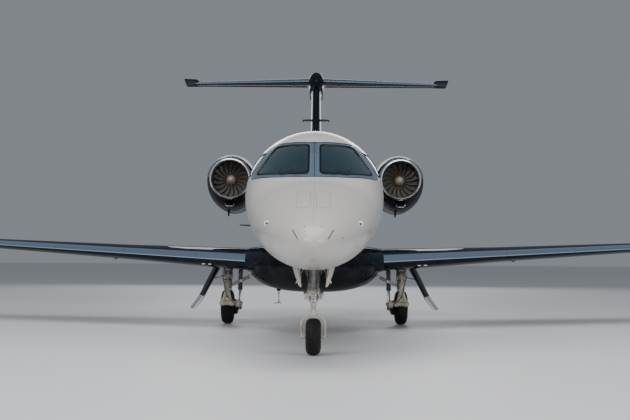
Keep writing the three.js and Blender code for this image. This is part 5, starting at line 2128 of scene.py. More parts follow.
@dataclass
class Tail:
    """The fin and rudder, the stabilizer and elevators, the bullet, and the fin below."""

    fin: Foil = field(
        default_factory=lambda: Foil(
            ((2.52, 10.96, 0.0, 3.26, 0.24), (3.0, 11.9, 0.0, 2.61, 0.235), (4.64, 13.18, 0.0, 1.89, 0.19)),
            standing=True,
        )
    )
    stabilizer: Foil = field(
        default_factory=lambda: Foil(
            (
                (0.0, 13.56, 4.885, 1.33, 0.15295),
                (2.55, 14.44, 4.962, 0.76, 0.0798),
                (2.95, 14.61, 4.972, 0.66, 0.0594),
            ),
            trim=0.09,
        )
    )
    # columns: station, half width, top, bottom
    bullet: tuple[tuple[float, ...], ...] = (
        (13.08, 0.02, 4.80, 4.76),
        (13.2, 0.105, 4.96, 4.69),
        (13.45, 0.158, 5.06, 4.64),
        (13.9, 0.165, 5.10, 4.64),
        (14.6, 0.150, 5.085, 4.645),
        (15.25, 0.090, 5.01, 4.68),
        (15.64, 0.014, 4.88, 4.85),
    )
    elevator_from: float = 0.26
    elevator_horn: float = 2.6
    elevator_to: float = 2.94
    elevator_share: float = 0.66
    droop: float = 8.0
    horn_rise: float = 0.044
    horn_reach: float = 0.3
    rudder_radii: tuple[float, float] = (0.065, 0.051)
    rudder_top: float = 4.6154
    # columns: station, height
    ventral: Steps = ((12.2, 1.8), (12.25, 1.44), (13.25, 1.29), (14.05, 1.56), (14.12, 2.12))
    ventral_thickness: float = 0.028
    ventral_edge: float = 0.03
    elevator_wicks: tuple[float, ...] = (1.5, 2.1, 2.7)
    rudder_wicks: tuple[float, ...] = (3.3, 3.8, 4.3)
    pod_span: float = 0.5
    pod_radii: tuple[float, ...] = (0.004, 0.018, 0.026, 0.028, 0.024, 0.016, 0.005)
    # columns: radius, distance behind the tail cone's end
    lamp: Steps = ((0.0, -0.03), (0.045, -0.02), (0.05, 0.0), (0.038, 0.03), (0.0, 0.045))

    def build(self) -> None:
        """Makes every piece."""
        self.upright()
        self.level()
        self.cover()
        self.details()
        LOG.info("tail")

    def upright(self) -> None:
        """The fin, the rudder and the fin below the tail cone."""
        whole = self.fin.body(
            [2.45, 2.52, 2.62, 2.75, 2.9, 3.0, 3.1, 3.3, *spread(3.6, 4.66, 4)]
        ).build("fin")
        at, along = joint("rudder_hinge")
        hinge = Hinge(
            "rudder_hinge", (self.rudder_top - at.z) / along.z, self.rudder_radii, reach=1.9, tall=0.45
        )
        rudder = hinge.surface(whole, "rudder_skin")
        carve(rudder, [FORM.body(9.3, 14.8, -0.007).build("cutter")])
        dressed(rudder, MIDNIGHT, "dark_paint", "rudder", ["rudder"])
        dressed(carve(whole, hinge.opening()), MIDNIGHT, "dark_paint", instead_of=["fin"]).name = "fin_skin"
        rings = []
        for share in (-1.0, -0.8, -0.3, 0.3, 0.8, 1.0):
            inset = math.sqrt(max(0.0, 1 - share * share)) * self.ventral_edge - self.ventral_edge
            outline = offset(self.ventral, inset)
            rings.append([Vector((share * self.ventral_thickness, y_at(s), z)) for s, z in outline])
        dressed(Mesh().loft(rings).build("ventral_skin"), MIDNIGHT, "dark_paint", instead_of=["ventral_fin"])

    @property
    def drooped(self) -> Matrix:
        """The turn that lays the left elevator on its parked stop."""
        at, along, _, _ = self.elevator_hinge().axes()
        return Matrix.Translation(at) @ Matrix.Rotation(
            math.radians(-self.droop), 4, along
        ) @ Matrix.Translation(-at)

    def elevator_hinge(self) -> Hinge:
        """The left elevator's hinge."""
        _, along = joint("elevator_hinge_left")
        inner, outer = (self.stabilizer.row(span) for span in (self.elevator_from, self.elevator_horn))
        radii = (inner[4] * 0.3, outer[4] * 0.3 * 0.75)
        return Hinge(
            "elevator_hinge_left", (self.elevator_to - self.elevator_from) / along.x, radii, 0.9, 0.25
        )

    def level(self) -> None:
        """The stabilizer and its elevators, which rest drooped on their stops."""
        spans = [0.0, 0.4, 0.9, 1.4, 1.9, 2.3, 2.55, 2.7, 2.85, 2.95]
        hinge = self.elevator_hinge()
        horn = (self.elevator_horn - self.elevator_from) / joint(hinge.name)[1].x
        left = self.stabilizer.body([-0.02, *spans]).build("stabilizer")
        parts = [
            carve(Fuselage.copy(left), [hinge.block(hinge.gap, hinge.length + 0.3)], keep=True),
            carve(Fuselage.copy(left), [hinge.block(horn + hinge.gap, hinge.length + 0.3, -0.7)], keep=True),
            hinge.nose(hinge.gap, hinge.length, 0.0),
        ]
        elevator = joined("elevator", parts)
        at, along, _, _ = hinge.axes()
        elevator.data.transform(self.drooped)
        for vertex in elevator.data.vertices:
            out = max(0.0, (vertex.co.x - self.elevator_horn) / (self.elevator_to - self.elevator_horn))
            ahead = max(0.0, at.y + (vertex.co.x - at.x) * along.y / along.x - vertex.co.y)
            vertex.co.z += self.horn_rise * out * min(1.0, ahead / self.horn_reach)
        dress_pair(elevator, "elevator_skin", MIDNIGHT, "dark_paint", "elevator", "elevator")
        cuts = [
            hinge.block(0.0, hinge.length + 0.3),
            hinge.nose(0.0, hinge.length + 0.3, hinge.gap),
            hinge.block(horn, hinge.length + 0.3, -0.7),
        ]
        left = carve(left, cuts)
        right = mirrored(left, "right half")
        whole = joined("stabilizer_skin", [left, right])
        dressed(whole, STABILIZER_SKIN, "dark_paint", instead_of=["stabilizer"])

    def cover(self) -> None:
        """The bullet over the joint of fin and stabilizer."""
        tracks = [Track(self.bullet, column) for column in (1, 2, 3)]
        rings = []
        for station in spread(self.bullet[0][0], self.bullet[-1][0], 44):
            half, top, bottom = (track(station) for track in tracks)
            mid, rise = (top + bottom) / 2, (top - bottom) / 2
            rings.append(
                [Vector((half * math.cos(a), y_at(station), mid + rise * math.sin(a))) for a in around(48)]
            )
        dressed(Mesh().loft(rings).build("bullet_skin"), MIDNIGHT, "dark_paint", instead_of=["tail_bullet"])

    def details(self) -> None:
        """Rod aerials on the fin, hinge fairings, static wicks and the tail lamp."""
        rods = Mesh()
        for side in Side:
            s = side.value
            root, tip = Vector((0.06 * s, y_at(12.90), 3.955)), Vector((0.26 * s, y_at(12.97), 3.965))
            for a, b, r in ((root, tip, 0.024), (tip, tip + Vector((0.012 * s, 0.02, -0.03)), 0.016)):
                rods.tube([a, (a + b) / 2, b], [r, r, r * 0.7], 10)
            high = Vector((0.126 * s, y_at(13.6), 4.76))
            path = [high, high + Vector((0.0, 0.04, -0.14)), high + Vector((0.0, 0.09, -0.27))]
            rods.tube(path, [0.017, 0.015, 0.009], 12)
        dressed(rods.build("fin_antennas"), HOSE, "tyre")
        row = self.stabilizer.row(self.pod_span)
        hinge = y_at(row[1] + row[3] * self.elevator_share)
        low = row[2] + 0.03 - row[4] * 0.36
        path = [Vector((self.pod_span, hinge - 0.45 + 0.06 * i, low + 0.05 * (i / 6) ** 2)) for i in range(7)]
        dress_pair(Mesh().tube(path, self.pod_radii, 14).build("pod"), "hinge_pods", MIDNIGHT, "dark_paint")
        edges = [self.drooped @ self.before(self.stabilizer.edge(span)) for span in self.elevator_wicks]
        dress_pair(self.wick_row(edges, -0.01).build("wicks"), "elevator_wicks", HOSE, "tyre", "elevator")
        edges = [self.before(self.fin.edge(z)) for z in self.rudder_wicks]
        dressed(self.wick_row(edges, 0.0).build("rudder_wicks"), HOSE, "tyre", "rudder")
        lamp = Mesh().turned(self.lamp, Vector((0.0, y_at(14.8), 2.302)), Axis.Y, 28, close=False)
        dressed(lamp.build("tail_lamp"), WHITE_LAMP, "glass")

    @staticmethod
    def before(edge: Vector) -> Vector:
        """A point just ahead of a trailing edge, where a wick is rooted."""
        return edge - Vector((0.0, 0.01, 0.0))

    @staticmethod
    def wick_row(roots: Sequence[Vector], drop: float) -> Mesh:
        """Static wicks that trail from their roots, each falling by a drop.

        Args:
            roots: Where each wick starts.
            drop: How far each falls.

        Returns:
            The wicks' mesh.
        """
        mesh = Mesh()
        for root in roots:
            mesh.tube([root, root + Vector((0.0, 0.12, drop))], [0.0035, 0.0012], 6)
        return mesh


@dataclass
class Fairing:
    """The fairing under the fuselage where the wings join, with the mast below it."""

    # columns: station, half width, top, bottom
    rows: tuple[tuple[float, ...], ...] = (
        (4.55, 0.12, 1.03, 0.985),
        (4.95, 0.26, 1.02, 0.915),
        (5.5, 0.62, 1.15, 0.72),
        (6.2, 0.90, 1.29, 0.60),
        (7.0, 1.01, 1.33, 0.56),
        (8.2, 1.02, 1.32, 0.56),
        (9.1, 0.96, 1.27, 0.60),
        (9.9, 0.70, 1.20, 0.74),
        (10.5, 0.30, 1.13, 0.96),
        (10.9, 0.10, 1.20, 1.13),
    )
    split: float = 0.42
    mast: tuple[float, float] = (-0.56, 7.3)
    # columns: height, scale of the mast's own fairing
    mast_base: Steps = ((0.72, 1.25), (0.66, 1.12), (0.60, 1.0), (0.575, 0.92), (0.567, 0.75))
    # columns: height, radius
    mast_post: Steps = ((0.60, 0.013), (0.50, 0.0095), (0.44, 0.008), (0.38, 0.008))
    foot_radii: tuple[float, ...] = (0.004, 0.006, 0.0075, 0.008, 0.008, 0.0075, 0.006, 0.004)

    def build(self) -> None:
        """Makes every piece."""
        dressed(self.belly(), BELLY, "dark_paint", instead_of=["wing_fairing"])
        self.belly_mast()
        LOG.info("fairing")

    def belly(self) -> bpy.types.Object:
        """The fairing's skin."""
        tracks = [Track(self.rows, column) for column in (1, 2, 3)]
        rings = []
        for station in spread(self.rows[0][0], self.rows[-1][0], 60):
            half, top, bottom = (track(station) for track in tracks)
            mid = top - (top - bottom) * self.split
            ring = []
            for angle in around(80):
                c, s = math.cos(angle), math.sin(angle)
                power, rise = (0.75, top - mid) if s > 0 else (0.8, mid - bottom)
                ring.append(Vector((squared(c, power) * half, y_at(station), mid + squared(s, power) * rise)))
            rings.append(ring)
        return Mesh().loft(rings).build("belly_skin")

    def belly_mast(self) -> None:
        """The mast under the belly: fairing, post and foot."""
        x, y = self.mast[0], y_at(self.mast[1])
        rings = []
        for z, scale in self.mast_base:
            outline = [
                (0.15 * math.cos(a), 0.034 * math.sin(a) * (1 - 0.35 * math.cos(a))) for a in around(28)
            ]
            rings.append([Vector((x + b * scale, y + a * scale, z)) for a, b in outline])
        dressed(Mesh().loft(rings).build("mast_base"), MIDNIGHT, "dark_paint")
        post = Mesh().tube(
            [Vector((x, y, z)) for z, _ in self.mast_post], [row[1] for row in self.mast_post], 16
        )
        post.tube([Vector((x, y, 0.545)), Vector((x, y, 0.52))], [0.017, 0.017], 16)
        foot = [Vector((x + d, y, 0.373 + 0.004 * math.cos(d * 40))) for d in spread(-0.086, 0.054, 7)]
        post.tube(foot, self.foot_radii, 12)
        for way in (-0.03, 0.03):
            post.tube([Vector((x + way, y, 0.376)), Vector((x, y, 0.43))], 0.0035, 8)
        dressed(post.build("mast_post"), STEEL, "gear_paint", instead_of=["belly_mast"])


# Engines


@dataclass
class Engines:
    """The nacelles with their inlets, scoops and pylons, the cores, and the fans."""

    x: float = 1.5
    z: float = 2.47
    front: float = 9.18
    fan_station: float = 9.56
    blades: int = 18
    vanes: int = 30
    sides: int = 72
    # columns: back from the lip, half width, height above the axis, depth below it
    cowl: tuple[tuple[float, ...], ...] = (
        (0.0, 0.336, 0.336, 0.336),
        (0.012, 0.354, 0.355, 0.357),
        (0.035, 0.366, 0.369, 0.377),
        (0.09, 0.382, 0.386, 0.41),
        (0.3, 0.420, 0.430, 0.5),
        (0.7, 0.447, 0.470, 0.555),
        (1.3, 0.450, 0.476, 0.565),
        (2.45, 0.360, 0.380, 0.42),
        (2.8, 0.300, 0.312, 0.32),
    )
    rib_count: int = 84
    mast_shift: float = 0.057
    bright: float = 0.016
    chrome: float = 0.10
    # columns: radius, back from the lip
    duct: tuple[tuple[float, float], ...] = (
        (0.336, 0.0),
        (0.3315, 0.004),
        (0.3215, 0.018),
        (0.3105, 0.042),
        (0.3075, 0.075),
        (0.3115, 0.16),
        (0.318, 0.3),
        (0.318, 0.56),
    )
    # columns: radius, along the axis from the fan
    spinner: tuple[tuple[float, float], ...] = (
        (0.0, -0.19),
        (0.014, -0.185),
        (0.03, -0.172),
        (0.047, -0.146),
        (0.062, -0.118),
        (0.075, -0.084),
        (0.084, -0.05),
        (0.090, -0.012),
        (0.092, 0.02),
        (0.092, 0.11),
    )
    # columns: radius, back from the lip
    core: Steps = (
        (0.0, 0.56), (0.30, 0.56), (0.318, 0.565), (0.318, 0.69), (0.29, 0.705), (0.225, 0.74), (0.225, 1.7),
        (0.16, 2.25), (0.075, 2.66), (0.03, 2.74), (0.0, 2.76),
    )
    pipe: Steps = ((0.268, 2.05), (0.272, 2.4), (0.262, 2.66), (0.258, 2.66), (0.262, 2.4), (0.258, 2.05))
    # columns: radius, along the axis from the fan
    fan_hub: Steps = ((0.0915, 0.0), (0.0915, 0.1), (0.07, 0.125), (0.0, 0.125))
    spinner_ring: Steps = ((0.0925, 0.0), (0.0945, 0.004), (0.0945, 0.016), (0.0925, 0.02))
    # columns: along the axis, across it, for one guide vane's section
    vane: Steps = ((-0.035, 0.014), (0.0, 0.003), (0.035, -0.004), (0.0, -0.001), (-0.034, 0.011))
    # columns: share of half the chord, share of the thickness, for one fan blade's section
    blade_section: Steps = (
        (-1.0, 0.0), (-0.6, 0.75), (0.0, 1.0), (0.6, 0.7), (1.0, 0.0), (0.6, 0.15), (0.0, 0.3), (-0.6, 0.25),
    )
    lean: float = 0.026
    # columns: station, height, chord and thickness of the pylon, as in a wing's table
    pylon_root: tuple[float, ...] = (9.95, 2.4, 2.3, 0.19)
    cowl_joints: tuple[float, ...] = (0.52, 1.72, 2.46)
    rib_line: tuple[float, ...] = (0.03, 0.05, 0.085, 0.13, 0.17)
    # columns: share of the scoop's width and of its height
    scoop_corners: Steps = ((-0.5, 0.0), (-0.3, -0.5), (0.3, -0.5), (0.5, 0.0), (0.3, 0.5), (-0.3, 0.5))
    scoop_size: tuple[float, float] = (0.165, 0.082)
    scoop_drop: float = 0.442
    # columns: back from the lip, scale, lift
    scoop_rim: tuple[Place, ...] = (
        (0.03, 0.92, 0.0), (0.010, 0.93, 0.0), (0.003, 0.955, 0.0), (0.002, 0.985, 0.0), (0.008, 1.02, 0.0),
    )
    scoop_body: tuple[Place, ...] = (
        (0.008, 1.02, 0.0), (0.03, 1.09, 0.0), (0.16, 1.24, 0.006), (0.30, 1.36, 0.02), (0.42, 1.40, 0.03),
        (0.62, 1.30, 0.05), (0.84, 0.9, 0.07),
    )
    scoop_throat: tuple[Place, ...] = ((0.020, 0.925, 0.0), (0.19, 0.86, 0.0))

    def build(self) -> None:
        """Makes every piece."""
        self.nacelle()
        self.seams()
        self.inlet()
        self.scoop()
        self.drain_masts()
        self.pylon()
        self.inside()
        self.fan()
        LOG.info("engines")

    def at(self, x: float, back: float, z: float) -> Vector:
        """A place measured from the middle of the left inlet's lip."""
        return Vector((self.x + x, y_at(self.front) + back, self.z + z))

    def hoop(self, back: float, inward: float = 0.0) -> Ring:
        """A section of the nacelle's skin.

        Args:
            back: The distance behind the lip.
            inward: The depth below the skin.

        Returns:
            The section.
        """
        half, above, below = (Track(self.cowl, column)(back) - inward for column in (1, 2, 3))
        return [
            self.at(half * math.cos(a), back, (above if math.sin(a) > 0 else below) * math.sin(a))
            for a in around(self.sides)
        ]

    def round_hoop(self, radius: float, back: float) -> Ring:
        """A round section on the engine's axis."""
        return [self.at(radius * math.cos(a), back, radius * math.sin(a)) for a in around(self.sides)]

    def nacelle(self) -> None:
        """The polished lip, the band behind it, whose upper half is a painted sky reflection, and the painted
        cowl with its exhaust rim.
        """
        lip = [self.hoop(back) for back in (0.0, 0.003, 0.007, 0.011, self.bright)]
        inner = [self.round_hoop(radius, back) for radius, back in reversed(self.duct[1:3])]
        bright = Mesh().loft([*inner, *lip], capped=False)
        dress_pair(bright.build("lip"), "inlet_lip", LIP_METAL, "polished_metal")
        band = [self.hoop(back) for back in (self.bright, 0.022, 0.03, 0.045, 0.06, 0.08, self.chrome)]
        # The band's upper half is a painted sky reflection on metal; its lower half is dark paint.
        dress_pair(Mesh().loft(band, capped=False).build("band"), "inlet_band", LIP_PAINT_AND_SKY, "polished_metal")
        skin = [self.hoop(back) for back in (self.chrome + 0.002, 0.13, *spread(0.18, 2.74, 34), 2.79)]
        tail = [self.hoop(2.795, 0.004), self.hoop(2.79, 0.012), self.hoop(2.7, 0.02), self.hoop(2.3, 0.05)]
        cowl = Mesh().loft([*skin, *tail], capped=False).build("cowl")
        dress_pair(cowl, "cowl_skin", MIDNIGHT, "dark_paint", node="nacelle")

    def seams(self) -> None:
        """The cowl's joints round the nacelle, and the two that run along it."""
        mesh, proud, radius = Mesh(), 0.0006, 0.0016
        for back in self.cowl_joints:
            ring = self.hoop(back, -proud)
            mesh.tube([*ring, ring[0]], radius, 4)
        for angle in (20, 160):
            turn = math.radians(angle)
            line = []
            for back in spread(*self.cowl_joints[:2], 16):
                half, above, _ = (Track(self.cowl, column)(back) + proud for column in (1, 2, 3))
                line.append(self.at(half * math.cos(turn), back, above * math.sin(turn)))
            mesh.tube(line, radius, 4)
        dress_pair(mesh.build("seams"), "cowl_seams", GAP_DARK, "dark_paint")

    def inlet(self) -> None:
        """The duct's dark lining and the fine ribs round its mouth."""
        liner = Mesh().loft([self.round_hoop(radius, back) for radius, back in self.duct[2:]], capped=False)
        dress_pair(liner.build("liner"), "inlet_liner", DARK_METAL, "engine_metal")
        ribs, radii = Mesh(), Track([(back, radius) for radius, back in self.duct], 1)
        line = [(back, radii(back) + 0.0005) for back in self.rib_line]
        for turn in around(self.rib_count):
            ribs.tube([self.at(r * math.cos(turn), back, r * math.sin(turn)) for back, r in line], 0.0028, 6)
        dress_pair(ribs.build("ribs"), "inlet_ribs", RIB_METAL, "engine_metal")

    def scoop_hoop(self, back: float, scale: float, lift: float) -> Ring:
        """A section of the scoop below the inlet.

        Args:
            back: The distance behind the lip.
            scale: The scale of the section.
            lift: How far it is raised.

        Returns:
            The section.
        """
        wide, tall = self.scoop_size
        corners = [(a * wide * scale, b * tall * scale) for a, b in self.scoop_corners]
        return [self.at(a, back, b - self.scoop_drop + lift) for a, b in rounded(corners, 0.012 * scale, 3)]

    def scoop(self) -> None:
        """The flattened six-sided scoop below the inlet, with its bright rim, and a black plug in its throat
        as painted shadow.
        """
        for rows, name, finish, slot, capped in (
            (self.scoop_rim, "scoop_rim", CHROME, "polished_metal", False),
            (self.scoop_body, "scoop_skin", MIDNIGHT, "dark_paint", False),
            (self.scoop_throat, "scoop_throat", PAINTED_SHADOW_BLACK, "dark_paint", True),
        ):
            made = Mesh().loft([self.scoop_hoop(*row) for row in rows], capped=capped).build(name)
            dress_pair(made, name, finish, slot)

    def drain_masts(self) -> None:
        """The short mast under each nacelle."""
        low = self.z - Track(self.cowl, 3)(0.6)
        for side in Side:
            top = Vector((self.x * side.value - self.mast_shift, y_at(self.front) + 0.60, low + 0.03))
            path = [top, top + Vector((0.0, 0.01, -0.05)), top + Vector((0.0, 0.045, -0.115))]
            mast = Mesh().tube(path, [0.021, 0.019, 0.014], 14).build(f"drain_mast_{side.tag}")
            dressed(mast, HOSE, "tyre")

    def pylon(self) -> None:
        """The pylon, a thick wing section from the fuselage into the nacelle."""
        made = Foil(((0.5, *self.pylon_root), (1.3, *self.pylon_root)), points=20).body(
            [0.52, 1.12]
        ).build("pylon")
        dress_pair(made, "pylon_skin", MIDNIGHT, "dark_paint", node="pylon")

    def inside(self) -> None:
        """The guide vanes behind the fan, the mixer and the tail cone in the exhaust; the vanes' near-black
        is partly painted shade seen between the blades.
        """
        where = self.at(0.0, 0.0, 0.0)
        core = Mesh().turned(self.core, where, Axis.Y, 56, close=False)
        dress_pair(core.build("core"), "core_skin", EXHAUST, "engine_metal", node="engine_core")
        pipe = Mesh().turned(self.pipe, where, Axis.Y, 64)
        dress_pair(pipe.build("pipe"), "exhaust_pipe", EXHAUST, "engine_metal")
        vanes = Mesh()
        for turn in around(self.vanes):
            out = Vector((math.cos(turn), 0.0, math.sin(turn)))
            across = Vector((-math.sin(turn), 0.0, math.cos(turn)))
            rings = [
                [where + out * radius + across * b + Vector((0.0, 0.51 + a, 0.0)) for a, b in self.vane]
                for radius in (0.10, 0.31)
            ]
            vanes.loft(rings)
        # Near-black vanes: partly dark metal, partly painted shade between the fan blades.
        dress_pair(vanes.build("vanes"), "guide_vanes", DARK_METAL, "engine_metal")

    def blade(self, turn: float) -> list[Ring]:
        """The sections of one swept, twisted fan blade.

        Args:
            turn: The blade's angle round the axis.

        Returns:
            The sections, from root to tip.
        """
        out = Vector((math.cos(turn), 0.0, math.sin(turn)))
        across = Vector((-math.sin(turn), 0.0, math.cos(turn)))
        rings = []
        for t in spread(0.0, 1.0, 9):
            radius = 0.075 + 0.221 * t + 0.015 * t
            chord = 0.047 + 0.020 * t + 0.008 * math.sin(math.pi * t)
            pitch = math.radians(32 + 24 * t)
            shift = -self.lean * math.sin(math.pi * t * 0.9) * 1.1
            back = 0.03 - 0.022 * t
            along = Vector((0.0, math.cos(pitch), 0.0)) + across * math.sin(pitch)
            flat = Vector((0.0, -math.sin(pitch), 0.0)) + across * math.cos(pitch)
            ring = []
            middle_of_chord = self.hub + out * radius + across * shift + Vector((0.0, back, 0.0))
            for s, rise in self.blade_section:
                thick = (0.010 - 0.006 * t) * rise + 0.005 * (1 - s * s)
                ring.append(middle_of_chord + along * (s * chord) + flat * thick)
            rings.append(ring)
        return rings

    @property
    def hub(self) -> Vector:
        """The middle of the left fan."""
        return Vector((self.x, y_at(self.fan_station), self.z))

    def fan(self) -> None:
        """The fan blades, the hub and the spinner."""
        blades = Mesh()
        for turn in around(self.blades):
            blades.loft(self.blade(turn))
        hub = Mesh().turned(self.fan_hub, self.hub, Axis.Y, 48, close=False)
        fan = joined("fan", [blades.build("blades", smooth=50.0), hub.build("hub")])
        dress_pair(fan, "fan_blades", FAN_METAL, "engine_metal", "fan", "fan")
        spinner = Mesh().turned(self.spinner, self.hub, Axis.Y, 56, close=False)
        dress_pair(spinner.build("spinner"), "spinner_skin", SPINNER_METAL, "engine_metal", "fan")
        band = Mesh().turned(self.spinner_ring, self.hub, Axis.Y, 56)
        dress_pair(band.build("band"), "spinner_band", STEEL, "engine_metal", "fan")


# Landing gear


def lerp(a: Sequence[float], b: Sequence[float], t: float) -> Vector:
    """The point a share of the way from one point to another."""
    return Vector(a).lerp(Vector(b), t)


def rod(
    mesh: Mesh, ends: tuple[Sequence[float], Sequence[float]], radii: Sequence[float], sides: int = 20
) -> None:
    """Adds a straight rod, with its radii spaced evenly along it."""
    last = len(radii) - 1
    mesh.tube([lerp(*ends, i / last) for i in range(last + 1)], radii, sides)


def stepped(
    mesh: Mesh, ends: tuple[Sequence[float], Sequence[float]], rows: Sequence[Point], sides: int = 24
) -> None:
    """Adds a rod whose radius changes at shares of its length, given as (share, radius) rows."""
    mesh.tube([lerp(*ends, share) for share, _ in rows], [radius for _, radius in rows], sides)


def hose(mesh: Mesh, points: Sequence[Sequence[float]], radius: float) -> None:
    """Adds a hose that runs smoothly through its points.

    Args:
        mesh: The mesh it is added to.
        points: The points.
        radius: The hose's radius.
    """
    path = []
    ends = [points[0], *points, points[-1]]
    for a, b, c, d in zip(ends, ends[1:], ends[2:], ends[3:]):
        for t in spread(0.0, 0.875, 7):
            p, q, r, s = (Vector(v) for v in (a, b, c, d))
            turn = 2 * q + (r - p) * t + (2 * p - 5 * q + 4 * r - s) * t * t + (3 * q - p - 3 * r + s) * t**3
            path.append(turn / 2)
    path.append(Vector(points[-1]))
    mesh.tube(path, radius, 8)


@dataclass
class Wheel:
    """A tyre and its rim, about an axis along X."""

    radius: float
    width: float
    rim: float
    at: Vector
    grooves: tuple[float, ...]
    holes: int
    disc: float
    barrel: float
    groove_deep: float = 0.007
    groove_wide: float = 0.0075

    def crown(self, x: float) -> float:
        """The tyre's radius at a distance from its middle."""
        share = min(1.0, abs(2 * x / self.width))
        return self.rim + (self.radius - self.rim) * (1 - share**2.9) ** (1 / 2.5)

    def profile(self) -> list[Point]:
        """The tyre's closed profile of (radius, along), with its grooves and sidewall rings."""
        half = self.width / 2
        stops = [half * math.sin(math.pi * t / 2) for t in spread(-1.0, 1.0, 44)]
        points = [(x, self.crown(x)) for x in stops]
        for middle_x in self.grooves:
            low, high = middle_x - self.groove_wide / 2, middle_x + self.groove_wide / 2
            points = [(x, r) for x, r in points if not low - 0.002 <= x <= high + 0.002]
            deep = self.crown(middle_x) - self.groove_deep
            points += [
                (low - 0.0012, self.crown(low)), (low, deep), (high, deep), (high + 0.0012, self.crown(high))
            ]
        points.sort()
        outer = [(r, x) for x, r in points[1:-1]]
        heel = self.barrel * 1.02
        return [(self.rim + 0.001, -heel), (self.rim + 0.008, -half * 0.93), *outer,
                (self.rim + 0.008, half * 0.93), (self.rim + 0.001, heel)]

    def tyre(self) -> bpy.types.Object:
        """The tyre."""
        mesh = Mesh().turned(self.profile(), self.at, Axis.X, 120)
        for sign in (-1, 1):
            for share, thick in ((0.30, 0.0016), (0.52, 0.0012)):
                radius = self.rim + (self.radius - self.rim) * share
                x = self.width / 2
                while self.crown(x) < radius and x > 0.01:
                    x -= 0.0005
                ring = [
                    (radius - 0.003, sign * (x - 0.002)), (radius, sign * (x + thick)),
                    (radius + 0.003, sign * (x - 0.004)),
                ]
                mesh.turned(ring, self.at, Axis.X, 120)
        return mesh.build("tyre", smooth=30.0)

    @property
    def reach(self) -> float:
        """The radius of the disc inside the barrel."""
        return self.rim - 0.028

    def spoke(self, angle: float, share: float) -> Vector:
        """A point at an angle round the axle, at a share of the disc's radius."""
        return self.at + Vector((0.0, math.cos(angle), math.sin(angle))) * self.reach * share

    def plate(self) -> bpy.types.Object:
        """The dished disc with its round holes."""
        x = self.disc
        profile = [
            (0.030, x - 0.012), (0.045, x - 0.012), (self.reach * 0.7, x - 0.020), (self.reach, x - 0.026),
            (self.reach, x - 0.012), (self.reach * 0.7, x - 0.006), (0.045, x + 0.004), (0.030, x + 0.004),
        ]
        through = Vector((0.08, 0.0, 0.0))
        cutters = []
        for angle in around(self.holes):
            where = self.spoke(angle, 0.74)
            cutters.append(
                Mesh().tube([where - through, where + through], self.reach * 0.135, 24).build("cutter")
            )
        return carve(Mesh().turned(profile, self.at, Axis.X, 64).build("disc"), cutters)

    def hub(self) -> bpy.types.Object:
        """The rim: a flanged barrel, the disc, its bolts and a cap."""
        b, r = self.barrel, self.rim
        flange = [(r - 0.016, b - 0.018), (r - 0.002, b - 0.010), (r - 0.002, b), (r - 0.010, b + 0.0015),
                  (r - 0.024, b - 0.012)]
        far = [(radius, -along) for radius, along in reversed(flange)]
        barrel = [*far[2:], (r - 0.022, -b * 0.3), (r - 0.022, b * 0.3), *flange, (r - 0.030, b * 0.3),
                  (r - 0.030, -b * 0.3), *far[:2]]
        made = self.plate()
        fittings = Mesh()
        for i in range(self.holes):
            root = self.spoke(
                2 * math.pi * (i + 0.5) / self.holes, 0.86
            ) + Vector((self.disc - 0.010, 0.0, 0.0))
            head, tip = root + Vector((0.010, 0.0, 0.0)), root + Vector((0.014, 0.0, 0.0))
            fittings.tube([root, head], 0.0065, 6)
            fittings.tube([head, tip], 0.0035, 10)
        cap = [(0.0, self.disc + 0.026), (0.018, self.disc + 0.024), (0.029, self.disc + 0.014),
               (0.032, self.disc), (0.032, -self.disc - 0.01), (0.0, -self.disc - 0.01)]
        fittings.turned(cap, self.at, Axis.X, 40, close=False)
        shell = Mesh().turned(barrel, self.at, Axis.X, 96).build("barrel")
        return joined("rim", [shell, made, fittings.build("fittings")])


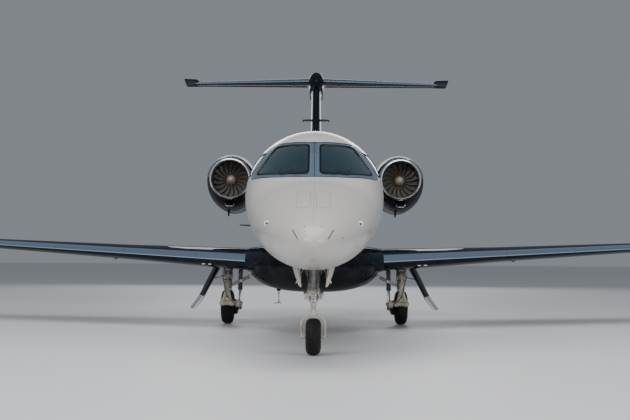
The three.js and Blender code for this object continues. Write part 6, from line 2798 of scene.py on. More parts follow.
@dataclass
class NoseGear:
    """The nose leg, its steered fork, its wheel and its doors."""

    station: float = 2.02
    wheel_radius: float = 0.207
    track: float = 0.130
    # columns: radius, height above the ground
    cone: Steps = (
        (0.0, 1.006), (0.118, 1.006), (0.112, 0.985), (0.080, 0.885), (0.066, 0.858), (0.064, 0.80),
        (0.060, 0.735), (0.056, 0.728), (0.0, 0.728),
    )
    collar: Steps = (
        (0.030, 0.590), (0.050, 0.590), (0.054, 0.596), (0.054, 0.622), (0.048, 0.628), (0.048, 0.652),
        (0.058, 0.658), (0.058, 0.676), (0.050, 0.682), (0.050, 0.716), (0.058, 0.720), (0.058, 0.734),
        (0.030, 0.734),
    )
    # columns: share of the length, radius
    drag_strut: Steps = (
        (0, 0.030), (0.08, 0.030), (0.1, 0.022), (0.55, 0.024), (0.57, 0.028), (0.62, 0.028), (0.64, 0.021),
        (1, 0.021),
    )
    ram: Steps = (
        (0, 0.012), (0.02, 0.020), (0.12, 0.020), (0.13, 0.017), (0.34, 0.017), (0.35, 0.008), (0.65, 0.008),
        (0.66, 0.017), (0.87, 0.017), (0.88, 0.020), (0.98, 0.020), (1, 0.012),
    )
    ram_bolt: Steps = ((0, 0.006), (0.05, 0.013), (0.3, 0.013), (0.32, 0.018), (1, 0.018))
    axle_boss: Steps = ((0, 0.016), (0.02, 0.022), (0.5, 0.022), (0.55, 0.026), (0.88, 0.026), (1, 0.021))
    axle: Steps = (
        (0, 0.008), (0.01, 0.012), (0.045, 0.012), (0.05, 0.0145), (0.95, 0.0145), (0.955, 0.012),
        (0.99, 0.012), (1, 0.008),
    )
    link_pin: Steps = ((0, 0.007), (0.04, 0.010), (0.96, 0.010), (1, 0.007))
    door_rod: Steps = ((0, 0.008), (0.5, 0.008), (0.52, 0.011), (0.9, 0.011), (1, 0.007))
    # columns: lowest and highest corner, as x, distance behind the leg, height
    lugs: tuple[tuple[Place, Place], ...] = (
        ((-0.104, -0.033, 0.622), (-0.052, 0.033, 0.655)),
        ((0.052, -0.033, 0.622), (0.104, 0.033, 0.655)),
        ((-0.060, -0.050, 0.660), (0.060, -0.036, 0.716)),
        ((-0.068, -0.030, 0.655), (-0.052, 0.030, 0.742)),
        ((0.052, -0.030, 0.655), (0.068, 0.030, 0.742)),
    )
    # columns: radius, then the hose's points, as x, distance behind the leg, height
    hoses: tuple[tuple[float, tuple[Place, ...]], ...] = (
        (0.0055, ((0.06, -0.05, 0.98), (0.075, -0.07, 0.86), (0.065, -0.075, 0.76), (0.105, -0.04, 0.70))),
        (
            0.0055,
            ((-0.05, -0.06, 0.98), (-0.058, -0.085, 0.86), (-0.075, -0.07, 0.74), (-0.100, -0.03, 0.70)),
        ),
        (0.004, ((0.02, -0.07, 0.97), (0.028, -0.085, 0.84), (0.03, -0.075, 0.74), (0.055, -0.055, 0.64))),
        (0.005, ((0.040, 0.07, 0.97), (0.055, 0.09, 0.80), (0.060, 0.06, 0.66))),
    )
    clamps: tuple[float, ...] = (0.80, 0.90, 0.955)
    # columns: radius, height above the axle
    crown: Steps = (
        (0.0, 0.238), (0.034, 0.238), (0.040, 0.246), (0.036, 0.262), (0.032, 0.296), (0.028, 0.302),
        (0.0, 0.302),
    )
    # columns: x, height above the axle
    arch_top: Steps = ((0.035, 0.246), (0.0, 0.249))
    # columns: x less the half track, height above the axle
    arch_side: Steps = (
        (-0.006, 0.0), (-0.005, 0.03), (-0.001, 0.08), (0.003, 0.14), (-0.006, 0.180), (-0.034, 0.212),
        (-0.066, 0.233),
    )
    # columns: x, height
    door: Steps = (
        (0.226, 1.01), (0.242, 1.01), (0.238, 0.95), (0.220, 0.86), (0.197, 0.765), (0.185, 0.765),
        (0.206, 0.86), (0.222, 0.95),
    )
    # columns: share of the door's length from its front, share of its depth
    door_ends: Steps = ((0.0, 0.9), (0.02, 1.0), (0.1, 1.0), (0.5, 0.93), (0.9, 0.74), (1.0, 0.68))
    door_top: float = 1.01

    def at(self, x: float, back: float, z: float) -> Vector:
        """A place measured from the leg along X and Y, and from the ground."""
        return Vector((x, y_at(self.station) + back, z))

    def build(self) -> None:
        """Makes every piece."""
        self.leg()
        self.collar_parts()
        self.pipes()
        self.fork()
        self.links()
        self.wheel()
        self.doors()
        LOG.info("nose gear")

    def leg(self) -> None:
        """The fixed leg: its cone with two side struts and the strut that runs forward, in dark grey that is
        partly painted shade under the nose.
        """
        cone = Mesh().turned(self.cone, self.at(0.0, 0.0, 0.0), Axis.Z, 40, close=False)
        for side in (-1, 1):
            rod(
                cone, (self.at(0.066 * side, -0.02, 1.0), self.at(0.045 * side, -0.02, 0.72)),
                (0.020, 0.016, 0.014), 16,
            )
        stepped(cone, (self.at(0.0, 0.0, 0.70), self.at(0.0, -0.36, 1.0)), self.drag_strut)
        dressed(cone.build("nose_leg_upper"), GEAR_GREY_AND_SHADE, "gear_paint", instead_of=["nose_gear_leg"])

    def collar_parts(self) -> None:
        """The steering collar with its lugs and the ram across it."""
        bright = Mesh().turned(
            self.collar, self.at(0.0, 0.0, 0.0), Axis.Z, 40
        ).build("nose_leg_collar", bevel=0.0015)
        dressed(bright, STEEL, "polished_metal")
        block = Mesh()
        for low, high in self.lugs:
            block.box(self.at(*low), self.at(*high))
        dressed(block.build("nose_leg_lugs", bevel=0.004), GEAR_PAINT, "gear_paint")
        ram = Mesh()
        stepped(ram, (self.at(-0.112, -0.010, 0.685), self.at(0.112, -0.010, 0.685)), self.ram)
        for side in (-1, 1):
            bolt = (self.at(0.080 * side, -0.045, 0.638), self.at(0.080 * side, -0.006, 0.638))
            stepped(ram, bolt, self.ram_bolt, 16)
            rod(
                ram, (self.at(0.086 * side, -0.03, 0.655), self.at(0.060 * side, -0.02, 0.72)),
                (0.008, 0.008), 10,
            )
        dressed(ram.build("nose_steering_ram"), STEEL, "polished_metal")

    def pipes(self) -> None:
        """The hoses down the leg and the clamps round it."""
        lines = Mesh()
        for radius, points in self.hoses:
            hose(lines, [self.at(*point) for point in points], radius)
        dressed(lines.build("nose_leg_hoses"), HOSE, "tyre")
        rings = Mesh()
        for z in self.clamps:
            radius = 0.066 + max(0.0, z - 0.86) * 0.34
            ring = [
                (radius, z - 0.005), (radius + 0.004, z - 0.004), (radius + 0.004, z + 0.004),
                (radius, z + 0.005),
            ]
            rings.turned(ring, self.at(0.0, 0.0, 0.0), Axis.Z, 40)
        dressed(rings.build("nose_leg_clamps"), STEEL, "polished_metal")

    def arch(self) -> list[Ring]:
        """The fork's sections along its arch."""
        half = [(self.track + inset, z) for inset, z in self.arch_side] + list(self.arch_top)
        outline = [*half, *((-x, z) for x, z in reversed(half[:-1]))]
        points = [(x, self.wheel_radius + z) for x, z in outline]
        rings = []
        for i, (x, z) in enumerate(points):
            a, b = points[max(i - 1, 0)], points[min(i + 1, len(points) - 1)]
            along = Vector((b[0] - a[0], 0.0, b[1] - a[1])).normalized()
            across = Vector((along.z, 0.0, -along.x))
            share = abs(i - 8) / 8
            thin, deep = 0.0105 + 0.003 * (1 - share), 0.018 + 0.012 * (1 - share) ** 2
            ring = []
            for turn in around(16):
                c, s = squared(math.cos(turn), 0.7), squared(math.sin(turn), 0.7)
                ring.append(self.at(x, 0.0, z) + across * c * thin + Vector((0.0, s * deep, 0.0)))
            rings.append(ring)
        return rings

    def fork(self) -> None:
        """The steered part: arched fork with its bosses, and the bright piston, axle and link pin."""
        r = self.wheel_radius
        mesh = Mesh().loft(self.arch())
        for side in (-1, 1):
            ends = (
                self.at((self.track - 0.042) * side, 0.0, r), self.at((self.track + 0.014) * side, 0.0, r)
            )
            stepped(mesh, ends, self.axle_boss, 28)
        mesh.turned(
            [(radius, r + z) for radius, z in self.crown], self.at(0.0, 0.0, 0.0), Axis.Z, 32, close=False
        )
        for x in (-0.022, 0.008):
            mesh.box(self.at(x, 0.02, r + 0.255), self.at(x + 0.014, 0.094, r + 0.290))
        dressed(mesh.build("nose_fork_skin"), GEAR_PAINT, "gear_paint", "nose_steering", ["nose_fork"])
        piston = [(0.0, r + 0.29), (0.0265, r + 0.29), (0.0265, 0.66), (0.0, 0.66)]
        shine = Mesh().turned(piston, self.at(0.0, 0.0, 0.0), Axis.Z, 32, close=False)
        stepped(
            shine, (self.at(-self.track - 0.030, 0.0, r), self.at(self.track + 0.030, 0.0, r)), self.axle, 20
        )
        stepped(
            shine, (self.at(-0.026, 0.080, r + 0.272), self.at(0.026, 0.080, r + 0.272)), self.link_pin, 14
        )
        dressed(shine.build("nose_piston"), STEEL, "polished_metal", "nose_steering")

    def links(self) -> None:
        """The torque links behind the piston, with the ring that carries the upper one."""
        r = self.wheel_radius
        mesh = Mesh()
        knee, low, high = (0.150, r + 0.315), (0.080, r + 0.272), (0.046, r + 0.362)
        for end in (low, high):
            for side in (-1, 1):
                rod(
                    mesh, (self.at(0.020 * side, *end), self.at(0.010 * side, *knee)), (0.009, 0.007, 0.009),
                    10,
                )
        for place, wide in ((knee, 0.022), (low, 0.03), (high, 0.034)):
            rod(mesh, (self.at(-wide, *place), self.at(wide, *place)), (0.011, 0.011), 16)
        ring = [(0.0268, r + 0.350), (0.036, r + 0.350), (0.036, r + 0.374), (0.0268, r + 0.374)]
        mesh.turned(ring, self.at(0.0, 0.0, 0.0), Axis.Z, 32)
        dressed(mesh.build("nose_torque_links"), GEAR_PAINT, "gear_paint", "nose_steering")

    def wheel(self) -> None:
        """The tyre and rim."""
        where = self.at(0.0, 0.0, self.wheel_radius)
        grooves = (-0.042, -0.014, 0.014, 0.042)
        wheel = Wheel(self.wheel_radius, 0.172, 0.108, where, grooves, holes=8, disc=0.026, barrel=0.060)
        dressed(wheel.tyre(), RUBBER, "tyre", "nose_wheel", ["nose_tyre"]).name = "nose_tyre_skin"
        dressed(wheel.hub(), WHEEL_METAL, "wheel_metal", "nose_wheel", ["nose_rim"]).name = "nose_rim_skin"

    @staticmethod
    def door_place(share: float) -> tuple[float, float]:
        """How far a share of the door's length lies outboard of its rear end, and behind the leg."""
        return -0.054 * (1 - share), -0.33 + 0.52 * share

    def doors(self) -> None:
        """The two narrow doors, with their hinge arms and rods."""
        rings = []
        for share, tall in self.door_ends:
            shift, back = self.door_place(share)
            rings.append(
                [self.at(x + shift, back, self.door_top - (self.door_top - z) * tall) for x, z in self.door]
            )
        door = Mesh().loft(rings).build("nose_door", bevel=0.002)
        dress_pair(door, "nose_door_skin", GEAR_PAINT, "gear_paint", node="nose_gear_door")
        arms = Mesh()
        for share in (0.12, 0.5, 0.86):
            shift, back = self.door_place(share)
            arm = (self.at(0.21 + shift, back, 0.985), self.at(0.190 + shift, back, 0.83))
            rod(arms, arm, (0.013, 0.010, 0.008), 12)
            pin = (self.at(0.206 + shift, back - 0.012, 0.88), self.at(0.190 + shift, back + 0.012, 0.88))
            rod(arms, pin, (0.014, 0.014), 12)
        stepped(arms, (self.at(0.10, -0.1, 0.985), self.at(0.196, -0.1, 0.80)), self.door_rod, 12)
        dress_pair(arms.build("arms"), "nose_door_arms", STEEL, "polished_metal")


@dataclass
class MainGear:
    """One main leg with its trailing arm, wheel and outer door, mirrored for the other side."""

    x: float = 1.425
    station: float = 8.11
    wheel_radius: float = 0.282
    # columns: x, y and z of both ends, measured from the left wheel and from the ground
    strut: tuple[Place, Place] = ((-0.030, -0.25, 1.01), (-0.020, -0.35, 0.56))
    cap: tuple[Place, Place] = ((-0.028, -0.243, 1.006), (-0.027, -0.29, 0.80))
    trunnion: tuple[Place, Place] = ((-0.09, -0.25, 0.90), (0.06, -0.25, 0.90))
    pivot: tuple[Place, Place] = ((-0.262, -0.41, 0.352), (0.094, -0.41, 0.352))
    damper: tuple[Place, Place] = ((-0.204, -0.09, 0.318), (-0.210, -0.03, 0.98))
    door_link: tuple[Place, Place] = ((0.02, -0.29, 0.80), (0.255, -0.17, 0.735))
    # the place of each splayed foot along X
    feet: tuple[float, ...] = (0.062, -0.092)
    arm_x: float = -0.194
    pivot_y: float = -0.41
    pivot_z: float = 0.352
    # columns: share of the length, radius
    strut_steps: Steps = (
        (0, 0.056), (0.18, 0.058), (0.2, 0.064), (0.3, 0.064), (0.32, 0.055), (0.55, 0.052), (0.72, 0.052),
        (0.74, 0.060), (0.92, 0.060), (1, 0.046),
    )
    foot_steps: Steps = ((0, 0.046), (0.2, 0.034), (0.75, 0.027), (0.88, 0.030), (1, 0.030))
    pivot_steps: Steps = (
        (0, 0.022), (0.02, 0.030), (0.08, 0.030), (0.09, 0.036), (0.12, 0.036), (0.125, 0.030), (0.36, 0.030),
        (0.38, 0.043), (0.52, 0.043), (0.54, 0.034), (0.80, 0.034), (0.82, 0.043), (0.985, 0.043), (1, 0.036),
    )
    trunnion_steps: Steps = (
        (0, 0.036), (0.03, 0.044), (0.25, 0.044), (0.27, 0.050), (0.73, 0.050), (0.75, 0.044), (0.97, 0.044),
        (1, 0.036),
    )
    cap_steps: Steps = (
        (0, 0.072), (0.3, 0.070), (0.34, 0.076), (0.5, 0.076), (0.54, 0.068), (0.96, 0.066), (1, 0.058),
    )
    brace_steps: Steps = (
        (0, 0.0085), (0.1, 0.0105), (0.48, 0.0105), (0.5, 0.0135), (0.54, 0.0135), (0.56, 0.0105),
        (0.92, 0.0105), (1, 0.0085),
    )
    arm_head: Steps = ((0, 0.052), (0.06, 0.061), (0.94, 0.061), (1, 0.052))
    arm_boss: Steps = ((0, 0.040), (0.08, 0.050), (0.9, 0.050), (1, 0.042))
    axle_steps: Steps = ((0, 0.020), (0.01, 0.027), (0.97, 0.027), (1, 0.022))
    damper_steps: Steps = (
        (0, 0.030), (0.02, 0.040), (0.10, 0.040), (0.12, 0.036), (0.62, 0.034), (0.64, 0.038), (0.72, 0.038),
        (0.74, 0.032), (1, 0.031),
    )
    rod_steps: Steps = ((0, 0.018), (0.15, 0.020), (0.2, 0.0235), (1, 0.0235))
    link_steps: Steps = ((0, 0.012), (0.06, 0.012), (0.1, 0.008), (0.9, 0.008), (0.94, 0.012), (1, 0.012))
    # columns: x, height of the web between the feet
    web: Steps = ((-0.066, 0.39), (0.036, 0.39), (0.014, 0.43), (-0.014, 0.455), (-0.044, 0.43))
    # columns: radius, then the hose's points, measured from the left wheel and from the ground
    hoses: tuple[tuple[float, tuple[Place, ...]], ...] = (
        (0.0055, (
            (0.03, -0.30, 0.99), (0.045, -0.345, 0.84), (0.035, -0.39, 0.68), (0.010, -0.425, 0.56),
            (-0.06, -0.47, 0.42), (-0.16, -0.45, 0.335), (-0.196, -0.30, 0.262), (-0.165, -0.12, 0.255),
        )),
        (0.0055, (
            (-0.08, -0.30, 0.99), (-0.095, -0.35, 0.80), (-0.085, -0.40, 0.62), (-0.13, -0.46, 0.44),
            (-0.215, -0.44, 0.31), (-0.228, -0.22, 0.250), (-0.165, -0.10, 0.36),
        )),
        (0.0035, ((0.05, -0.26, 0.98), (0.075, -0.30, 0.86), (0.055, -0.33, 0.72), (0.020, -0.36, 0.66))),
    )
    # columns: radius, distance along the axle from the wheel
    brake_plate: Steps = ((0.030, -0.164), (0.108, -0.164), (0.124, -0.156), (0.124, -0.152), (0.030, -0.152))
    # columns: x from the wheel, z; the upper dark part and the lower bright part
    door_upper: Steps = (
        (0.133, 1.01), (0.165, 1.01), (0.300, 0.742), (0.410, 0.520), (0.437, 0.474), (0.417, 0.466),
        (0.389, 0.510), (0.270, 0.742),
    )
    door_lower: Steps = (
        (0.436, 0.470), (0.500, 0.375), (0.585, 0.266), (0.588, 0.256), (0.579, 0.248), (0.568, 0.250),
        (0.484, 0.358), (0.417, 0.460),
    )
    # columns: x from the wheel, z, radius
    door_rib: tuple[Place, ...] = (
        (0.128, 0.95, 0.008), (0.262, 0.742, 0.013), (0.380, 0.515, 0.013), (0.408, 0.46, 0.013),
        (0.474, 0.362, 0.012), (0.548, 0.262, 0.006),
    )

    def at(self, x: float, y: float, z: float) -> Vector:
        """A place measured from the left wheel along X and Y, and from the ground."""
        return Vector((self.x + x, y_at(self.station) + y, z))

    def pair(self, *ends: Place) -> tuple[Vector, ...]:
        """Places measured from the left wheel."""
        return tuple(self.at(*end) for end in ends)

    def across(self, start: float, end: float, y: float, z: float) -> tuple[Vector, ...]:
        """Both ends of a bar along X."""
        return self.pair((start, y, z), (end, y, z))

    def build(self) -> None:
        """Makes every piece."""
        self.leg()
        self.brace()
        self.pipes()
        self.pins()
        self.arm()
        self.brake()
        self.damper_parts()
        self.wheel()
        self.door()
        LOG.info("main gear")

    def leg(self) -> None:
        """The strut with its upper part in dark grey, partly painted shade, its two splayed feet and the tube
        that the arm turns on.
        """
        mesh = Mesh()
        stepped(mesh, self.pair(*self.strut), self.strut_steps, 32)
        for foot in self.feet:
            stepped(
                mesh, self.pair((-0.020, -0.352, 0.59), (foot, self.pivot_y, self.pivot_z)), self.foot_steps,
                24,
            )
        stepped(mesh, self.pair(*self.pivot), self.pivot_steps, 32)
        stepped(mesh, self.pair(*self.trunnion), self.trunnion_steps, 28)
        front = self.at(0, -0.402, 0)

        def lean(x: float, z: float, deep: float) -> Vector:
            """A point of the web, which leans back as it rises."""
            return Vector((self.x + x, front.y + deep + (z - 0.4) * 0.25, z))

        mesh.prism(self.web, lean, -0.007, 0.007)
        for x in (-0.055, 0.018):
            mesh.tube(self.pair((x, -0.395, 0.585), (x, -0.335, 0.585)), [0.017, 0.017], 20)
        dress_pair(mesh.build("leg"), "main_leg_skin", GEAR_PAINT, "gear_paint", node="main_gear_leg")
        upper = Mesh()
        stepped(upper, self.pair(*self.cap), self.cap_steps, 32)
        dress_pair(upper.build("upper"), "main_leg_upper", GEAR_GREY_AND_SHADE, "gear_paint")

    def brace(self) -> None:
        """The twin-tube brace that runs inboard from the strut."""
        mesh = Mesh()
        for lift in (-0.016, 0.016):
            ends = self.pair((-0.030, -0.352, 0.622 + lift), (-0.420, -0.322, 0.800 + lift))
            stepped(mesh, ends, self.brace_steps, 14)
        for share in (0.05, 0.52, 0.93):
            where = self.at(-0.030 - 0.39 * share, -0.352 + 0.03 * share, 0.622 + 0.178 * share)
            mesh.tube([where - Vector((0, 0.016, 0)), where + Vector((0, 0.016, 0))], [0.024, 0.024], 18)
        dress_pair(mesh.build("brace"), "main_brace", STEEL, "polished_metal")

    def pipes(self) -> None:
        """The hoses of the leg and its brake."""
        lines = Mesh()
        for radius, points in self.hoses:
            hose(lines, self.pair(*points), radius)
        dress_pair(lines.build("lines"), "main_hoses", HOSE, "tyre")

    def pins(self) -> None:
        """The nuts on the arm's tube, and the clamps and bolts of the leg."""
        mesh = Mesh()
        for x in (0.088, -0.256):
            side = 1 if x > 0 else -1
            mesh.tube(self.across(x, x + 0.012 * side, self.pivot_y, self.pivot_z), [0.024, 0.024], 6)
            mesh.tube(
                self.across(x + 0.012 * side, x + 0.020 * side, self.pivot_y, self.pivot_z), [0.014, 0.012],
                16,
            )
        high, low = self.pair(*self.strut)
        along = (high - low).normalized()
        for share in (0.36, 0.62):
            where = low.lerp(high, share)
            mesh.tube([where - along * 0.008, where + along * 0.008], [0.061, 0.061], 32)
            mesh.tube(
                [where + Vector((0.0, -0.06, 0.0)), where + Vector((0.0, -0.078, 0.0))], [0.008, 0.008], 6
            )
        for x in (-0.055, 0.018):
            mesh.tube(self.pair((x, -0.404, 0.585), (x, -0.394, 0.585)), [0.012, 0.012], 6)
        dress_pair(mesh.build("pins"), "main_pins", STEEL, "polished_metal")

    def arm(self) -> None:
        """The trailing arm with its axle."""
        x, r = self.arm_x, self.wheel_radius
        rings = []
        for t in spread(0.0, 1.0, 12):
            tall = 0.056 - 0.018 * math.sin(math.pi * min(1.0, t * 1.15)) - 0.008 * t
            wide = 0.026 - 0.006 * math.sin(math.pi * t)
            z = self.pivot_z + (r - self.pivot_z) * t - 0.018 * math.sin(math.pi * t)
            where = self.at(x, self.pivot_y + 0.41 * t, z)
            rings.append([
                where + Vector((squared(math.cos(a), 0.6) * wide, 0.0, squared(math.sin(a), 0.6) * tall))
                for a in around(20)
            ])
        mesh = Mesh().loft(rings)
        stepped(mesh, self.across(x - 0.034, x + 0.034, self.pivot_y, self.pivot_z), self.arm_head, 36)
        stepped(mesh, self.across(x - 0.036, x + 0.03, 0, r), self.arm_boss, 32)
        mesh.tube(self.across(-0.228, -0.180, -0.09, 0.318), [0.030, 0.030], 24)
        dress_pair(mesh.build("arm"), "trailing_arm_skin", GEAR_PAINT, "gear_paint", node="trailing_arm")
        axle = Mesh()
        stepped(axle, self.across(x - 0.036, 0.090, 0, r), self.axle_steps, 28)
        dress_pair(axle.build("axle"), "main_axle", STEEL, "wheel_metal")

    def brake(self) -> None:
        """The stack of brake discs inside the wheel, and the pistons that press on it."""
        r = self.wheel_radius
        mesh = Mesh()
        for i in range(7):
            a = -0.150 + 0.0105 * i
            radius = 0.126 if i % 2 else 0.118
            disc = [(0.055, a), (radius, a), (radius, a + 0.0065), (0.055, a + 0.0065)]
            mesh.turned(disc, self.at(0, 0, r), Axis.X, 56)
        mesh.turned(self.brake_plate, self.at(0, 0, r), Axis.X, 56)
        dress_pair(mesh.build("brake"), "brake_discs", DARK_METAL, "wheel_metal")
        cups = Mesh()
        for i in range(5):
            angle = math.radians(30 + 72 * i)
            where = self.at(-0.162, 0.088 * math.cos(angle), r + 0.088 * math.sin(angle))
            cups.tube([where, where - Vector((0.012, 0.0, 0.0))], [0.019, 0.016], 22)
            cups.tube(
                [where - Vector((0.012, 0.0, 0.0)), where - Vector((0.018, 0.0, 0.0))], [0.009, 0.009], 6
            )
        dress_pair(cups.build("cups"), "brake_pistons", GEAR_PAINT, "gear_paint")

    def damper_parts(self) -> None:
        """The damper behind the strut, with its bright rod; the body's dark grey is partly a painted shadow.
        """
        low, high = self.pair(*self.damper)
        body, shine = Mesh(), Mesh()
        stepped(body, (low.lerp(high, 0.36), high), self.damper_steps, 28)
        body.tube([low - Vector((0.026, 0, 0)), low + Vector((0.026, 0, 0))], [0.024, 0.024], 24)
        dress_pair(body.build("damper"), "damper_body", GEAR_GREY_AND_SHADE, "gear_paint")
        stepped(shine, (low, low.lerp(high, 0.38)), self.rod_steps, 28)
        dress_pair(shine.build("rod"), "damper_rod", CHROME, "polished_metal")

    def wheel(self) -> None:
        """The tyre and rim."""
        where = self.at(0.0, 0.0, self.wheel_radius)
        grooves = (-0.054, -0.018, 0.018, 0.054)
        wheel = Wheel(self.wheel_radius, 0.208, 0.142, where, grooves, holes=9, disc=0.052, barrel=0.072)
        dress_pair(wheel.tyre(), "main_tyre_skin", RUBBER, "tyre", "main_wheel", "main_tyre")
        dress_pair(wheel.hub(), "main_rim_skin", WHEEL_METAL, "wheel_metal", "main_wheel", "main_rim")

    @staticmethod
    def door_place(share: float) -> tuple[float, float]:
        """How far a share of the door's length is shifted outboard, and where it lies along the aircraft."""
        return -0.055 + 0.10 * share, -0.33 + 0.39 * share

    def panel(self, outline: Sequence[Point]) -> Mesh:
        """A door panel: an outline carried from the door's front edge to its rear one.

        Args:
            outline: The outline of the panel's section.

        Returns:
            The panel's mesh.
        """
        rings = []
        for share in (0.0, 0.03, 0.25, 0.5, 0.75, 0.97, 1.0):
            inset = 0.004 if share in (0.0, 1.0) else 0.0
            shift, y = self.door_place(share)
            rings.append([self.at(x + shift, y, z) for x, z in offset(outline, -inset)])
        return Mesh().loft(rings)

    def door(self) -> None:
        """The outer door: dark above, bright below, with ribs and a rod to the leg."""
        upper = self.panel(self.door_upper).build("door")
        dress_pair(upper, "main_door_upper", MIDNIGHT, "dark_paint", node="main_gear_door")
        lower = self.panel(self.door_lower).build("door")
        dress_pair(lower, "main_door_lower", CHROME, "polished_metal")
        ribs = Mesh()
        for share in (0.15, 0.5, 0.85):
            shift, y = self.door_place(share)
            ribs.tube(
                [self.at(x + shift, y, z) for x, z, _ in self.door_rib], [row[2] for row in self.door_rib], 10
            )
        dress_pair(ribs.build("ribs"), "main_door_ribs", GEAR_GREY_AND_SHADE, "gear_paint")
        link = Mesh()
        stepped(link, self.pair(*self.door_link), self.link_steps, 14)
        dress_pair(link.build("link"), "main_door_rod", STEEL, "polished_metal")


# Small things on the skin


@dataclass
class SkinDetails:
    """Seams, slots, ports, bosses, the side rod and aerials on the fuselage."""

    # columns: x and z of the seam's ends
    nose_seam: tuple[float, ...] = (0.0, 1.955, 0.0, 1.42)
    joints: tuple[float, ...] = (9.62, 11.9, 13.55)
    seam_proud: float = 0.0002
    seam_radius: float = 0.0010
    # columns: x from, x to, z from, z to
    hatches: tuple[tuple[float, ...], ...] = ((-0.176, -0.036, 1.58, 1.772), (0.026, 0.166, 1.58, 1.772))
    # columns: x and z of each slot's ends
    slots: tuple[tuple[float, ...], ...] = ((-0.205, 1.355, -0.146, 1.25), (0.194, 1.355, 0.133, 1.25))
    # columns: x, z, radius
    ports: tuple[tuple[float, ...], ...] = (
        (-0.085, 1.381, 0.006),
        (0.075, 1.381, 0.006),
        (-0.082, 1.335, 0.005),
        (0.280, 1.273, 0.009),
    )
    # columns: radius, along the aircraft from the middle
    boss: tuple[Point, ...] = (
        (0.0, -0.050), (0.016, -0.048), (0.026, -0.038), (0.034, -0.015), (0.036, 0.02), (0.024, 0.08),
        (0.0, 0.12),
    )
    # columns: x, z
    bosses: tuple[Point, ...] = ((-0.482, 1.431), (0.482, 1.431))
    boss_sink: float = 0.008
    slot_radii: tuple[float, ...] = (0.002, 0.0042, 0.0046, 0.0046, 0.0046, 0.0046, 0.0046, 0.0042, 0.002)
    static_stations: tuple[float, ...] = (2.55, 2.68)
    static_height: float = 1.42
    # columns: share of the aerial's height, scale of its section
    blade_rows: Steps = ((-0.06, 1.15), (0.0, 1.1), (0.04, 1.0), (0.5, 0.82), (0.93, 0.62), (1.0, 0.5))
    blade_sweep: float = 0.09
    # columns: station, whether it stands on top, chord, height
    blades: tuple[tuple[float, bool, float, float], ...] = (
        (5.3, True, 0.24, 0.17), (9.0, True, 0.20, 0.13), (3.6, False, 0.20, 0.13), (4.25, False, 0.13, 0.08),
    )
    # columns: radius, height above the cabin's top
    top_beacon: Steps = (
        (0.0, 0.055), (0.022, 0.052), (0.042, 0.036), (0.050, 0.010), (0.052, -0.01), (0.0, -0.01),
    )
    top_disc: Steps = ((0.0, 0.004), (0.075, 0.003), (0.082, -0.006), (0.0, -0.008))
    # columns: radius, height above the ground
    belly_beacon: Steps = ((0.0, 0.525), (0.022, 0.528), (0.042, 0.542), (0.050, 0.565), (0.0, 0.575))

    def build(self) -> None:
        """Makes every piece."""
        self.seams()
        self.nose_slots()
        self.nose_bosses()
        self.probes()
        self.aerials()
        LOG.info("skin details")

    @staticmethod
    def front_line(ends: Sequence[float], count: int, proud: float) -> list[Vector]:
        """Points on the nose along a straight line of the view from ahead."""
        x0, z0, x1, z1 = ends
        return [FORM.front(x0 + (x1 - x0) * t, z0 + (z1 - z0) * t, proud) for t in spread(0.0, 1.0, count)]

    def seams(self) -> None:
        """Panel seams of the nose and round the fuselage, as thin raised sealant lines."""
        mesh = Mesh()
        mesh.tube(self.front_line(self.nose_seam, 40, self.seam_proud), self.seam_radius, 6)
        for x0, x1, z0, z1 in self.hatches:
            outline = rounded([(x0, z0), (x1, z0), (x1, z1), (x0, z1)], 0.016, 4)
            path = [FORM.front(x, z, self.seam_proud) for x, z in spaced(outline, 0.012)]
            mesh.tube([*path, path[0]], self.seam_radius, 6)
        for station in self.joints:
            ring = FORM.ring(station, -self.seam_proud)
            mesh.tube([*ring, ring[0]], 0.0011, 6)
        dressed(mesh.build("skin_seams"), GAP_DARK, "dark_paint")

    @staticmethod
    def peg(mesh: Mesh, at: Vector, radius: float, sides: int) -> None:
        """Adds a flat round plate that stands just proud of the skin."""
        out = FORM.normal(at)
        mesh.tube([at - out * 0.002, at + out * 0.0012], [radius, radius], sides)

    def nose_slots(self) -> None:
        """The slanted slots and the small ports of the nose."""
        mesh = Mesh()
        for ends in self.slots:
            mesh.tube(self.front_line(ends, 8, 0.0), self.slot_radii, 10)
        for x, z, radius in self.ports:
            self.peg(mesh, FORM.front(x, z), radius, 18)
        dressed(mesh.build("nose_slots"), GAP_DARK, "dark_paint")

    def nose_bosses(self) -> None:
        """The two white bosses of the nose, each with a rimmed port in its front."""
        bosses, rims, holes = Mesh(), Mesh(), Mesh()
        for x, z in self.bosses:
            at = FORM.front(x, z)
            at -= FORM.normal(at) * self.boss_sink
            bosses.turned(self.boss, at, Axis.Y, 40, close=False)
            front = at + Vector((0.0, self.boss[1][1], 0.0))
            for mesh, radius, deep in ((rims, 0.0135, 0.003), (holes, 0.0085, 0.0038)):
                mesh.tube([front, front - Vector((0.0, deep, 0.0))], [radius, radius], 24)
        dressed(bosses.build("nose_bosses"), BOSS_PAINT, "white_paint")
        dressed(holes.build("nose_boss_ports"), GAP_DARK, "dark_paint")
        dressed(rims.build("nose_boss_rims"), STEEL, "polished_metal")

    def probes(self) -> None:
        """Static ports on both sides, and the rod on the right."""
        mesh = Mesh()
        for side in Side:
            for station in self.static_stations:
                self.peg(mesh, FORM.flank(station, self.static_height, side.value), 0.018, 28)
        dressed(mesh.build("static_ports"), STEEL, "polished_metal")
        root, out = Vector((-0.83, y_at(4.1), 1.50)), Vector((-0.14, -0.012, 0.006))
        path = [root, root + out * 0.4, root + out, root + out * 1.02]
        dressed(Mesh().tube(path, [0.012, 0.010, 0.007, 0.0035], 14).build("side_probe"), HOSE, "tyre")

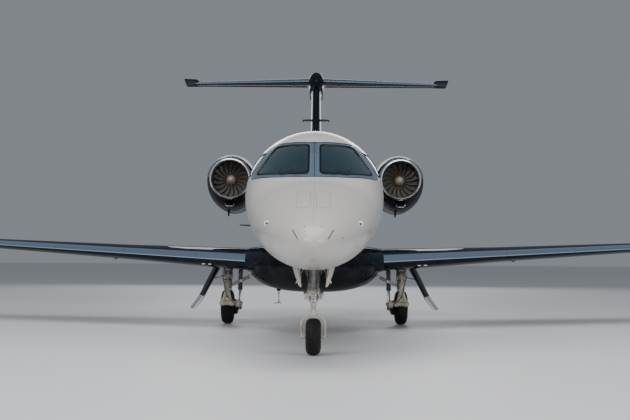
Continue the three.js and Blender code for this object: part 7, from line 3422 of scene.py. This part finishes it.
    def blade(self, root: Vector, out: Vector, chord: float, tall: float) -> list[Ring]:
        """The sections of a swept blade aerial standing on the skin.

        Args:
            root: The middle of its foot.
            out: The direction in which it stands.
            chord: Its length along the aircraft, near the foot.
            tall: Its height.

        Returns:
            Its rings, from inside the skin to the tip.
        """
        side = out.cross(Vector((0.0, 1.0, 0.0))).normalized()
        rings = []
        for t, scale in self.blade_rows:
            half, thick = chord * scale / 2, 0.012 * scale * (1 if t < 0.98 else 0.5)
            ring = []
            for angle in around(20):
                along = -math.cos(angle) * half
                wide = math.sin(angle) * thick * (1 + 0.35 * math.cos(angle))
                ring.append(
                    root + out * tall * t + Vector(
                        (0.0, along + self.blade_sweep * max(t, 0.0), 0.0)
                    ) + side * wide
                )
            rings.append(ring)
        return rings

    def aerials(self) -> None:
        """Blade aerials above and below, the beacons and a flat round aerial."""
        mesh = Mesh()
        for station, top, chord, tall in self.blades:
            _, _, high, low = FORM.section(station)
            root = Vector((0.0, y_at(station), high if top else low))
            mesh.loft(self.blade(root, Vector((0.0, 0.0, 1.0 if top else -1.0)), chord, tall))
        dressed(mesh.build("aerials"), PEARL, "white_paint")
        high = FORM.section(7.3)[2]
        lamps = Mesh()
        for station, profile in (
            (7.3, [(r, high + z) for r, z in self.top_beacon]), (8.6, self.belly_beacon)
        ):
            lamps.turned(profile, Vector((0.0, y_at(station), 0.0)), Axis.Z, 36, close=False)
        dressed(lamps.build("beacons"), RED_LAMP, "glass")
        profile = [(r, high + z) for r, z in self.top_disc]
        disc = Mesh().turned(profile, Vector((0.0, y_at(6.5), 0.0)), Axis.Z, 48, close=False)
        dressed(disc.build("top_aerial_disc"), PEARL, "white_paint")


# Cabin and cockpit


def stacked(outline: Sequence[Point], rows: Sequence[Point]) -> list[Ring]:
    """Copies of an outline one above the other, given as (height, growth) rows."""
    return [[Vector((a, b, z)) for a, b in offset(outline, grow)] for z, grow in rows]


@dataclass
class Cushion:
    """One stuffed part of a seat, made about its own middle and blown up as cloth."""

    size: tuple[float, float, float]
    corner: float = 0.05
    voxel: float = 0.010
    pressure: float = 4.0
    cap: float = 0.012
    frames: int = 20
    channels: tuple[float, ...] = ()
    channel_width: float = 0.007
    channel_depth: float = 0.006
    crown: float = 0.008

    def block(self) -> bpy.types.Object:
        """The slack shape: a block with rounded corners and a slight crown."""
        h = self.size[2] / 2
        below = [(-h, -0.022), (-h + 0.010, -0.006), (-h + 0.03, 0.0)]
        rows = [*below, *((-z, grow) for z, grow in reversed(below))]
        return Mesh().loft(stacked(self.outline(), rows)).build("cushion")

    def outline(self) -> list[Point]:
        """The cushion's outline seen from above."""
        w, d = self.size[0] / 2, self.size[1] / 2
        return rounded([(-w, -d), (w, -d), (w, d), (-w, d)], self.corner, 6)

    def make(self) -> bpy.types.Object:
        """The swollen cushion, with its sewn channels pressed in afterwards."""
        made = self.block()
        mesher = made.modifiers.new("Remesh", "REMESH")
        mesher.mode = "VOXEL"
        mesher.voxel_size = self.voxel
        bake(made)
        self.swell(made)
        half = self.size[2] / 2
        for vertex in made.data.vertices:
            x, y, z = vertex.co
            crown = (1 - (2 * x / self.size[0]) ** 2) * (1 - (2 * y / self.size[1]) ** 2)
            if z > half * 0.3:
                press = sum(math.exp(-(((y - line) / self.channel_width) ** 2)) for line in self.channels)
                vertex.co.z = z + self.crown * max(0.0, crown) - self.channel_depth * min(1.0, press)
        soften(made, 60.0)
        return made

    def swell(self, made: bpy.types.Object) -> None:
        """Runs the cloth simulation and keeps its result, with each point's movement capped.

        Args:
            made: The cushion's object.
        """
        rest = [v.co.copy() for v in made.data.vertices]
        cloth = made.modifiers.new("Cloth", "CLOTH")
        cloth.settings.use_pressure = True
        cloth.settings.uniform_pressure_force = self.pressure
        cloth.settings.effector_weights.gravity = 0.0
        scene = bpy.context.scene
        for frame_number in range(1, self.frames + 1):
            scene.frame_set(frame_number)
        graph = bpy.context.evaluated_depsgraph_get()
        shape = made.evaluated_get(graph).to_mesh()
        moved = [v.co.copy() for v in shape.vertices]
        made.evaluated_get(graph).to_mesh_clear()
        made.modifiers.clear()
        scene.frame_set(1)
        for vertex, a, b in zip(made.data.vertices, rest, moved):
            step = b - a
            vertex.co = a + step * min(1.0, self.cap / max(step.length, 1e-9))

    def piping(self, made: bpy.types.Object, lift: float) -> bpy.types.Object:
        """Piping sewn round the cushion at a height, laid on its swollen surface.

        Args:
            made: The swollen cushion.
            lift: The height above the cushion's middle.

        Returns:
            The piping.
        """
        line = []
        for a, b in spaced(self.outline(), 0.014):
            found, at, normal, _ = made.closest_point_on_mesh(Vector((a * 1.01, b * 1.01, lift)))
            line.append(at + normal * 0.0012 if found else Vector((a, b, lift)))
        return bead(line, 0.0032, "piping", 8)


@dataclass
class Seat:
    """A kind of seat, made facing forwards about X = 0 and set down at several places."""

    kind: str
    # columns: x, station, whether it faces aft, the CAD node it stands for
    places: tuple[tuple[float, float, bool, str], ...]
    fine: float = 0.010
    wide: float = 0.43
    lean: float = 9.0
    floor: float = 1.18
    fill: float = 0.75
    # columns: distance out of the seat's plane or height, growth of the outline
    back_rows: Steps = ((0.004, -0.002), (-0.006, 0.0), (-0.018, -0.006), (-0.026, -0.024), (-0.028, -0.036))
    pan_rows: Steps = ((1.405, -0.02), (1.415, 0.0), (1.437, 0.0))
    foot_rows: Steps = ((0.001, 0.02), (0.03, 0.015), (0.06, -0.01))

    def set_down(
        self, made: bpy.types.Object, part: str, finish: Finish, fill: float | None = None,
        first: bool = False,
    ) -> None:
        """Puts a copy of a part at each place and removes the part.

        Args:
            made: The part, facing forwards about X = 0.
            part: The part's name.
            finish: Its finish.
            fill: How full it is, where it is padded; not used.
            first: Whether the copies stand for the seats' CAD nodes.
        """
        for number, (x, station, aft, node) in enumerate(self.places, 1):
            copy = Fuselage.copy(made)
            copy.name = f"{self.kind}_{part}_{number}"
            spin = Matrix.Rotation(math.pi if aft else 0.0, 4, "Z")
            copy.data.transform(Matrix.Translation((x, y_at(station), 0.0)) @ spin)
            dressed(copy, finish, "leather", instead_of=[node] if first else [])
        discard(made)

    def cushion(self, part: str, shape: Cushion, where: Place, lean: float, first: bool = False) -> None:
        """Makes one stuffed part with its piping, and sets it down.

        Args:
            part: The part's name.
            shape: Its shape.
            where: Where it is set.
            lean: Its turn about the sideways axis, in degrees.
            first: Whether it stands for the CAD seat.
        """
        made = shape.make()
        trims = joined("piping", [shape.piping(made, shape.size[2] * share) for share in (0.34, -0.34)])
        turn = Matrix.Translation(where) @ Matrix.Rotation(math.radians(lean), 4, "X")
        made.data.transform(turn)
        trims.data.transform(turn)
        self.set_down(made, part, LEATHER, self.fill, first)
        self.set_down(trims, f"{part}_piping", STITCH)

    def build(self) -> None:
        """Makes every part of the seat."""
        voxel = self.fine
        base = Cushion((self.wide - 0.01, 0.455, 0.125), 0.06, voxel, channels=(-0.13, -0.03, 0.07))
        self.cushion("cushion", base, (0.0, -0.035, 1.502), 1.5, True)
        back = Cushion((self.wide - 0.03, 0.545, 0.095), 0.07, voxel, channels=(-0.16, -0.06, 0.04, 0.14))
        self.cushion("back", back, (0.0, 0.222, 1.835), 90.0 - self.lean)
        head = Cushion((0.225, 0.155, 0.058), 0.035, min(voxel, 0.008), cap=0.006)
        self.cushion("headrest", head, (0.0, 0.300, 2.235), 90.0 - self.lean * 0.6)
        self.frame_parts()

    def frame_parts(self) -> None:
        """The back shell, pan and foot, the headrest posts, the rails, the buckle and the belts."""
        half = self.wide / 2 - 0.015
        outline = rounded([(-half, -0.29), (half, -0.29), (half - 0.02, 0.29), (-half + 0.02, 0.29)], 0.06, 6)
        turn = Matrix.Translation((0.0, 0.278, 1.83)) @ Matrix.Rotation(
            math.radians(90.0 - self.lean), 4, "X"
        )
        shell = Mesh().loft([[turn @ point for point in ring] for ring in stacked(outline, self.back_rows)])
        pan = rounded([(-half, -0.25), (half, -0.25), (half, 0.22), (-half, 0.22)], 0.05, 5)
        shell.loft(stacked(pan, self.pan_rows))
        foot = rounded([(-0.10, -0.19), (0.10, -0.19), (0.10, 0.17), (-0.10, 0.17)], 0.03, 4)
        floor_rows = [(self.floor + rise, grow) for rise, grow in self.foot_rows]
        shell.loft(stacked(foot, [*floor_rows, (1.38, -0.02), (1.405, 0.0)]))
        self.set_down(shell.build("shell"), "shell", WOOD_TRIM)
        metal = Mesh()
        for x in (-0.06, 0.06):
            metal.tube(
                [Vector((x, 0.262, 2.06)), Vector((x, 0.275, 2.12)), Vector((x, 0.292, 2.2))], 0.007, 12
            )
        for x in (-0.085, 0.085):
            metal.box((x - 0.012, -0.24, self.floor + 0.001), (x + 0.012, 0.24, self.floor + 0.016))
        buckle = Vector((0.0, -0.05, 1.578))
        metal.box(buckle - Vector((0.022, 0.02, 0.004)), buckle + Vector((0.022, 0.02, 0.008)))
        self.set_down(metal.build("metal", bevel=0.0015), "metal", STEEL)
        self.belts(half)

    def belts(self, half: float) -> None:
        """The lap belt, from both sides of the pan to its buckle.

        Args:
            half: Half the width of the seat's pan.
        """
        belts = Mesh()
        wide, thick = Vector((0.0, 0.024, 0.0)), Vector((0.0, 0.0, 0.0015))
        for side in (-1, 1):
            lap = [Vector((side * half * 0.96, 0.13, 1.50)), Vector((side * half * 0.8, 0.07, 1.566)),
                   Vector((side * 0.10, -0.01, 1.580)), Vector((side * 0.015, -0.045, 1.582))]
            for a, b in zip(lap, lap[1:]):
                belts.loft(
                    [[p - wide - thick, p + wide - thick, p + wide + thick, p - wide + thick] for p in (a, b)]
                )
        self.set_down(belts.build("belts"), "belts", HOSE)


@dataclass
class Interior:
    """The floor, panel, bulkheads and seats."""

    floor: float = 1.18
    shield_start: float = 2.10
    shield_end: float = 2.44
    face: float = 2.292
    # columns: x from, x to, z from, z to of each screen on the panel's face
    screens: tuple[tuple[float, ...], ...] = (
        (-0.50, -0.20, 1.62, 1.82), (-0.15, 0.15, 1.60, 1.82), (0.20, 0.50, 1.62, 1.82),
    )
    screen_slope: float = -0.06
    # columns: distance out of the face, growth of the screen's outline
    bezel: Steps = ((0.0, 0.001), (0.018, 0.001), (0.020, 0.006), (0.018, 0.012), (0.0, 0.013))
    keys: int = 9
    knobs: int = 7
    dials: tuple[float, ...] = (-0.58, -0.545, 0.545, 0.58)
    pilots: tuple[float, ...] = (-0.345, 0.345)
    # columns: sideways, aft and upward from the yoke's hub
    horn: tuple[Place, ...] = (
        (0.05, 0.0, 0.0), (0.105, 0.01, -0.008), (0.135, 0.012, 0.02), (0.138, 0.004, 0.075),
        (0.122, -0.008, 0.115),
    )
    bulkheads: tuple[tuple[str, float], ...] = (("cockpit_bulkhead", 3.52), ("rear_bulkhead", 9.20))

    def build(self) -> None:
        """Makes every piece."""
        self.carpet()
        self.shield()
        self.panel()
        self.pedestal()
        self.controls()
        self.walls()
        crew = tuple((x, 3.02, False, "crew_seats") for x in reversed(self.pilots))
        Seat("crew_seat", crew, fine=0.008).build()
        club = tuple(
            (0.41 * s.value, station, station < 6.0, f"club_seats_{s.tag}")
            for s in Side
            for station in (5.25, 6.70)
        )
        Seat("club_seat", club, fine=0.012).build()
        LOG.info("interior")

    def inside(self, made: bpy.types.Object, start: float, end: float, wall: float) -> bpy.types.Object:
        """Keeps what lies within the fuselage."""
        return carve(made, [FORM.body(start, end, wall).build("cutter")], keep=True)

    def carpet(self) -> None:
        """The carpet over the cabin floor."""
        slab = Mesh().box(
            (-1.0, y_at(2.26), self.floor - 0.03), (1.0, y_at(9.28), self.floor)
        ).build("carpet")
        dressed(self.inside(slab, 2.0, 9.29, 0.05), CARPET, "carpet", instead_of=["cabin_floor"])

    def shield(self) -> None:
        """The glare shield and the body of the panel under it."""
        y0, y1 = y_at(self.shield_start), y_at(self.shield_end)
        shield = [(y0, 1.80), (y0 + 0.02, 1.86), (y_at(2.16), 1.918), (y_at(2.30), 1.932), (y1, 1.932),
                  (y1 + 0.008, 1.915), (y1, 1.895), (y_at(2.32), 1.868), (y_at(2.28), 1.30), (y0, 1.30)]
        made = Mesh().prism(shield, sideways, -0.64, 0.64).build("panel", bevel=0.004)
        self.inside(made, 1.9, 2.6, 0.055)
        dressed(made, DARK_PLASTIC, "panel", instead_of=["instrument_panel"])

    def on_face(self, a: float, b: float, deep: float) -> Vector:
        """A point of the panel's sloping face, standing out of it by deep."""
        return Vector((a, y_at(self.face) + deep + (b - 1.6) * self.screen_slope, b))

    def panel(self) -> None:
        """The screens, their bezels, and the keys and knobs of the panel's face."""
        face = y_at(self.face)
        glass, frames, keys = Mesh(), Mesh(), Mesh()
        for x0, x1, z0, z1 in self.screens:
            outline = rounded([(x0, z0), (x1, z0), (x1, z1), (x0, z1)], 0.012, 4)
            glass.prism(outline, self.on_face, 0.0, 0.012)
            frames.torus(
                [[self.on_face(a, b, deep) for a, b in offset(outline, grow)] for deep, grow in self.bezel]
            )
            for i in range(self.keys):
                x = x0 + (x1 - x0) * (i + 0.5) / self.keys
                keys.box((x - 0.008, face, z0 - 0.030), (x + 0.008, face + 0.016, z0 - 0.018))
        for i in range(self.knobs):
            at = Vector((-0.105 + 0.035 * i, face, 1.52))
            keys.tube(
                [at, at + Vector((0.0, 0.022, 0.0)), at + Vector((0.0, 0.026, 0.0))], [0.010, 0.009, 0.006],
                16,
            )
        for x in self.dials:
            at = Vector((x, face, 1.66))
            keys.tube([at, at + Vector((0.0, 0.02, 0.0))], [0.010, 0.009], 16)
        dressed(glass.build("panel_screens"), SCREEN, "panel")
        dressed(frames.build("panel_bezels"), DARK_METAL, "panel")
        dressed(keys.build("panel_keys", bevel=0.001), GAP_DARK, "panel")

    def pedestal(self) -> None:
        """The pedestal between the pilots, with its two levers and its knobs."""
        body = Mesh().box((-0.128, y_at(2.28), self.floor + 0.001), (0.128, y_at(2.69), 1.405))
        dressed(body.build("pedestal", bevel=0.012), DARK_PLASTIC, "panel")
        levers = Mesh()
        for x in (-0.035, 0.035):
            rod = [
                Vector((x, y_at(station), z)) for station, z in ((2.46, 1.40), (2.445, 1.47), (2.44, 1.50))
            ]
            levers.tube(rod, [0.006] * 3, 10)
            levers.tube(
                [Vector((x + reach, y_at(2.44), 1.505)) for reach in (-0.022, 0.022)], [0.014, 0.014], 18
            )
        for i in range(3):
            for x in (-0.07, 0.0, 0.07):
                at = Vector((x, y_at(2.55 + 0.045 * i), 1.40))
                levers.tube([at, at + Vector((0.0, 0.0, 0.016))], [0.011, 0.009], 16)
        dressed(levers.build("pedestal_levers"), DARK_METAL, "panel")

    def controls(self) -> None:
        """A yoke on its column, and a pair of pedals, for each pilot."""
        yokes, pedals = Mesh(), Mesh()
        for x in self.pilots:
            hub = Vector((x, y_at(2.50), 1.66))
            yokes.tube([Vector((x, y_at(2.28), 1.63)), hub], [0.018, 0.016], 20)
            grip = [hub - Vector((0.06, 0, 0.004)), hub, hub + Vector((0.06, 0, -0.004))]
            yokes.tube(grip, [0.018, 0.026, 0.018], 16)
            for side in (-1, 1):
                horn = [hub + Vector((side * a, b, c)) for a, b, c in self.horn]
                yokes.tube(horn, [0.014, 0.014, 0.0155, 0.0155, 0.011], 16)
                foot = Vector((x + side * 0.10, y_at(2.34), self.floor + 0.14))
                pedals.box(foot - Vector((0.045, 0.008, 0.045)), foot + Vector((0.045, 0.008, 0.045)))
                pedals.tube(
                    [foot + Vector((0.0, -0.008, 0.0)), foot + Vector((0.0, -0.055, 0.05))], [0.009, 0.009],
                    12,
                )
        dressed(yokes.build("yokes"), DARK_PLASTIC, "panel")
        dressed(pedals.build("pedals", bevel=0.004), STEEL, "panel")

    def walls(self) -> None:
        """The bulkheads of the cockpit and the tail, the first with a curtained doorway."""
        for name, station in self.bulkheads:
            y = y_at(station)
            plate = Mesh().box((-1.0, y, self.floor), (1.0, y + 0.02, 2.8)).build(name)
            self.inside(plate, station - 0.3, min(station + 0.3, 9.29), 0.062)
            if name == "cockpit_bulkhead":
                door = rounded([(-0.21, 1.0), (0.21, 1.0), (0.21, 2.42), (-0.21, 2.42)], 0.08, 6)
                cutter = Mesh().prism(door, lambda a, b, deep: Vector((a, y + deep, b)), -0.1, 0.1)
                carve(plate, [cutter.build("cutter")])
            dressed(plate, WOOD_TRIM, "panel").name = name
        folds = Mesh()
        upper = [Vector((x, y_at(3.56) + 0.012 * math.sin(x * 90), 0.0)) for x in spread(-0.23, 0.23, 90)]
        sheet = [p + Vector((0.0, 0.004, 0.0)) for p in reversed(upper)]
        folds.loft([[p + Vector((0.0, 0.0, z)) for p in (*upper, *sheet)] for z in (1.30, 1.7, 2.1, 2.44)])
        dressed(folds.build("cockpit_curtain"), CURTAIN, "leather")


# The view


@dataclass
class Studio:
    """The floor, the lights and the camera."""

    lens: float = 65.03
    shift_x: float = -1.8 / 630
    camera: Place = (0.03, -18.52, 1.07)
    tilt: float = 92.47
    roll: float = 0.4
    floor_size: float = 400.0
    sky: tuple[float, float, float, float] = (0.36, 0.39, 0.43, 1.0)
    sky_strength: float = 0.62
    # columns: name, place, aimed at, size, power
    lamps: tuple[tuple[str, Place, Place, Point, float], ...] = (
        ("key", (-13.0, -23.0, 14.0), (0.0, -3.0, 1.5), (16.0, 10.0), 2900.0),
        ("fill", (15.0, -20.0, 8.0), (0.0, -2.0, 1.5), (12.0, 8.0), 1500.0),
        ("top", (0.0, -9.0, 17.0), (0.0, -9.0, 0.0), (16.0, 16.0), 2300.0),
        ("rear", (0.0, 26.0, 9.0), (0.0, 4.0, 2.5), (12.0, 7.0), 1050.0),
    )

    def build(self) -> None:
        """Makes the stage."""
        self.floor()
        self.lights()
        self.view()
        LOG.info("studio")

    def floor(self) -> None:
        """A plain pale floor just below the tyres."""
        half = self.floor_size / 2
        made = Mesh().box((-half, -half, -0.1), (half, half, -0.001)).build("studio_floor")
        made.data.materials.append(FLOOR.material())

    def lights(self) -> None:
        """Soft light from above, behind and both sides ahead, and a pale surround."""
        world = bpy.data.worlds.new("studio")
        world.use_nodes = True
        shade = world.node_tree.nodes["Background"]
        shade.inputs["Color"].default_value = self.sky
        shade.inputs["Strength"].default_value = self.sky_strength
        bpy.context.scene.world = world
        for name, place, target, (wide, tall), power in self.lamps:
            data = bpy.data.lights.new(name, "AREA")
            data.shape = "RECTANGLE"
            data.size, data.size_y, data.energy = wide, tall, power
            lamp = bpy.data.objects.new(name, data)
            lamp.location = place
            aim = Vector(target) - Vector(place)
            lamp.rotation_euler = aim.to_track_quat("-Z", "Y").to_euler()
            bpy.context.scene.collection.objects.link(lamp)

    def view(self) -> None:
        """The camera at the photograph's place."""
        data = bpy.data.cameras.new("camera")
        data.lens, data.sensor_width, data.shift_x = self.lens, 36.0, self.shift_x
        data.clip_end = 1000.0
        made = bpy.data.objects.new("camera", data)
        turn = Matrix.Rotation(
            math.radians(self.tilt), 4, "X"
        ) @ Matrix.Rotation(math.radians(self.roll), 4, "Z")
        made.matrix_world = Matrix.Translation(self.camera) @ turn
        bpy.context.scene.collection.objects.link(made)
        bpy.context.scene.camera = made


def main() -> None:
    """Builds the aircraft and its studio."""
    logging.basicConfig(level=logging.INFO, format="%(message)s")
    Studio().build()
    Fuselage().build()
    Wings().build()
    Tail().build()
    Fairing().build()
    Engines().build()
    NoseGear().build()
    MainGear().build()
    SkinDetails().build()
    Interior().build()


if __name__ == "__main__":
    main()
